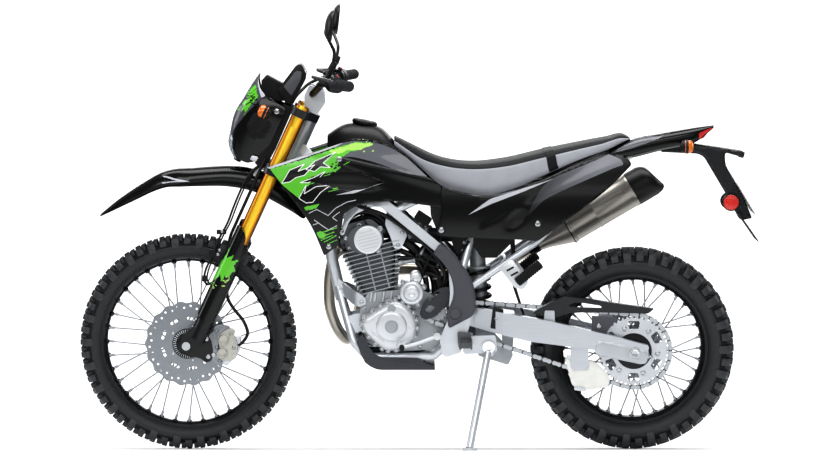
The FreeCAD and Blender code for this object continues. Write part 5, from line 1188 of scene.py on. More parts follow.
def cowl_sheet():
    """A flat sheet of (150 s, height) with its painted areas, wrapped on the cowl's skin, with sunk
    hexagons."""
    lower = [(0, 1012), (14, 1008), (34, 1000), (48, 994), (58, 985), (68, 948), (78, 932),
             (112, 934), (134, 950), (150, 985)]
    upper = [(150, 1142), (120, 1146), (100, 1150), (80, 1160), (52, 1188), (30, 1200), (0, 1202)]
    half = [(x, z, 8.0) for x, z in lower + upper]
    edge = outline(half + [(-x, z, r) for x, z, r in half[-2:0:-1]], 6.0)
    nose = outline([(s * k, z, 3) for k, s, z in [(1, 0, 1000), (1, 50, 984), (1, 74, 1050),
        (1, 88, 1110), (1, 96, 1156), (1, 50, 1196), (1, 0, 1210), (-1, 50, 1196), (-1, 96, 1156),
        (-1, 88, 1110), (-1, 74, 1050), (-1, 50, 984)]], 5.0)
    areas = [(nose, SILVER)]
    for side in (-1, 1):
        splash = ragged(outline([(54, 1160, 4), (62, 1164, 4), (74, 1150, 4), (84, 1136, 4),
                                 (80, 1108, 4), (77, 1066, 3), (70, 1084, 3), (63, 1072, 3),
                                 (64, 1096, 3), (52, 1092, 3), (58, 1118, 3), (48, 1128, 3)], 4.0),
                        2.4, 31)
        areas.append((outline([(58, 1180, 2), (66, 1184, 2), (99, 1148, 2), (93, 1138, 2)], 4.0)
                      * (side, 1), LIGHT))
        areas.append((splash * (side, 1), GREEN))
        areas += [(loop * (side, 1), BLACK) for loop in drops((69, 1124), 9, (1.2, 3.2), 16, 33)]
        areas += [(ragged(stripe(np.array([(x0, z0), ((x0 + x1) / 2 + 1, (z0 + z1) / 2), (x1, z1)]),
                                 2.2), 0.8, k) * (side, 1), BLACK)
                  for k, (x0, z0, x1, z1) in enumerate([(58, 1110, 72, 1140), (66, 1096, 76, 1122),
                      (60, 1134, 68, 1154)])]
        areas += [(loop * (side, 1), GREEN) for loop in drops((48, 1080), 7, (1.0, 2.6), 10, 34)]
        hexagon = outline([(96, 1084, 3), (120, 1098, 3), (138, 1074, 3), (134, 1026, 3),
                           (110, 1012, 3), (92, 1040, 3)], 4.0)
        areas.append((hexagon * (side, 1), SATIN))
    flat, faces, numbers = panel(edge, lambda x, z: x * 0, [], areas, 7.0)
    s, w = flat[:, 0] / 150, flat[:, 2]
    middle = np.stack([np.abs(flat[:, 0]), w], -1)
    deep = 3.5 * inside(middle, outline([(99, 1086, 3), (120, 1098, 3), (132, 1076, 3),
        (128, 1034, 3), (111, 1021, 3), (96, 1046, 3)]))
    step = 3.0 / (1 + np.exp((np.abs(flat[:, 0]) - 72) / 3.0))
    return cowl_place(s, w, -deep + step), faces, numbers


def extruded(loop, low, high, number=0):
    """A closed (x, z) loop carried straight from one y to the other, with both ends closed."""
    n = len(loop)
    ends = np.stack([np.stack([loop[:, 0], np.full(n, y), loop[:, 1]], -1)
                     for y in sorted((low, high))])
    points, quads = skin(ends, round_v=True)
    return [(points, quads, number), (points, np.stack([np.arange(n)[::-1], np.arange(n) + n]),
                                      number)]


cowl_finishes = [black_abs, moulded("grey_cowl_lacquer", "#46484D", 0.3, 0.3, 300.0),
                 *PANEL_FINISHES[2:]]
piece("headlight_cowl", [cowl_sheet()], cowl_finishes, "steering", ("headlight_cowl",),
      place=forked, wall=2.8, edge=0.7, crease=40)

# A black core shows through the lens's edge; behind it stand the lamp's arms, wires and stays.
core_edge = outline([(-206, 1046, 4), (-190, 1010, 4), (-150, 975, 6), (-80, 975, 6),
                     (-80, 1130, 6), (-150, 1140, 6), (-188, 1150, 6)], 12.0)
core = extruded(core_edge + (14, 0), -40, 40)
stays = extruded(outline([(-184, 1186, 6), (-132, 1197, 6), (-98, 1192, 6), (-82, 1160, 6),
                          (-108, 1148, 6), (-160, 1143, 6)], 9.0), -34, 34)
for side in (-1, 1):
    stays += tube([(-84, side * 38, 1146), (-60, side * 44, 1146), (-52, side * 60, 1146)], 6.0)
    stays += tube([(-96, side * 24, 951), (-70, side * 24, 952), (-54, side * 24, 952)], 6.0)
    arm = outline([(-96, 944, 6), (-60, 944, 6), (-56, 1000, 8), (-58, 1120, 8), (-62, 1150, 6),
                   (-92, 1150, 6), (-84, 1100, 8), (-84, 1000, 8)], 9.0)
    stays += extruded(arm, side * 70, side * 66)
for side, spot in ((-1, 40), (-1, 52), (1, 46)):
    stays += tube([(-60, side * spot, 1150), (-64, side * (spot + 12), 1080),
                   (-66, side * (spot + 8), 1000), (-60, side * spot, 940)], 4.5, 10)
piece("headlight_frame", core + stays, [satin_black], "steering", slot="headlight_cowl",
      place=forked)
cowl_screws = []
for side in (-1, 1):
    spot = cowl_place(np.array(side * 0.9), np.array(1120.0), 0.0)
    cowl_screws += bolts([tuple(spot)], (0, side, 0), 8.5, 4.0)
piece("cowl_screws", cowl_screws, [bright_steel], "steering", slot="axle_bolts", place=forked,
      crease=38)

# Clear polycarbonate: glossy, lets most light through; its faint flutes bend what's behind it.
clear_lens, tree, place = new_finish("clear_polycarbonate")
flutes = add(tree, "TexNoise", {"Vector": place}, Scale=60.0, Detail=1.0)
relief = add(tree, "Bump", {"Height": flutes}, Strength=0.1, Distance=0.0005)
shader = add(tree, "BsdfPrincipled", {"Normal": relief}, Base_Color=(0.9, 0.95, 1.0, 1),
             Roughness=0.04, Transmission_Weight=0.85, IOR=1.3)
add(tree, "OutputMaterial", {"Surface": shader})

# Vapour-plated reflector: bright, a little soft, tone shifting slowly over the bowl.
reflector, tree, place = new_finish("plated_reflector")
cloud = add(tree, "TexNoise", {"Vector": place}, Scale=30.0, Detail=2.0)
rough = add(tree, "MapRange", {"Value": cloud}, To_Min=0.12, To_Max=0.25)
shader = add(tree, "BsdfPrincipled", {"Roughness": rough}, Base_Color=linear("#D5DADF"),
             Metallic=0.9)
add(tree, "OutputMaterial", {"Surface": shader})


amber_lens = coloured_lens("amber_lens", "#C24A06", "#F08A1C")
lens_front = [(927, -160), (945, -182), (962, -196), (1000, -207), (1026, -211), (1056, -203)]
lens_half = [(927, 26), (945, 38), (975, 44), (1026, 44), (1046, 42), (1056, 37)]
w, c = np.meshgrid(np.linspace(927, 1056, 26), np.linspace(-1, 1, 25), indexing="ij")


def lens_grid(back):
    """A grid over the lamp's front: bowed across, and set back from the lens's face."""
    return np.stack([eased(w, lens_front) + back + (1 + 18 * np.abs(c) ** 3),
                     c * eased(w, lens_half), w], -1)


bowl = np.stack([eased(w, lens_front) + 8 + 34 * (1 - c ** 2)
                 * np.sin((w - 927) / 129 * math.pi) ** 0.7 + 18 * np.abs(c) ** 3,
                 c * (eased(w, lens_half) - 2), w], -1)
bulb = turned([(0, 0), (0, 9), (14, 12), (26, 9), (30, 0)], (-196, 0, 985), (1, 0, 0.1), 24)
lamp_place = dict(place=forked, crease=50)
piece("headlamp_bowl", [skin(bowl), bulb], [reflector], "steering", slot="front_lamps",
      **lamp_place)
piece("headlamp_lens", [skin(lens_grid(0))], [clear_lens], "steering", ("front_lamps",), wall=2.0,
      **lamp_place)
face = lens_grid(0.5)
rim_path = np.concatenate([face[:, 0], face[-1, 1:-1], face[::-1, -1], face[0, -2::-1]])
piece("headlamp_rim", tube(rim_path, 3.0, 8, False), [satin_black], "steering", slot="front_lamps",
      **lamp_place)


def winker(places, ahead, stalks, place, body, name, slot):
    """Turn signals: a black bowl turned about x with an amber dome towards one end, on a rubber
    stalk."""
    bowls, domes = [], []
    for at in places:
        bowls.append(turned([(20, 0), (19, 8), (12, 17), (2, 20.8), (-4, 21), (-5, 20.2)], at,
                            (-ahead, 0, 0), 40))
        domes.append(turned([(4, 20.4), (4, 20.2), (12, 19.6), (18, 16), (21, 9), (21.6, 0)], at,
                            (ahead, 0, 0), 40))
        domes.append(turned([(-5, 20.2), (4, 20.4)], at, (ahead, 0, 0), 40))
    for path in stalks:
        bowls += tube(path, 7.0, 16)
        start, end = np.array(path[0]), np.array(path[-1])
        for k in range(4):
            bowls.append(turned([(-2, 6.9), (-1, 8.4), (1, 8.4), (2, 6.9)],
                                start + (end - start) * (0.45 + 0.1 * k), end - start, 20))
    piece(name + "_bodies", bowls, [satin_black], body, slot=slot, place=place)
    return piece(name + "_lenses", domes, [amber_lens], body, slot=slot, place=place, crease=40)


winker([(-129, side * 168, 1108) for side in (-1, 1)], -1,
       [[(-128, side * y, 1108) for y in (72, 110, 152)] for side in (-1, 1)], forked, "steering",
       "front_signal", "front_lamps")


# Meter and its stay. A moulded instrument housing behind the cowl with a tinted window facing the
# rider.


meter_side = outline([(-124, 1180, 8), (-104, 1272, 10), (-90, 1282, 8), (-68, 1264, 8),
                      (-60, 1240, 8), (-66, 1156, 5), (-84, 1152, 4)], 9.0)
meter_parts = extruded(meter_side, -60, 60)
cheek = outline([(-112, 1196, 6), (-98, 1256, 8), (-80, 1262, 6), (-72, 1236, 8), (-78, 1180, 5)],
                9.0)
for side in (-1, 1):
    meter_parts += extruded(cheek, side * 59.5, side * 61.6, 1)
meter_parts += extruded(outline([(-182, 1183, 4), (-175, 1206, 5), (-112, 1202, 5),
                                 (-112, 1183, 3)], 9.0), -33, 33)
piece("meter", meter_parts, [satin_black, moulded("grey_meter_trim", "#54565A", 0.4, 0.1, 400.0)],
      "steering", ("meter",), edge=2.0, place=forked)

# Tinted window: dark and very glossy, with the faint cloud of an unlit liquid-crystal display
# below.
tinted_window, tree, place = new_finish("tinted_window")
cloud = add(tree, "TexNoise", {"Vector": place}, Scale=25.0, Detail=1.0)
tone = add(tree, "Mix", {"Factor": cloud}, data_type="RGBA", A=linear("#15191B"),
           B=linear("#39423F"))
shader = add(tree, "BsdfPrincipled", {"Base_Color": tone}, Roughness=0.05, Coat_Weight=0.6)
add(tree, "OutputMaterial", {"Surface": shader})
window = np.array([(-84.5, 1275.0), (-83.5, 1276.5), (-65.5, 1262), (-66.5, 1260.5)])
screen = extruded(window, -46, 46)
piece("meter_screen", screen, [tinted_window], "steering", slot="meter", edge=0.4, place=forked,
      crease=38)


# Handlebar and controls. A black steel bar; grips of ribbed rubber; clamped switch and lever
# housings.

refinish(["handlebar", "hand_controls"], black_steel)
refinish(["levers"], moulded("dark_levers", "#3A3C40", 0.3, 0.2, 500.0))

# The bar's right end on the fork, and the way in which the grip slopes out to it.
BAR_END, GRIP_SLOPE = np.array([71.0, 410.0, 1299.0]), np.array([78, 260, 40])


def bar_point(side, distance, over=0.0, above=0.0):
    """A place along the grip's slope, measured inwards from the bar's end."""
    p = BAR_END - GRIP_SLOPE / np.linalg.norm(GRIP_SLOPE) * distance
    return np.array([p[0] + over, side * p[1], p[2] + above])


grip_line = [(-4, 0), (-4, 9), (-3.5, 13), (-1, 15.6), (2, 16.3)]
for k in range(26):
    grip_line += [(4 + 4.2 * k, 16.4), (5 + 4.2 * k, 15.4), (7.0 + 4.2 * k, 15.4),
                  (7.8 + 4.2 * k, 16.4)]
grip_line += [(116, 16.5), (118, 24.0), (121, 24.5), (124, 23.0), (124, 11.6)]
grip_parts, housing_parts, red_parts = [], [], []
for side in (-1, 1):
    start, inwards = bar_point(side, 0), bar_point(side, 100) - bar_point(side, 0)
    grip_parts.append(turned(grip_line, start, inwards, 40))
    for at in (146, 150):
        housing_parts.append(turned([(at - 148, 23.6), (at - 148, 24.6), (at - 147.0, 24.6),
                                     (at - 147.0, 23.6)], bar_point(side, 148), inwards, 40))
    housing_parts += tube([bar_point(side, 152, -6, 20), bar_point(side, 152, -2, 27)], 9.0, 20)
    red_parts.append(turned([(0, 5.4), (3, 5.2), (4, 3.5), (4.2, 0)], bar_point(side, 152, -2, 27),
                            (0.5, 0, 1), 24))
piece("grips", grip_parts, [moulded("grey_grip_rubber", "#2A2B2E", 0.6, 0.0, 700.0)], "steering",
      ("grips",), crease=28, place=forked)
piece("switch_trims", housing_parts, [satin_black], "steering", slot="hand_controls", place=forked)
piece("switch_buttons", red_parts, [coloured_lens("red_button", "#A5120E", "#C8221B")], "steering",
      slot="hand_controls", place=forked)


# Mirrors. Long moulded heads with glass facing back, on bent rods that stand in rubber boots.

# Front-silvered glass: nearly perfect mirror with a faint cool cast and slow waviness.
mirror_glass, tree, place = new_finish("mirror_glass")
cloud = add(tree, "TexNoise", {"Vector": place}, Scale=8.0, Detail=1.0)
rough = add(tree, "MapRange", {"Value": cloud}, To_Min=0.02, To_Max=0.06)
shader = add(tree, "BsdfPrincipled", {"Roughness": rough}, Base_Color=linear("#DCE3E8"),
             Metallic=1.0)
add(tree, "OutputMaterial", {"Surface": shader})


def routed(knots, bend, steps=6):
    """A 3-D line through knots whose corners are rounded by parabolas that start bend before
    them."""
    k = np.asarray(knots, float)
    line = [k[0]]
    for a, b, c in zip(k[:-2], k[1:-1], k[2:]):
        before, after = a - b, c - b
        cut = min(bend, 0.45 * np.linalg.norm(before), 0.45 * np.linalg.norm(after))
        before, after = before / np.linalg.norm(before) * cut, after / np.linalg.norm(after) * cut
        t = np.linspace(0, 1, steps)[:, None]
        line += list((1 - t) ** 2 * (b + before) + 2 * t * (1 - t) * b + t ** 2 * (b + after))
    return np.array(line + [k[-1]])


def mirror_head(side):
    """Rings that grow from the back of the shell to its rim; each is a rounded lozenge pulled up at
    its outer end."""
    tilt = RAKE - math.radians(6)
    around, half_width, half_height = 72, 69, 49
    angle = np.linspace(0, TURN, around, endpoint=False)
    c, s = np.cos(angle), np.sin(angle)
    rings = []
    for depth, size in ((0, 0.0), (0.4, 0.2), (2.5, 0.45), (7, 0.72), (13, 0.9), (19, 0.985),
                        (23, 1.0), (24, 0.97), (23.2, 0.94), (22.6, 0.93)):
        y = half_width * size * np.sign(c) * np.abs(c) ** 0.8
        z = half_height * size * np.sign(s) * np.abs(s) ** 0.8
        rings.append(np.stack([np.full(around, float(depth)), y, z], -1))
    rings = np.array(rings)
    glass = np.array([rings[-1] * (1, k, k) + (-0.4, 0, 0) for k in (1.0, 0.5, 0.0)])

    def stand(p):
        """The head turned by its tilt and set on the end of its rod."""
        x = p[..., 0] * math.cos(tilt) - p[..., 2] * math.sin(tilt)
        z = p[..., 0] * math.sin(tilt) + p[..., 2] * math.cos(tilt)
        return np.stack([x - 70, p[..., 1] + side * 372, z + 1432], -1)

    shell, quads = skin(stand(rings), round_v=True)
    pane, cells = skin(stand(glass), round_v=True)
    return [(shell, quads, 0), (pane, cells, 1)]


mirror_parts = []
for side in (-1, 1):
    foot = bar_point(side, 184, -18, 40.3)
    mirror_parts += mirror_head(side)
    mirror_parts += [(*part, 2) for part in tube(routed([foot + (0, 0, 6), (-10, side * 240, 1366),
        (-60, side * 330, 1410), (-62, side * 360, 1424)], 26), 5.0, 14)]
    mirror_parts.append((*turned([(0, 0), (0, 10.6), (3, 11), (22, 9.5), (26, 8), (26, 5)], foot,
                                 (0, 0, 1), 32), 3))
piece("mirrors", mirror_parts, [satin_black, mirror_glass, black_steel, rubber], "steering",
      ("mirrors",), crease=40, place=forked)


# Front brake. A cast two-piston caliper behind the left leg, and the hose that climbs from it
# inside the guard, over the clamps to the master cylinder on the right.

# The front axle on the fork.
AXLE_U, AXLE_W = from_picture(FRONT_AXLE[0], FRONT_AXLE[2])


def cast(name, dark, light, roughness, pits, metal=0.75):
    """Cast and tumbled aluminium: fine pits and a slow change of tone."""
    made, tree, place = new_finish(name)
    sand = add(tree, "TexNoise", {"Vector": place}, Scale=pits, Detail=5.0, Roughness=0.7)
    cloud = add(tree, "TexNoise", {"Vector": place}, Scale=9.0, Detail=3.0)
    tone = add(tree, "Mix", {"Factor": cloud}, data_type="RGBA", A=linear(dark), B=linear(light))
    rough = add(tree, "MapRange", {"Value": sand}, To_Min=roughness - 0.08, To_Max=roughness + 0.1)
    relief = add(tree, "Bump", {"Height": sand}, Strength=0.2, Distance=0.0004)
    shader = add(tree, "BsdfPrincipled", {"Base_Color": tone, "Roughness": rough, "Normal": relief},
                 Metallic=metal)
    add(tree, "OutputMaterial", {"Surface": shader})
    return made


def by_axle(corners):
    """An outline whose corners are measured from the front axle."""
    return outline([(AXLE_U + u, AXLE_W + w, r) for u, w, r in corners], 7.0)


caliper_parts = extruded(by_axle([(92, 8, 8), (138, -12, 10), (158, 40, 20), (142, 92, 14),
                                  (96, 76, 10)]), -91, -66)
caliper_parts += extruded(by_axle([(96, 12, 8), (134, -6, 10), (150, 40, 20), (138, 86, 12),
                                   (100, 72, 10)]), -48, -33)
caliper_parts += extruded(by_axle([(118, -8, 6), (138, -12, 6), (158, 40, 16), (142, 92, 12),
                                   (126, 86, 6), (140, 40, 16)]), -70, -40)
for u, w in ((116, 20), (116, 58)):
    caliper_parts.append(turned([(0, 17), (10, 17), (12, 15.5), (12, 12.5), (9, 12), (9, 0)],
                                (AXLE_U + u, -90, AXLE_W + w), (0, -1, 0), 36))
caliper_parts += [turned([(0, 6.5), (6, 6.5), (7, 5.5), (7, 3.4), (4, 3.2), (4, 0)],
                         (AXLE_U + u, -100.5, AXLE_W + w), (0, -1, 0), 20)
                  for u, w in ((84, 66), (88, 8))]
bracket = extruded(outline([(LEG_U + 10, AXLE_W + 76, 10), (AXLE_U + 100, AXLE_W + 92, 10),
                            (AXLE_U + 118, AXLE_W + 60, 10), (AXLE_U + 104, AXLE_W - 2, 10),
                            (AXLE_U + 66, AXLE_W - 8, 10), (LEG_U + 10, AXLE_W + 22, 10)], 7.0),
                   -98, -92)
plate_front = outline([(66, 340, 8), (70, 372, 5), (84, 382, 5), (86, 398, 6), (105, 404, 8),
                       (132, 400, 6), (140, 380, 6), (110, 372, 8), (98, 353, 8), (96, 330, 8),
                       (104, 296, 6), (113, 286, 4), (100, 276, 6), (77, 294, 6), (69, 316, 6)],
                      6.0)
support = extruded(plate_front, -104.4, -101)
support += bolts([(93, -104.2, 332), (93, -104.2, 384), (102, -104.2, 290)], (0, -1, 0), 6.5, 4.0)
piece("caliper_support", support, [ground_stainless], "steering", slot="front_brake", edge=0.6)

# A black lug on the leg's foot holds the support by two large screws.
lug_edge = outline([(-2, 374, 8), (56, 380, 8), (76, 356, 8), (82, 322, 8), (78, 292, 8),
                    (62, 284, 10), (40, 300, 10), (0, 304, 10)], 7.0)
piece("slider_lug", extruded(lug_edge, -106, -94), [black_steel], "steering", slot="fork_sliders",
      edge=1.0)
piece("lug_screws", bolts([(20, -106, 366), (62, -106, 359), (67, -106, 304)], (0, -1, 0), 7.5,
                          4.5), [bright_steel], "steering", slot="axle_bolts")

# The caliper's outer half is cast in a warmer alloy, with a round boss over each piston and a pad
# pin beside them.
body_front = outline([(103, 374, 8), (118, 386, 8), (140, 393, 8), (150, 386, 6), (147, 368, 6),
                      (156, 350, 6), (158, 322, 8), (152, 298, 8), (132, 290, 10), (108, 292, 14),
                      (97, 306, 12), (104, 332, 8), (97, 350, 10)], 6.0)
outer_half = extruded(body_front, -111, -96)
outer_half += [turned([(0, 17), (3, 17), (5, 15.5), (5, 12.5), (3.4, 12), (3.4, 0)], (x, -111, z),
                      (0, -1, 0), 36) for x, z in ((115, 355), (110, 314))]
outer_half += bolts([(146, -111, 332), (138, -111, 374)], (0, -1, 0), 6.0, 4.0)
piece("front_caliper_body", outer_half,
      [cast("warm_cast_caliper", "#9B9B94", "#B9B9B1", 0.36, 900.0)], "steering",
      slot="front_brake", edge=1.6)
piece("front_caliper", caliper_parts + bracket, [cast_aluminium], "steering", ("front_brake",),
      edge=1.2, place=forked)
hose_line = routed([(84, -88, 402), (100, -88, 424), (106, -86, 458), (76, -80, 488),
                    (30, -72, 508), (-2, -66, 530), (-71, -60, 700), (-71, -86, 800),
                    (-71, -84, 960), (-69, 60, 1080), (-69, 84, 1170), (-48, 150, 1226),
                    bar_point(1, 224, -17, -2), bar_point(1, 196.3, -15.5, 0)], 24)
ends = [turned([(0, 0), (0, 7), (4, 7.5), (12, 6.8), (13, 5.1)], hose_line[k],
               hose_line[j] - hose_line[k], 20) for k, j in ((0, 1), (-1, -2))]
piece("front_brake_hose", tube(hose_line, 5.0, 12), [rubber], "steering", slot="front_brake",
      crease=40, place=forked)

# The wheel-speed wire runs down in front of the left leg, held by two clips on the guard, and turns
# in to its sensor.
wire = routed([(224, -66, 892), (204, -78, 878), (180, -88, 844), (150, -91, 776), (128, -96, 715),
               (104, -104, 674), (78, -106, 610), (60, -104, 574), (54, -102, 542), (64, -100, 524),
               (88, -96, 538)], 30)
wires = tube(wire, 3.4, 10) + tube(wire[::2] + (9, 2, 2), 2.6, 8)
for x, z, w, h in ((110, 690, 15, 7), (82, 624, 10, 12), (58, 546, 8, 9)):
    clip = outline([(x - w, z - h, 3), (x + w, z - h, 3), (x + w, z + h, 3), (x - w, z + h, 3)],
                   6.0)
    wires += extruded(clip, -110, -98)
piece("speed_sensor_wire", wires, [satin_black], "steering", slot="front_brake", crease=40)

# A pressed bracket on the lower clamp's front carries the hose and wire past the fender.
bracket_edge = outline([(-114, 950, 3), (-112, 964, 4), (-96, 967, 4), (-76, 956, 4), (-56, 956, 3),
                        (-56, 938, 3), (-70, 934, 4), (-70, 914, 5), (-80, 906, 5), (-90, 914, 5),
                        (-84, 940, 5), (-98, 948, 4)], 6.0)
piece("hose_bracket", extruded(bracket_edge, -68, -64), [cast_aluminium], "steering",
      slot="fork_clamps", edge=0.6, place=forked)
piece("clip_screws", bolts([(104, -110, 634), (99, -110, 621), (112, -110, 692)], (0, -1, 0), 4.5,
                           2.5), [bright_steel], "steering", slot="axle_bolts")
piece("hose_ends", ends, [bright_steel], "steering", slot="front_brake", place=forked)


# Engine. A cast air-cooled single: crankcase, finned cylinder leaning forward, head with a round
# cam cap, and polished cast lids held by small flanged bolts.


def on_cylinder(points):
    """Upright millimetres of points beside the cylinder, whose axis leans 14 degrees forward from
    its foot."""
    p, lean = np.asarray(points, float), math.radians(14)
    return np.stack([592 + p[..., 0] * math.cos(lean) - p[..., 2] * math.sin(lean), p[..., 1],
                     490 + p[..., 0] * math.sin(lean) + p[..., 2] * math.cos(lean)], -1)


case_cast = cast("sand_cast_case", "#8E9296", "#B0B4B8", 0.46, 500.0)
fin_cast = cast("cast_fins", "#A2A6AA", "#C4C8CC", 0.4, 600.0)
lid_cast = cast("polished_cast_lid", "#BEC1C5", "#D8DADD", 0.32, 900.0, 0.55)
cap_cast = cast("pale_cast_cap", "#D4D6D9", "#E6E7E9", 0.38, 900.0, 0.35)
# Dark cast metal, which on the barrel between the fins is painted shade.
dark_cast_and_painted_shade = cast("dark_cast_head_and_painted_shade", "#4B4D50", "#6A6D70", 0.46, 500.0)


def hex_bolts(places, axis, radius):
    """Flanged hexagon bolts: a thin round washer face under a six-sided head with a dished top."""
    parts = []
    for at in places:
        parts.append(turned([(0, radius * 1.3), (1.2, radius * 1.3), (2.0, radius)], at, axis, 20))
        parts.append(turned([(1.4, radius), (radius * 0.9, radius), (radius * 1.05, radius * 0.85),
                             (radius * 0.95, radius * 0.5), (radius * 0.95, 0)], at, axis, 6))
    return parts


def dome(edge, side, base, rise, soft, skirt, lattice=6.0):
    """A cast lid seen from the side: flat within, rounded down to its edge over a width, then a
    straight skirt."""
    def depth(x, z):
        """The base, raised by a quarter circle over the soft width from the edge."""
        at = np.stack([x, z], -1)
        near = np.min(np.linalg.norm(at[:, None] - edge[None], axis=2), axis=1)
        s = np.clip(near / soft, 0, 1)
        return side * (base + rise * np.sqrt(1 - (1 - s) ** 2))
    points, faces, _ = panel(edge, depth, lattice=lattice)
    n = len(edge)
    ring = np.stack([np.stack([edge[:, 0], np.full(n, side * y), edge[:, 1]], -1)
                     for y in (base, base - skirt)])
    wall, quads = skin(ring, round_v=True)
    return [(points, faces), (wall, quads)]


def rounded_box(front, back, half, corner):
    """A rectangle with round corners, that far before and behind the cylinder's axis."""
    return outline([(-front, -half, corner), (back, -half, corner), (back, half, corner),
                    (-front, half, corner)], 12.0)


fins = [turned([(8, 0), (8, 50), (152, 50), (152, 0)], (0, 0, 0), (0, 0, 1), 48)]
for k in range(11):
    loop = rounded_box(60 + 2.4 * k, 66 + 4.6 * k, 70, 22)
    centre = loop.mean(0)
    rings = []
    for rise, inset in ((0, 30), (0.2, 1.6), (0.8, 0.2), (1.6, 0), (2.4, 0.2), (3.0, 1.6),
                        (3.2, 30)):
        away = loop - centre
        p = centre + away * (1 - inset / np.linalg.norm(away, axis=1)[:, None])
        rings.append(np.column_stack([p, np.full(len(p), 14 + 13.5 * k + rise)]))
    fins.append(skin(rings, round_v=True))
for k in (1, 3):
    x0 = -28 + 22 * k
    web = outline([(x0 - 2, 12, 1), (x0 + 2, 12, 1), (x0 + 2, 150, 1), (x0 - 2, 150, 1)], 20.0)
    fins += extruded(web, -59, 59)

# The barrel between the fins widens from its foot to its head; its dark finish is painted shade
# between the fins.
barrel = []
for k, z in ((0, 14), (10, 152)):
    ring = rounded_box(46 + 2.4 * k, 50 + 4.6 * k, 56, 18)
    barrel.append(np.column_stack([ring, np.full(len(ring), z)]))
shared = min(len(ring) for ring in barrel)
barrel = [ring[np.linspace(0, len(ring) - 1, shared).astype(int)] for ring in barrel]
fins.append((*skin(barrel, round_v=True), 1))
piece("cylinder", fins, [fin_cast, dark_cast_and_painted_shade], "chassis", ("cylinder",),
      place=lambda p: parked(on_cylinder(p)))

refinish(["crankcase"], case_cast)
refinish(["cylinder_head"], dark_cast_and_painted_shade)

# The cam cap: its middle on the cylinder, and the angles of its four screw ears.
CAP, CAP_EARS = (10, -76, 175.5), (0.5, 1.9, 3.6, 5.2)
cap = [turned([(-18, 43.9), (-2, 43.9), (0.5, 43), (2.2, 40.5), (2.2, 36.5), (0.8, 35), (0.8, 0)],
              CAP, (0, -1, 0), 72)]
# Six ribs across the cap's face take the darker lid finish, as painted shade that makes them show.
for rise in (-25, -15, -5, 5, 15, 25):
    half, z = math.sqrt(34 ** 2 - rise ** 2) - 2, CAP[2] + rise
    bar = outline([(CAP[0] - half, z - 1.5, 1), (CAP[0] + half, z - 1.5, 1),
                   (CAP[0] + half, z + 1.5, 1), (CAP[0] - half, z + 1.5, 1)], 20.0)
    cap += extruded(bar, -78.4, -76.0, 1)
for angle in CAP_EARS:
    x, z = CAP[0] + 50 * math.cos(angle), CAP[2] + 50 * math.sin(angle)
    cap.append(turned([(-6, 8), (2, 8), (3.5, 7), (4, 5), (4, 0)], (x, -60, z), (0, -1, 0), 24))
head_place = dict(place=lambda p: parked(on_cylinder(p)))
piece("cam_cap", cap, [cap_cast, lid_cast], "chassis", slot="cylinder_head", **head_place)
head_bits = hex_bolts([(x, -59, z) for x, z in ((-50, 164), (46, 160), (50, 196), (-54, 196))],
                      (0, -1, 0), 5.5)
head_bits += hex_bolts([(CAP[0] + 50 * math.cos(a), -64, CAP[2] + 50 * math.sin(a))
                        for a in CAP_EARS], (0, -1, 0), 4.5)
piece("head_bolts", head_bits, [bright_steel], "chassis", slot="cylinder_head", **head_place)
plug = [turned([(0, 9), (10, 9), (11, 7), (24, 7), (26, 10), (50, 9), (54, 6), (55, 0)],
               (-62, -14, 176), (-0.7, -0.5, 0.5), 24)]
covers = [turned([(0, 19), (9, 19), (12, 17), (13, 13), (11, 9), (11, 0)], (x, y, z), axis, 32)
          for x, y, z, axis in ((-63, -20, 190, (-1, 0, 0.15)), (58, -20, 190, (1, 0, 0.1)))]
lead = tube(routed([(-98, -40, 202), (-106, -46, 214), (-92, -44, 246), (-40, -36, 262),
                    (40, -34, 262)], 24), 3.6, 10)
piece("spark_plug_lead", plug + lead, [rubber], "chassis", slot="cylinder_head", **head_place)
piece("tappet_caps", covers, [dark_cast_and_painted_shade], "chassis", slot="cylinder_head", **head_place)

flywheel_edge = outline([(537, 418, 14), (570, 443, 10), (604, 462, 12), (634, 480, 24),
                         (664, 474, 14), (688, 456, 14), (708, 428, 20), (712, 398, 20),
                         (706, 364, 20), (682, 341, 20), (654, 325, 24), (620, 321, 20),
                         (600, 330, 14), (570, 356, 20), (545, 384, 20)], 5.0, 8)
flywheel = dome(flywheel_edge, -1, 108, 17, 22, 42)
flywheel += [turned([(-4, 49), (1, 48), (4, 45), (6.2, 40), (7.0, 34), (7.2, 0)],
                    (632, -124.6, 400), (0, -1, 0), 72)]
for x, z, size, face in ((632, 400, 20.5, -131.4), (632, 456, 12.5, -125.0)):
    flywheel.append((*turned([(-3, size), (1.5, size), (2.6, size - 1), (2.6, size - 4),
                              (1.4, size - 5), (1.4, 0)], (x, face, z), (0, -1, 0), 40), 1))
flywheel += tube([(648, -124.5, 338), (652, -125, 362), (668, -125, 384), (694, -124, 398)], 2.4,
                 10)
flywheel += tube([(560, -122, 404), (575, -125, 378), (604, -125, 356), (640, -124, 350)], 2.2, 10)
starter = [turned([(-68, 37), (-6, 37), (-2, 35.5), (0, 32), (0.4, 27), (-1.2, 25), (3.5, 21.5),
                   (5.4, 19), (5.8, 9), (4.2, 7), (4.2, 0)], (694, -118, 502), (0, -1, 0), 64),
           turned([(-54, 18), (-3, 18), (0, 15), (0.8, 10), (-0.8, 8), (-0.8, 0)], (706, -104, 548),
                  (0, -1, 0), 40)]
starter += [turned([(0, 0), (0, 5), (height, 4.5), (height, 0)], (x, -68, 470), (0.14, 0, 1), 16)
            for x, height in ((566, 30), (579, 28), (604, 32), (628, 34))]

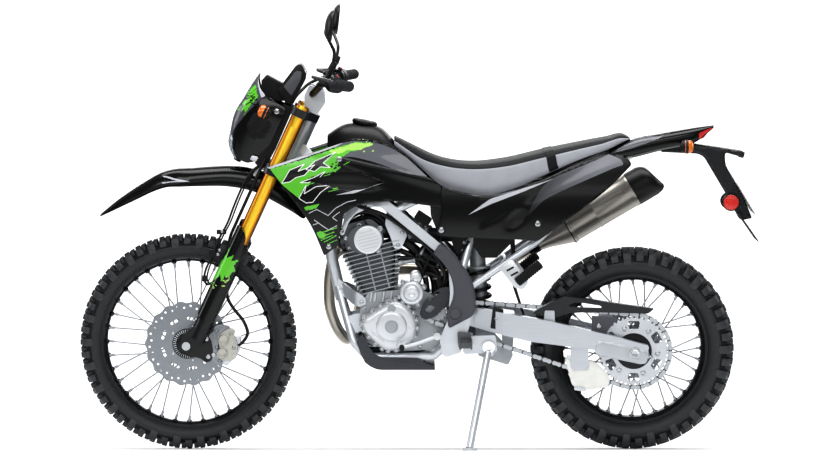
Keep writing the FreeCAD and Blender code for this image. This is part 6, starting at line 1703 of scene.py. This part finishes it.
# The starter's end: its middle, and the angles of its four screw ears.
STARTER, STARTER_EARS = (694, 502), (0.4, 2.3, 3.5, 5.2)
ears = [(STARTER[0] + 41 * math.cos(a), STARTER[1] + 41 * math.sin(a)) for a in STARTER_EARS]
starter += [turned([(-40, 8), (-2, 8), (0, 6.5), (0, 0)], (x, -104, z), (0, -1, 0), 24)
            for x, z in ears]
lid_rim = [flywheel_edge[k] for k in range(0, len(flywheel_edge), 11)]
lid_bosses = [turned([(-40, 7.5), (-1, 7.5), (0.5, 6.2), (0.5, 0)], (x, -110.5, z), (0, -1, 0), 20)
              for x, z in lid_rim]
clutch_edge = outline([(560, 440, 30), (566, 360, 40), (650, 316, 50), (756, 340, 40),
                       (770, 430, 40), (700, 486, 40), (600, 480, 30)], 5.0, 9)
clutch = dome(clutch_edge, 1, 104, 12, 14, 10)
clutch += [turned([(-20, 61), (6, 60), (16, 56), (20.5, 49), (21.5, 42), (20, 40), (20, 0)],
                  (690, 116, 404), (0, 1, 0), 72)]
clutch += [turned([(-3, 17), (2, 17), (3, 15.5), (3, 0)], (590, 114, 430), (0, 1, 0), 32)]
clutch_bosses = [turned([(-8, 7.5), (0, 7.5), (1.5, 6), (1.5, 0)], (x, 109, z), (0, 1, 0), 20)
                 for x, z in clutch_edge[::13]]
piece("engine_lids", flywheel + starter + lid_bosses + clutch + clutch_bosses,
      [lid_cast, case_cast], "chassis", ("engine_covers",), crease=42)
lid_bolts = hex_bolts([(x, -111, z) for x, z in lid_rim] + [(x, -104, z) for x, z in ears],
                      (0, -1, 0), 4.6)
lid_bolts += hex_bolts([(x, 110.5, z) for x, z in clutch_edge[::13]], (0, 1, 0), 4.6)
lid_bolts += hex_bolts([(x, -66.2, z) for x, z in ((548, 452), (552, 340), (720, 330), (786, 360),
    (790, 462), (722, 500))], (0, -1, 0), 5)
piece("engine_bolts", lid_bolts, [bright_steel], "chassis", slot="engine_covers")
slots = [
    outline([(742, 482, 2), (752, 496, 4), (774, 505, 2), (782, 502, 2), (762, 490, 4),
      (750, 476, 2)], 6.0),
    outline([(736, 444, 3), (742, 460, 4), (754, 463, 3), (766, 456, 3), (760, 445, 3),
      (748, 438, 3)], 6.0)]
guard_edge = outline([(718, 434, 8), (728, 466, 10), (748, 492, 12), (780, 516, 14), (806, 520, 8),
                      (822, 504, 8), (816, 480, 10), (786, 446, 12), (764, 426, 12), (734, 416, 8)],
                     6.0)
piece("sprocket_guard", [panel(guard_edge, lambda x, z: -97.5 + 3 * ((x - 762) / 40) ** 2, slots,
                               [], 7.0)], [moulded("grey_sprocket_guard", "#34363A", 0.42, 0.05,
                                   420.0)], "chassis", slot="engine_covers", wall=4.0, edge=1.0,
      crease=40)


# Exhaust. A nickel-coloured header bent from the port down past the engine, and a titanium-grey
# silencer with a riveted band, a corrugated joint sleeve and a black end cap.

# Heat-tinted steel: straw near the port fading to grey away from it, brushed lengthways.
tinted_steel, tree, place = new_finish("heat_tinted_steel")
height = add(tree, "SeparateXYZ", {"Vector": place})
heat = add(tree, "MapRange", {"Value": height.outputs["Z"]}, From_Min=0.3, From_Max=0.62)
brushed = add(tree, "TexNoise", {"Vector": place}, Scale=60.0, Detail=2.0)
rough = add(tree, "MapRange", {"Value": brushed}, To_Min=0.26, To_Max=0.32)
tone = add(tree, "Mix", {"Factor": heat}, data_type="RGBA", A=linear("#A39F98"),
           B=linear("#AEA699"))
shader = add(tree, "BsdfPrincipled", {"Base_Color": tone, "Roughness": rough}, Metallic=0.85)
add(tree, "OutputMaterial", {"Surface": shader})
titanium = cast("titanium_grey_can", "#8A8781", "#A19D97", 0.28, 1100.0)

JOINT, LINE = np.array([1092.0, 168.0, 624.0]), np.array([376, 0, 222]) / math.hypot(376, 222)
port = on_cylinder(np.array([-76.0, 30.0, 160.0]))
header_line = routed([port, (450, 44, 604), (436, 46, 530), (436, 46, 440), (462, 54, 366),
                      (496, 98, 322), (528, 124, 420), (545, 128, 500), (610, 128, 545),
                      (700, 126, 552), (790, 154, 530), JOINT - LINE * 150, JOINT], 46, 12)
piece("exhaust_header", tube(header_line, 17.0, 28)
      + [turned([(0, 17), (0, 26), (6, 26), (7, 17.5)], port, header_line[0] - header_line[1], 40)],
      [tinted_steel], "chassis", ("exhaust_header",), crease=45)
can_line = [(-4, 17.5), (-2, 21), (0, 21), (30, 27), (104, 52), (106, 53), (108, 55.5), (117, 55.5),
            (119, 53), (200, 53), (203, 54.2), (209, 54.2), (212, 53), (332, 53), (335, 54.4),
            (344, 54.4), (344, 40)]
cap_profile = [(344.2, 54.9), (352, 55.2), (398, 54.6), (414, 50.5), (423, 44), (427, 37),
               (426, 30), (372, 22), (372, 0)]
end_cap, end_faces = turned(cap_profile, JOINT, LINE, 72)
over = (end_cap - JOINT) @ np.cross(LINE, [0, 1, 0])
end_cap += LINE * (-0.3 * over * np.clip(((end_cap - JOINT) @ LINE - 344) / 80, 0, 1))[:, None]
sleeve = [(-34 + 0.5 * k, 22.5 + 1.6 * math.sin(k * 0.9)) for k in range(70)]
piece("muffler", [turned(can_line, JOINT, LINE, 72), (end_cap, end_faces, 1),
                  (*turned([(106, 53.5), (106.5, 56.6), (109.5, 56.6), (110, 53.5)], JOINT, LINE,
                           72), 1), (*turned([(-34, 17.5)] + sleeve + [(2, 21.5)], JOINT, LINE, 48),
                               1)], [titanium, satin_black], "chassis", ("muffler",))


# Frame. Bent and welded steel members in silver paint, with moulded guards where the rider's boots
# rub. Pressed stays hold the head; the wiring loom, coil and throttle body sit between them.

# Silver enamel over steel: fine metallic flake under a satin clear coat, slightly uneven where
# sprayed.
silver_paint, tree, place = new_finish("silver_enamel")
flake = add(tree, "TexVoronoi", {"Vector": place}, Scale=1800.0)
cloud = add(tree, "TexNoise", {"Vector": place}, Scale=12.0, Detail=3.0)
tone = add(tree, "Mix", {"Factor": cloud}, data_type="RGBA", A=linear("#BDC1C7"),
           B=linear("#D2D6DB"))
rough = add(tree, "MapRange", {"Value": flake}, To_Min=0.3, To_Max=0.44)
relief = add(tree, "Bump", {"Height": cloud}, Strength=0.06, Distance=0.0006)
shader = add(tree, "BsdfPrincipled", {"Base_Color": tone, "Roughness": rough, "Normal": relief},
             Metallic=0.7, Coat_Weight=0.25, Coat_Roughness=0.15)
add(tree, "OutputMaterial", {"Surface": shader})

refinish(["main_frame", "subframe", "side_stand"], silver_paint)
refinish(["airbox", "skid_plate"], satin_black)
refinish(["mud_flaps"], rubber)
refinish(["rear_caliper"], cast_aluminium)
refinish(["shock_spring"], black_steel)
refinish(["shock_absorber"], case_cast)
grey_guard = moulded("dark_grey_guard", "#4B4C52", 0.44, 0.05, 420.0)
boot_edge = outline([(780, 655, 6), (818, 632, 14), (860, 577, 40), (882, 538, 30), (893, 483, 40),
                     (886, 434, 16), (808, 393, 10), (800, 439, 20), (824, 490, 30), (821, 538, 30),
                     (799, 587, 30), (760, 626, 6)], 6.0, 9)
boot_guards = []
for side in (-1, 1):
    boot_guards += dome(boot_edge, side, 122, 7, 12, 5.6, 6.0)
    boot_guards.append(turned([(-3, 23), (1.5, 23), (2.6, 22), (2.6, 19.5), (0.8, 18.6),
                               (0.8, 16.4), (3.4, 15.4), (4.4, 12), (4.6, 0)],
                              (828, side * 129, 440), (0, side, 0), 48))
piece("frame_guards", boot_guards, [grey_guard], "chassis", ("frame_covers",), crease=42)

stay_parts, stay_bolts = [], []
for side in (-1, 1):
    rear_stay = outline([(616, 742, 6), (640, 726, 4), (672, 694, 6), (680, 676, 6), (662, 634, 8),
                         (640, 634, 8), (628, 672, 10), (612, 708, 8)], 8.0)
    front_stay = outline([(474, 752, 6), (500, 764, 6), (560, 790, 6), (600, 784, 6), (606, 766, 6),
                          (566, 762, 10), (520, 742, 8), (500, 716, 8), (484, 676, 6),
                          (472, 678, 6), (486, 726, 8)], 8.0)
    stay_parts += extruded(rear_stay, side * 66, side * 62)
    stay_parts += extruded(front_stay, side * 70, side * 66)
    stay_bolts += [((x, side * 66.5, z), side) for x, z in ((652, 645), (664, 684), (630, 724))]
    stay_bolts += [((x, side * 70.5, z), side) for x, z in ((484, 746), (592, 776), (553, 773),
        (479, 688))]
piece("head_stays", stay_parts, [silver_paint], "chassis", slot="main_frame", edge=0.8)
stay_heads = [part for at, side in stay_bolts for part in hex_bolts([at], (0, side, 0), 5.2)]
piece("head_stay_bolts", stay_heads, [bright_steel], "chassis", slot="main_frame")

# Two bent plates run from the front down tube out to the crankcase's front corners.
mount_edge = outline([(464, 541, 6), (482, 525, 6), (509, 510, 12), (533, 497, 8), (553, 480, 8),
                      (553, 461, 8), (533, 454, 10), (513, 463, 8), (492, 481, 10), (468, 490, 8)],
                     6.0)


def mount_depth(x, side):
    """Out from the tube's flank to the case's side: a flat foot, an even slope and a flat ear."""
    return side * (20 + 52 * np.clip((x - 482) / 44, 0, 1))


mounts = [panel(mount_edge, lambda x, z, s=s: mount_depth(x, s), lattice=7.0) for s in (-1, 1)]
piece("front_engine_mounts", mounts, [silver_paint], "chassis", slot="main_frame", wall=5.0,
      edge=0.8)
mount_heads = [part for side in (-1, 1) for part in hex_bolts([(539, side * 72.5, 470)],
    (0, side, 0), 7.0) + hex_bolts([(474, side * 20.5, 506)], (0, side, 0), 5.0)]
piece("front_mount_bolts", mount_heads, [bright_steel], "chassis", slot="main_frame")

# Loom, leads and hoses, each by its knots, the bend at its corners, its radius and its sides: the
# last ones are the inlet boot, breather and starter lead behind the cylinder and two hoses that
# cross above the head.
runs = [
    ([(470, -50, 796), (540, -72, 762), (610, -80, 742), (680, -84, 694), (760, -84, 626),
      (800, -80, 560), (790, -70, 512)], 40, 6.5, 12),
    ([(500, -40, 808), (560, -60, 700), (580, -70, 690)], 30, 3.2, 10),
    ([(706, -60, 690), (690, -70, 740), (640, -64, 776), (540, -50, 810)], 40, 3.0, 10),
    ([(800, -74, 560), (840, -88, 600), (870, -84, 660)], 30, 5.0, 10),
    ([(720, -62, 530), (738, -80, 590), (770, -82, 640), (800, -70, 700)], 30, 3.0, 10),
    ([(790, -34, 584), (812, -44, 566), (806, -60, 540), (772, -66, 548), (744, -60, 560),
      (722, -56, 552)], 18, 6.0, 12),
    ([(700, -40, 640), (716, -56, 610), (742, -62, 584), (790, -66, 572), (826, -70, 540)],
      24, 4.2, 10),
    ([(690, -30, 660), (730, -40, 652), (772, -48, 634), (830, -56, 596)], 24, 7.5, 12),
    ([(652, -20, 664), (690, -30, 642), (730, -36, 606), (768, -44, 560), (790, -50, 486)],
      26, 15, 14),
    ([(646, -30, 630), (690, -40, 614), (720, -46, 582), (738, -50, 540), (742, -52, 498)],
      26, 9, 14),
    ([(650, -46, 604), (700, -52, 604), (744, -54, 592), (780, -56, 552), (796, -56, 482)],
      26, 7, 14),
    ([(684, -16, 624), (736, -20, 590), (766, -24, 540), (770, -26, 490)], 26, 14, 14),
    ([(498, -36, 728), (530, -44, 750), (572, -46, 748), (606, -40, 724), (624, -30, 690)],
      26, 11, 14),
    ([(500, -30, 706), (540, -36, 730), (580, -38, 727), (612, -34, 700)], 26, 9, 14),
    ([(756, -16, 640), (800, -20, 604), (822, -24, 560), (802, -30, 482)], 26, 12, 14)]
loom = [part for knots, bend, radius, sides in runs
        for part in tube(routed(knots, bend), float(radius), sides)]
flanges = []
for side in (-1, 1):
    rim_edge = outline([(524, 352, 4), (536, 370, 4), (552, 364, 8), (562, 334, 10), (576, 314, 10),
                        (600, 301, 10), (716, 298, 8), (742, 280, 10), (766, 270, 4), (766, 262, 2),
                        (588, 262, 16), (556, 278, 14), (538, 306, 20)], 7.0)
    flanges += extruded(rim_edge, side * 99.5, side * 102.5)
piece("skid_flanges", flanges, [moulded("grey_skid_plate", "#3A3C41", 0.42, 0.05, 420.0)],
      "chassis", slot="skid_plate", edge=0.9)
coil = extruded(outline([(700, 726, 5), (742, 700, 5), (758, 724, 5), (716, 752, 5)], 10.0), -52,
                -20)
body_line = [(0, 24), (3, 27), (12, 27), (14, 23), (20, 26), (44, 26), (46, 22), (56, 22), (58, 27),
             (66, 27), (68, 22), (70, 0)]
throttle = [turned(body_line, (690, -12, 678), (1, -0.42, 0), 40)]
throttle += [turned([(-20, 17), (0, 17), (3, 15), (3, 0)], (716, -50, 678), (0, -1, 0), 32),
             turned([(0, 8), (20, 8), (22, 6), (34, 6), (34, 0)], (722, -22, 700), (0.3, 0, 1), 20)]
canister = [turned([(0, 0), (0, 17), (3, 20), (82, 20), (85, 17), (85, 0)], (716, -34, 626),
                   (0.86, 0, -0.5), 36)]
canister += [turned([(0, 0), (0, 9), (12, 9), (14, 7), (26, 7)], (706, -34, 632), (-0.86, 0, 0.5),
                    20)]
regulator = outline([(812, 672, 4), (872, 670, 4), (864, 622, 6), (846, 600, 8), (824, 636, 6)],
                    9.0)
loom += extruded(regulator, -72, -46)
piece("wiring_and_throttle", loom + canister + coil, [satin_black], "chassis", slot="airbox",
      crease=40)

# Clamps, a fuse holder on the lead, and the regulator's two screws.
for at, unit, size in (((722, -34, 622.5), (0.86, 0, -0.5), 21),
                       ((776, -34, 591), (0.86, 0, -0.5), 21),
                       ((748, -44, 645), (0.9, -0.2, -0.35), 8.6),
                       ((716, -34, 620), (0.7, -0.1, -0.7), 17),
                       ((774, -45, 546), (0.3, -0.06, -0.95), 17),
                       ((734, -49, 550), (0.3, 0, -0.95), 11)):
    throttle.append(turned([(0, size - 2), (0, size), (6, size), (6, size - 2)], at, unit, 32))
throttle.append(turned([(0, 9), (14, 9), (16, 6.5), (44, 6), (46, 8), (53, 8), (53, 0)],
                       (652, -54, 588), (0.98, 0, 0.17), 24))
throttle += bolts([(856, -72, 654), (852, -72, 628)], (0, -1, 0), 6.0)
piece("throttle_body", throttle, [case_cast], "chassis", slot="airbox")


# Swingarm. A fabricated box-section arm of brushed aluminium with cast ends for the axle, chain
# adjusters, and a black slider that keeps the chain off it.

# Brushed aluminium: long soft lines along the arm over a bright base, satin.
brushed_arm, tree, place = new_finish("brushed_aluminium")
lines = add(tree, "TexNoise", {"Vector": add(tree, "Mapping", {"Vector": place},
    Scale=(0.04, 1, 1))}, Scale=420.0, Detail=4.0)
rough = add(tree, "MapRange", {"Value": lines}, To_Min=0.26, To_Max=0.42)
tone = add(tree, "Mix", {"Factor": lines}, data_type="RGBA", A=linear("#AEB2B8"),
           B=linear("#C6CACF"))
relief = add(tree, "Bump", {"Height": lines}, Strength=0.08, Distance=0.0002)
shader = add(tree, "BsdfPrincipled", {"Base_Color": tone, "Roughness": rough, "Normal": relief},
             Metallic=0.8)
add(tree, "OutputMaterial", {"Surface": shader})
refinish(["swingarm"], brushed_arm)
AX, AZ = REAR_AXLE[0], REAR_AXLE[2]
arm_ends, arm_nuts, slider = [], [], []
for side in (-1, 1):
    casting = outline([(1262, AZ + 38, 8), (1300, AZ + 36, 10), (1410, AZ + 10, 6),
                       (1424, AZ + 4, 4), (1418, AZ - 30, 6), (1400, AZ - 36, 8),
                       (1270, AZ - 8, 10), (1256, AZ + 2, 8)], 7.0)
    arm_ends += dome(casting, side, 121, 3.4, 6, 3, 8.0)
    plate = outline([(AX - 26, AZ + 18, 6), (AX + 18, AZ + 12, 6), (AX + 16, AZ - 20, 6),
                     (AX - 26, AZ - 14, 6)], 7.0)
    arm_ends += extruded(plate, side * 124, side * 126.4)
    arm_nuts += hex_bolts([(AX, side * 126.4, AZ)], (0, side, 0), 12.5)
    arm_nuts += [turned([(0, 4), (26, 4), (26, 0)], (1412, side * 107, AZ - 10), (1, 0, -0.22), 16)]
    arm_nuts += [turned([(9, 8), (15, 8), (15, 4)], (1412, side * 107, AZ - 10), (1, 0, -0.22), 6)]
    arm_nuts += [turned([(20, 7), (26, 7), (26, 0)], (1412, side * 107, AZ - 10), (1, 0, -0.22), 6)]
piece("swingarm_ends", arm_ends, [fin_cast], "chassis", slot="swingarm", crease=40)
strap_edge = outline([(944, 458, 4), (977, 451, 4), (970, 388, 4), (936, 393, 4)], 8.0)
slider += extruded(strap_edge, -115, -100)
slider += extruded(outline([(850, 466, 6), (900, 452, 10), (1010, 424, 10), (1060, 404, 4),
                            (1056, 399, 3), (1000, 414, 10), (896, 442, 10), (846, 452, 6)], 8.0),
                   -90, -66)
piece("chain_slider", slider, [rubber], "chassis", slot="swingarm", edge=1.0)
arm_nuts += hex_bolts([(955, -115, 423)], (0, -1, 0), 5)
piece("chain_adjusters", arm_nuts, [bright_steel], "chassis", slot="swingarm")


# Chain. Roller chain of side plates, rollers and pins; one link every 15.875 mm round both
# sprockets.
LINK, FRONT_TEETH, REAR_TEETH, CHAIN_Y, DRIVE = 15.875, 14, 45, -78, (770, 443)


def chain_line():
    """Places and directions of the pins: two arcs on the sprockets' pitch circles joined by
    tangents."""
    front, rear = (LINK / (2 * math.sin(math.pi / n)) for n in (FRONT_TEETH, REAR_TEETH))
    a, b = np.array(DRIVE, float), np.array([AX, AZ])
    span, slope = math.dist(a, b), math.atan2(b[1] - a[1], b[0] - a[0])
    spread = math.asin((rear - front) / span)
    up, down = slope + math.pi / 2 + spread, slope - math.pi / 2 - spread
    dense = []
    for t in np.linspace(up, down, 200):
        dense.append(b + rear * np.array([math.cos(t), math.sin(t)]))
    for t in np.linspace(down, up - TURN, 100):
        dense.append(a + front * np.array([math.cos(t), math.sin(t)]))
    dense = np.array(dense + dense[:1])
    run = np.concatenate([[0], np.cumsum(np.linalg.norm(np.diff(dense, axis=0), axis=1))])
    count = 2 * round(run[-1] / LINK / 2)
    at = np.arange(count) * run[-1] / count
    return np.stack([np.interp(at, run, dense[:, 0]), np.interp(at, run, dense[:, 1])], -1)


pins = chain_line()
half = np.linspace(math.pi / 2, 3 * math.pi / 2, 7)
lobe = np.concatenate([np.stack([6.8 * np.cos(half), 6.8 * np.sin(half)], -1), [[7.9, -4.9]],
                       np.stack([LINK - 6.8 * np.cos(half), -6.8 * np.sin(half)], -1),
                       [[7.9, 4.9]]])
chain_parts, chain_pins = [], []
for k, at in enumerate(pins):
    to = pins[(k + 1) % len(pins)] - at
    unit = to / np.linalg.norm(to)
    link = at + lobe[:, :1] * unit + lobe[:, 1:] * np.array([-unit[1], unit[0]])
    reach = (6.4, 8.0) if k % 2 else (4.4, 6.0)
    for side in (-1, 1):
        chain_parts += extruded(link, CHAIN_Y + side * reach[0], CHAIN_Y + side * reach[1],
                                1 - k % 2)
    chain_pins.append(turned([(-8.8, 0), (-8.8, 2.6), (-4.3, 2.6), (-4.3, 5.0), (4.3, 5.0),
                              (4.3, 2.6), (8.8, 2.6), (8.8, 0)], (at[0], CHAIN_Y, at[1]), (0, 1, 0),
                             10))
piece("chain", chain_parts + chain_pins,
      [fin_cast, moulded("oiled_dark_steel", "#2B2C2E", 0.34, 0.1, 500.0)], "chassis", ("chain",),
      crease=40)
teeth = np.linspace(0, TURN, FRONT_TEETH * 8, endpoint=False)
reach = 31.5 + 5.2 * np.clip(np.cos(teeth * FRONT_TEETH), -0.4, 0.55)
gear_loop = np.stack([DRIVE[0] + reach * np.cos(teeth), DRIVE[1] + reach * np.sin(teeth)], -1)
piece("drive_sprocket", extruded(gear_loop, -81, -75)
      + [turned([(-84, 0), (-84, 9), (-66, 10), (-66, 0)], (DRIVE[0], 0, DRIVE[1]), (0, 1, 0), 24)],
      [case_cast], "chassis", slot="chain")

guard_side = outline([(1067, 438, 6), (1164, 490, 10), (1300, 470, 60), (1440, 450, 4),
                      (1423, 436, 6), (1240, 441, 40), (1178, 437, 10), (1125, 420, 8)], 7.0, 9)
guard_slot = outline([(1178, 462, 3), (1196, 470, 3), (1222, 469, 3), (1279, 460, 3),
                      (1279, 454, 3), (1184, 457, 3)], 6.0)
guard_faces = [panel(guard_side, lambda x, z: x * 0 - 93.6, [guard_slot], [], 8.0)]
top = np.array([[1067, 439], [1115, 466], [1164, 490.5], [1232, 482], [1300, 471], [1370, 461],
                [1440, 451]])
flange = np.stack([np.stack([top[:, 0], np.full(7, y), top[:, 1]], -1) for y in (-93.6, -66.5)], 1)
guard_faces.append(skin(flange))
piece("chain_guard", guard_faces, [moulded("guard_grey_black", "#26282B", 0.4, 0.1, 400.0)],
      "chassis", ("chain_guards",), wall=2.2, edge=0.6)
bracket_edge = outline([(1249, 430, 3), (1330, 424, 4), (1290, 372, 6), (1249, 372, 4)], 8.0)
piece("guard_bracket", extruded(bracket_edge, -97, -94.4), [grey_guard], "chassis",
      slot="chain_guards", edge=0.6, crease=38)
piece("guard_screws", bolts([(1271, -97, 398), (1120, -94, 434)], (0, -1, 0), 7.5, 3.5),
      [bright_steel], "chassis", slot="axle_bolts")
guide_edge = outline([(1167, 298, 8), (1260, 286, 12), (1306, 240, 12), (1300, 206, 10),
                      (1240, 197, 12), (1190, 210, 12)], 7.0)
guide_parts = dome(guide_edge, -1, 89.5, 2.5, 5, 2, 8.0)
guide_parts += dome(guide_edge, 1, -66.5, 2.5, 5, 2, 8.0)
guide_parts += [part for x in (1212, 1256)
                for part in extruded(outline([(x - 1.5, 212, 1), (x + 1.5, 212, 1),
                    (x + 1.5, 280, 1), (x - 1.5, 280, 1)], 20.0), -93.2, -90)]

# Natural nylon: milky white, a little light comes through it, satin.
milk_nylon, tree, place = new_finish("natural_nylon")
cloud = add(tree, "TexNoise", {"Vector": place}, Scale=40.0, Detail=2.0)
tone = add(tree, "Mix", {"Factor": cloud}, data_type="RGBA", A=linear("#D9DAD6"),
           B=linear("#ECECE8"))
shader = add(tree, "BsdfPrincipled", {"Base_Color": tone}, Roughness=0.38, Subsurface_Weight=0.15,
             Subsurface_Scale=0.004)
add(tree, "OutputMaterial", {"Surface": shader})
piece("chain_guide", guide_parts, [milk_nylon], "chassis", slot="chain_guards", crease=40)
guide_plates = [part for u in ((1172, 302, 1214, 297), (1196, 204, 1232, 199))
                for part in extruded(outline([(u[0], u[1] + 6, 3), (u[2], u[3] + 6, 3),
                    (u[2], u[3] - 6, 3), (u[0], u[1] - 6, 3)], 8.0), -94.5, -92)]
piece("guide_brackets", guide_plates, [silver_paint], "chassis", slot="chain_guards", edge=0.5,
      crease=38)


# Lamps and plate carrier behind. Red tail lamp under the tail's lip, amber signals on short stalks,
# round red reflectors, and a moulded arm that carries a blank plate.

piece("tail_lamp", extruded(outline([(1576, 995, 3), (1616, 1001, 3), (1594, 974, 5),
    (1574, 968, 3)], 6.0), -38, 38), [red_lens], "chassis", ("rear_lamps",), edge=1.5)
winker([(1531, side * 168, 956) for side in (-1, 1)], 1,
       [[(1530, side * y, 956) for y in (52, 100, 152)] for side in (-1, 1)], parked, "chassis",
       "rear_signal", "rear_lamps")
discs, rims = [], []
for side in (-1, 1):
    at, outwards = (1681, side * 30.5, 775), (0, side, 0)
    rims.append(turned([(0, 26.9), (7.5, 26.9), (9, 26), (9, 24.2), (6, 24)], at, outwards, 56))
    rims.append(turned([(-6, 0), (-6, 14), (-1, 22), (0, 26)], at, outwards, 56))
    discs.append(turned([(5, 24.1), (7.4, 23.8), (8.6, 20), (9.2, 0)], at, outwards, 56))
piece("reflector_rims", rims, [satin_black], "chassis", slot="rear_lamps")
piece("reflectors", discs, [red_lens], "chassis", slot="rear_lamps")
arm_edge = outline([(1470, 942, 8), (1464, 930, 6), (1580, 925, 24), (1601, 912, 24),
                    (1668, 800, 14), (1712, 718, 8), (1748, 725, 6), (1713, 812, 10),
                    (1663, 890, 24), (1662, 929, 10), (1719, 913, 8), (1722, 932, 8),
                    (1640, 945, 24), (1570, 955, 14), (1530, 961, 6)], 8.0)
carrier = dome(arm_edge, -1, 24, 5.5, 8, 24, 7.0) + dome(arm_edge, 1, 24, 5.5, 8, 24, 7.0)
carrier += [(*turned([(0, 10), (14, 10), (16, 8), (16, 0)], (1708, 0, 923), (1, 0, -0.25), 28), 0)]
piece("plate_arm", carrier, [moulded("carrier_black", "#1E2023", 0.42, 0.05, 420.0)], "chassis",
      ("plate_bracket",), crease=42)

# The plate's lean, the place of its foot, half its width and its height.
PLATE_TILT, PLATE_FOOT, PLATE_HALF, PLATE_HEIGHT = math.radians(-31), (1752, 739), 89, 118


def on_plate(p):
    """Upright millimetres of (out, y, up) on the plate, which leans back 31 degrees from its
    foot."""
    p = np.asarray(p, float)
    c, s = math.cos(PLATE_TILT), math.sin(PLATE_TILT)
    return np.stack([PLATE_FOOT[0] + p[..., 0] * c + p[..., 2] * s, p[..., 1],
                     PLATE_FOOT[1] - p[..., 0] * s + p[..., 2] * c], -1)


plate_edge = outline([(-PLATE_HALF, 0, 8), (PLATE_HALF, 0, 8), (PLATE_HALF, PLATE_HEIGHT, 8),
                      (-PLATE_HALF, PLATE_HEIGHT, 8)], 10.0)
plate_holes = [outline([(y - 3, 97, 2.9), (y + 3, 97, 2.9), (y + 3, 103, 2.9), (y - 3, 103, 2.9)],
                       2.0) for y in (-73, 73)]
flat, faces, numbers = panel(plate_edge, lambda x, z: x * 0 + 2.6, plate_holes, [], 10.0)

# A pressed groove runs round the plate 6 mm inside its edge.
y, out, up = flat.T
to_edge = np.minimum(PLATE_HALF - np.abs(y), np.minimum(up, PLATE_HEIGHT - up))
flat = np.stack([out - 0.9 * np.exp(-((to_edge - 6) / 2) ** 2), y, up], -1)
plate_paint = moulded("blank_plate_enamel", "#DADCDD", 0.35, 0.3, 200.0)
piece("number_plate", [(flat, faces)], [plate_paint], "chassis", slot="plate_bracket",
      place=lambda p: parked(on_plate(p)), wall=2.0, edge=0.4)


# Foot controls. Cast hangers with serrated folding pegs, a forged gear lever and brake pedal, and
# passenger pegs of ribbed rubber folded up on cast brackets bolted to the subframe.

peg_parts, rubber_parts, lever_parts = [], [], []
for side in (-1, 1):
    if side < 0:
        hanger = outline([(834, 384, 8), (876, 380, 8), (880, 336, 8), (838, 332, 8)], 7.0)
    else:
        hanger = outline([(846, 372, 8), (900, 372, 8), (906, 330, 8), (852, 326, 8)], 7.0)
    peg_parts += extruded(hanger, side * 116.6, side * 134)
    x = 846 if side < 0 else 862
    for rail in ((x - 7, x - 2), (x + 28, x + 33)):
        bar = outline([(rail[0], 340, 2), (rail[1], 340, 2), (rail[1], 362, 2), (rail[0], 362, 2)],
                      8.0)
        peg_parts += extruded(bar, side * 134, side * 221)
        spikes = [turned([(0, 3.4), (2.5, 2.6), (4.5, 0.6), (4.6, 0)],
                         ((rail[0] + rail[1]) / 2, side * (140 + 9.5 * k), 361.5), (0, 0, 1), 8)
                  for k in range(9)]
        peg_parts += spikes
    for y in (140, 178, 216):
        web = outline([(x - 4, 344, 2), (x + 30, 344, 2), (x + 30, 361, 2), (x - 4, 361, 2)], 8.0)
        peg_parts += extruded(web, side * y, side * (y + 4))
    hook = outline([(962, 580, 8), (1002, 609, 8), (1046, 550, 10), (1052, 536, 6), (1038, 514, 8),
                    (1012, 518, 8)], 7.0)
    lever_parts += extruded(hook, side * 100, side * 122)
    windows = [outline([(984 + 13 * k, 574 - 15 * k, 2), (1006 + 13 * k, 586 - 15 * k, 2),
                        (1009 + 13 * k, 581 - 15 * k, 2), (987 + 13 * k, 569 - 15 * k, 2)], 6.0)
               for k in range(3)]
    rubber_parts += [part for w in windows for part in extruded(w, side * 121.6, side * 122.6)]
    start, end = np.array([1016.0, side * 134, 536]), np.array([1090.0, side * 134, 596])
    t = np.linspace(0, 1, 73)
    swell = np.where((np.arange(73) // 3) % 2 == 0, 1.0, 0.86)
    swell[[0, -1]], swell[[1, -2]] = 0.3, 0.8
    along = (end - start) / np.linalg.norm(end - start)
    flat_side = np.cross(along, [0, 1, 0])
    angle = np.linspace(0, TURN, 24, endpoint=False)[None, :, None]
    c, s = (np.sign(f(angle)) * np.abs(f(angle)) ** 0.6 for f in (np.cos, np.sin))
    square = c * flat_side * 15.5 + s * np.array([0, 15.5, 0])
    rings = (start + t[:, None] * (end - start))[:, None] + swell[:, None, None] * square
    rubber_parts.append(skin(rings, round_v=True))
lever_parts += tube(routed([(772, -146, 372), (700, -152, 346), (664, -160, 340)], 30), 6.0, 16)
lever_parts += [turned([(0, 7), (86, 7), (86, 0)], (772, -152, 372), (0, 1, 0), 24),
                turned([(0, 0), (0, 11), (16, 11), (16, 7)], (772, -153.5, 372), (0, 1, 0), 28)]
lever_parts += tube(routed([(868, 146, 346), (800, 152, 306), (680, 150, 318)], 30), 6.0, 16)
lever_parts += [turned([(0, 9), (18, 9), (18, 0)], (868, 134, 346), (0, 1, 0), 24)]
toe = [(-190, 0), (-190, 6)] + [(-189 + 2 * k + d, r) for k in range(17)
                                for d, r in ((0, 8.2), (1.0, 7.2))] + [(-154, 7), (-154, 0)]
rubber_parts.append(turned(toe, (664, 0, 340), (0, 1, 0), 24))
peg_parts += [turned([(130, 0), (130, 9), (168, 9), (170, 8), (170, 0)], (680, 0, 318), (0, 1, 0),
                     28)]
piece("foot_pegs", peg_parts, [dark_cast_and_painted_shade], "chassis", ("foot_controls",), edge=0.6)
piece("foot_levers", lever_parts, [lid_cast], "chassis", slot="foot_controls", edge=0.6)
piece("foot_rubbers", rubber_parts, [rubber], "chassis", slot="foot_controls", crease=40)
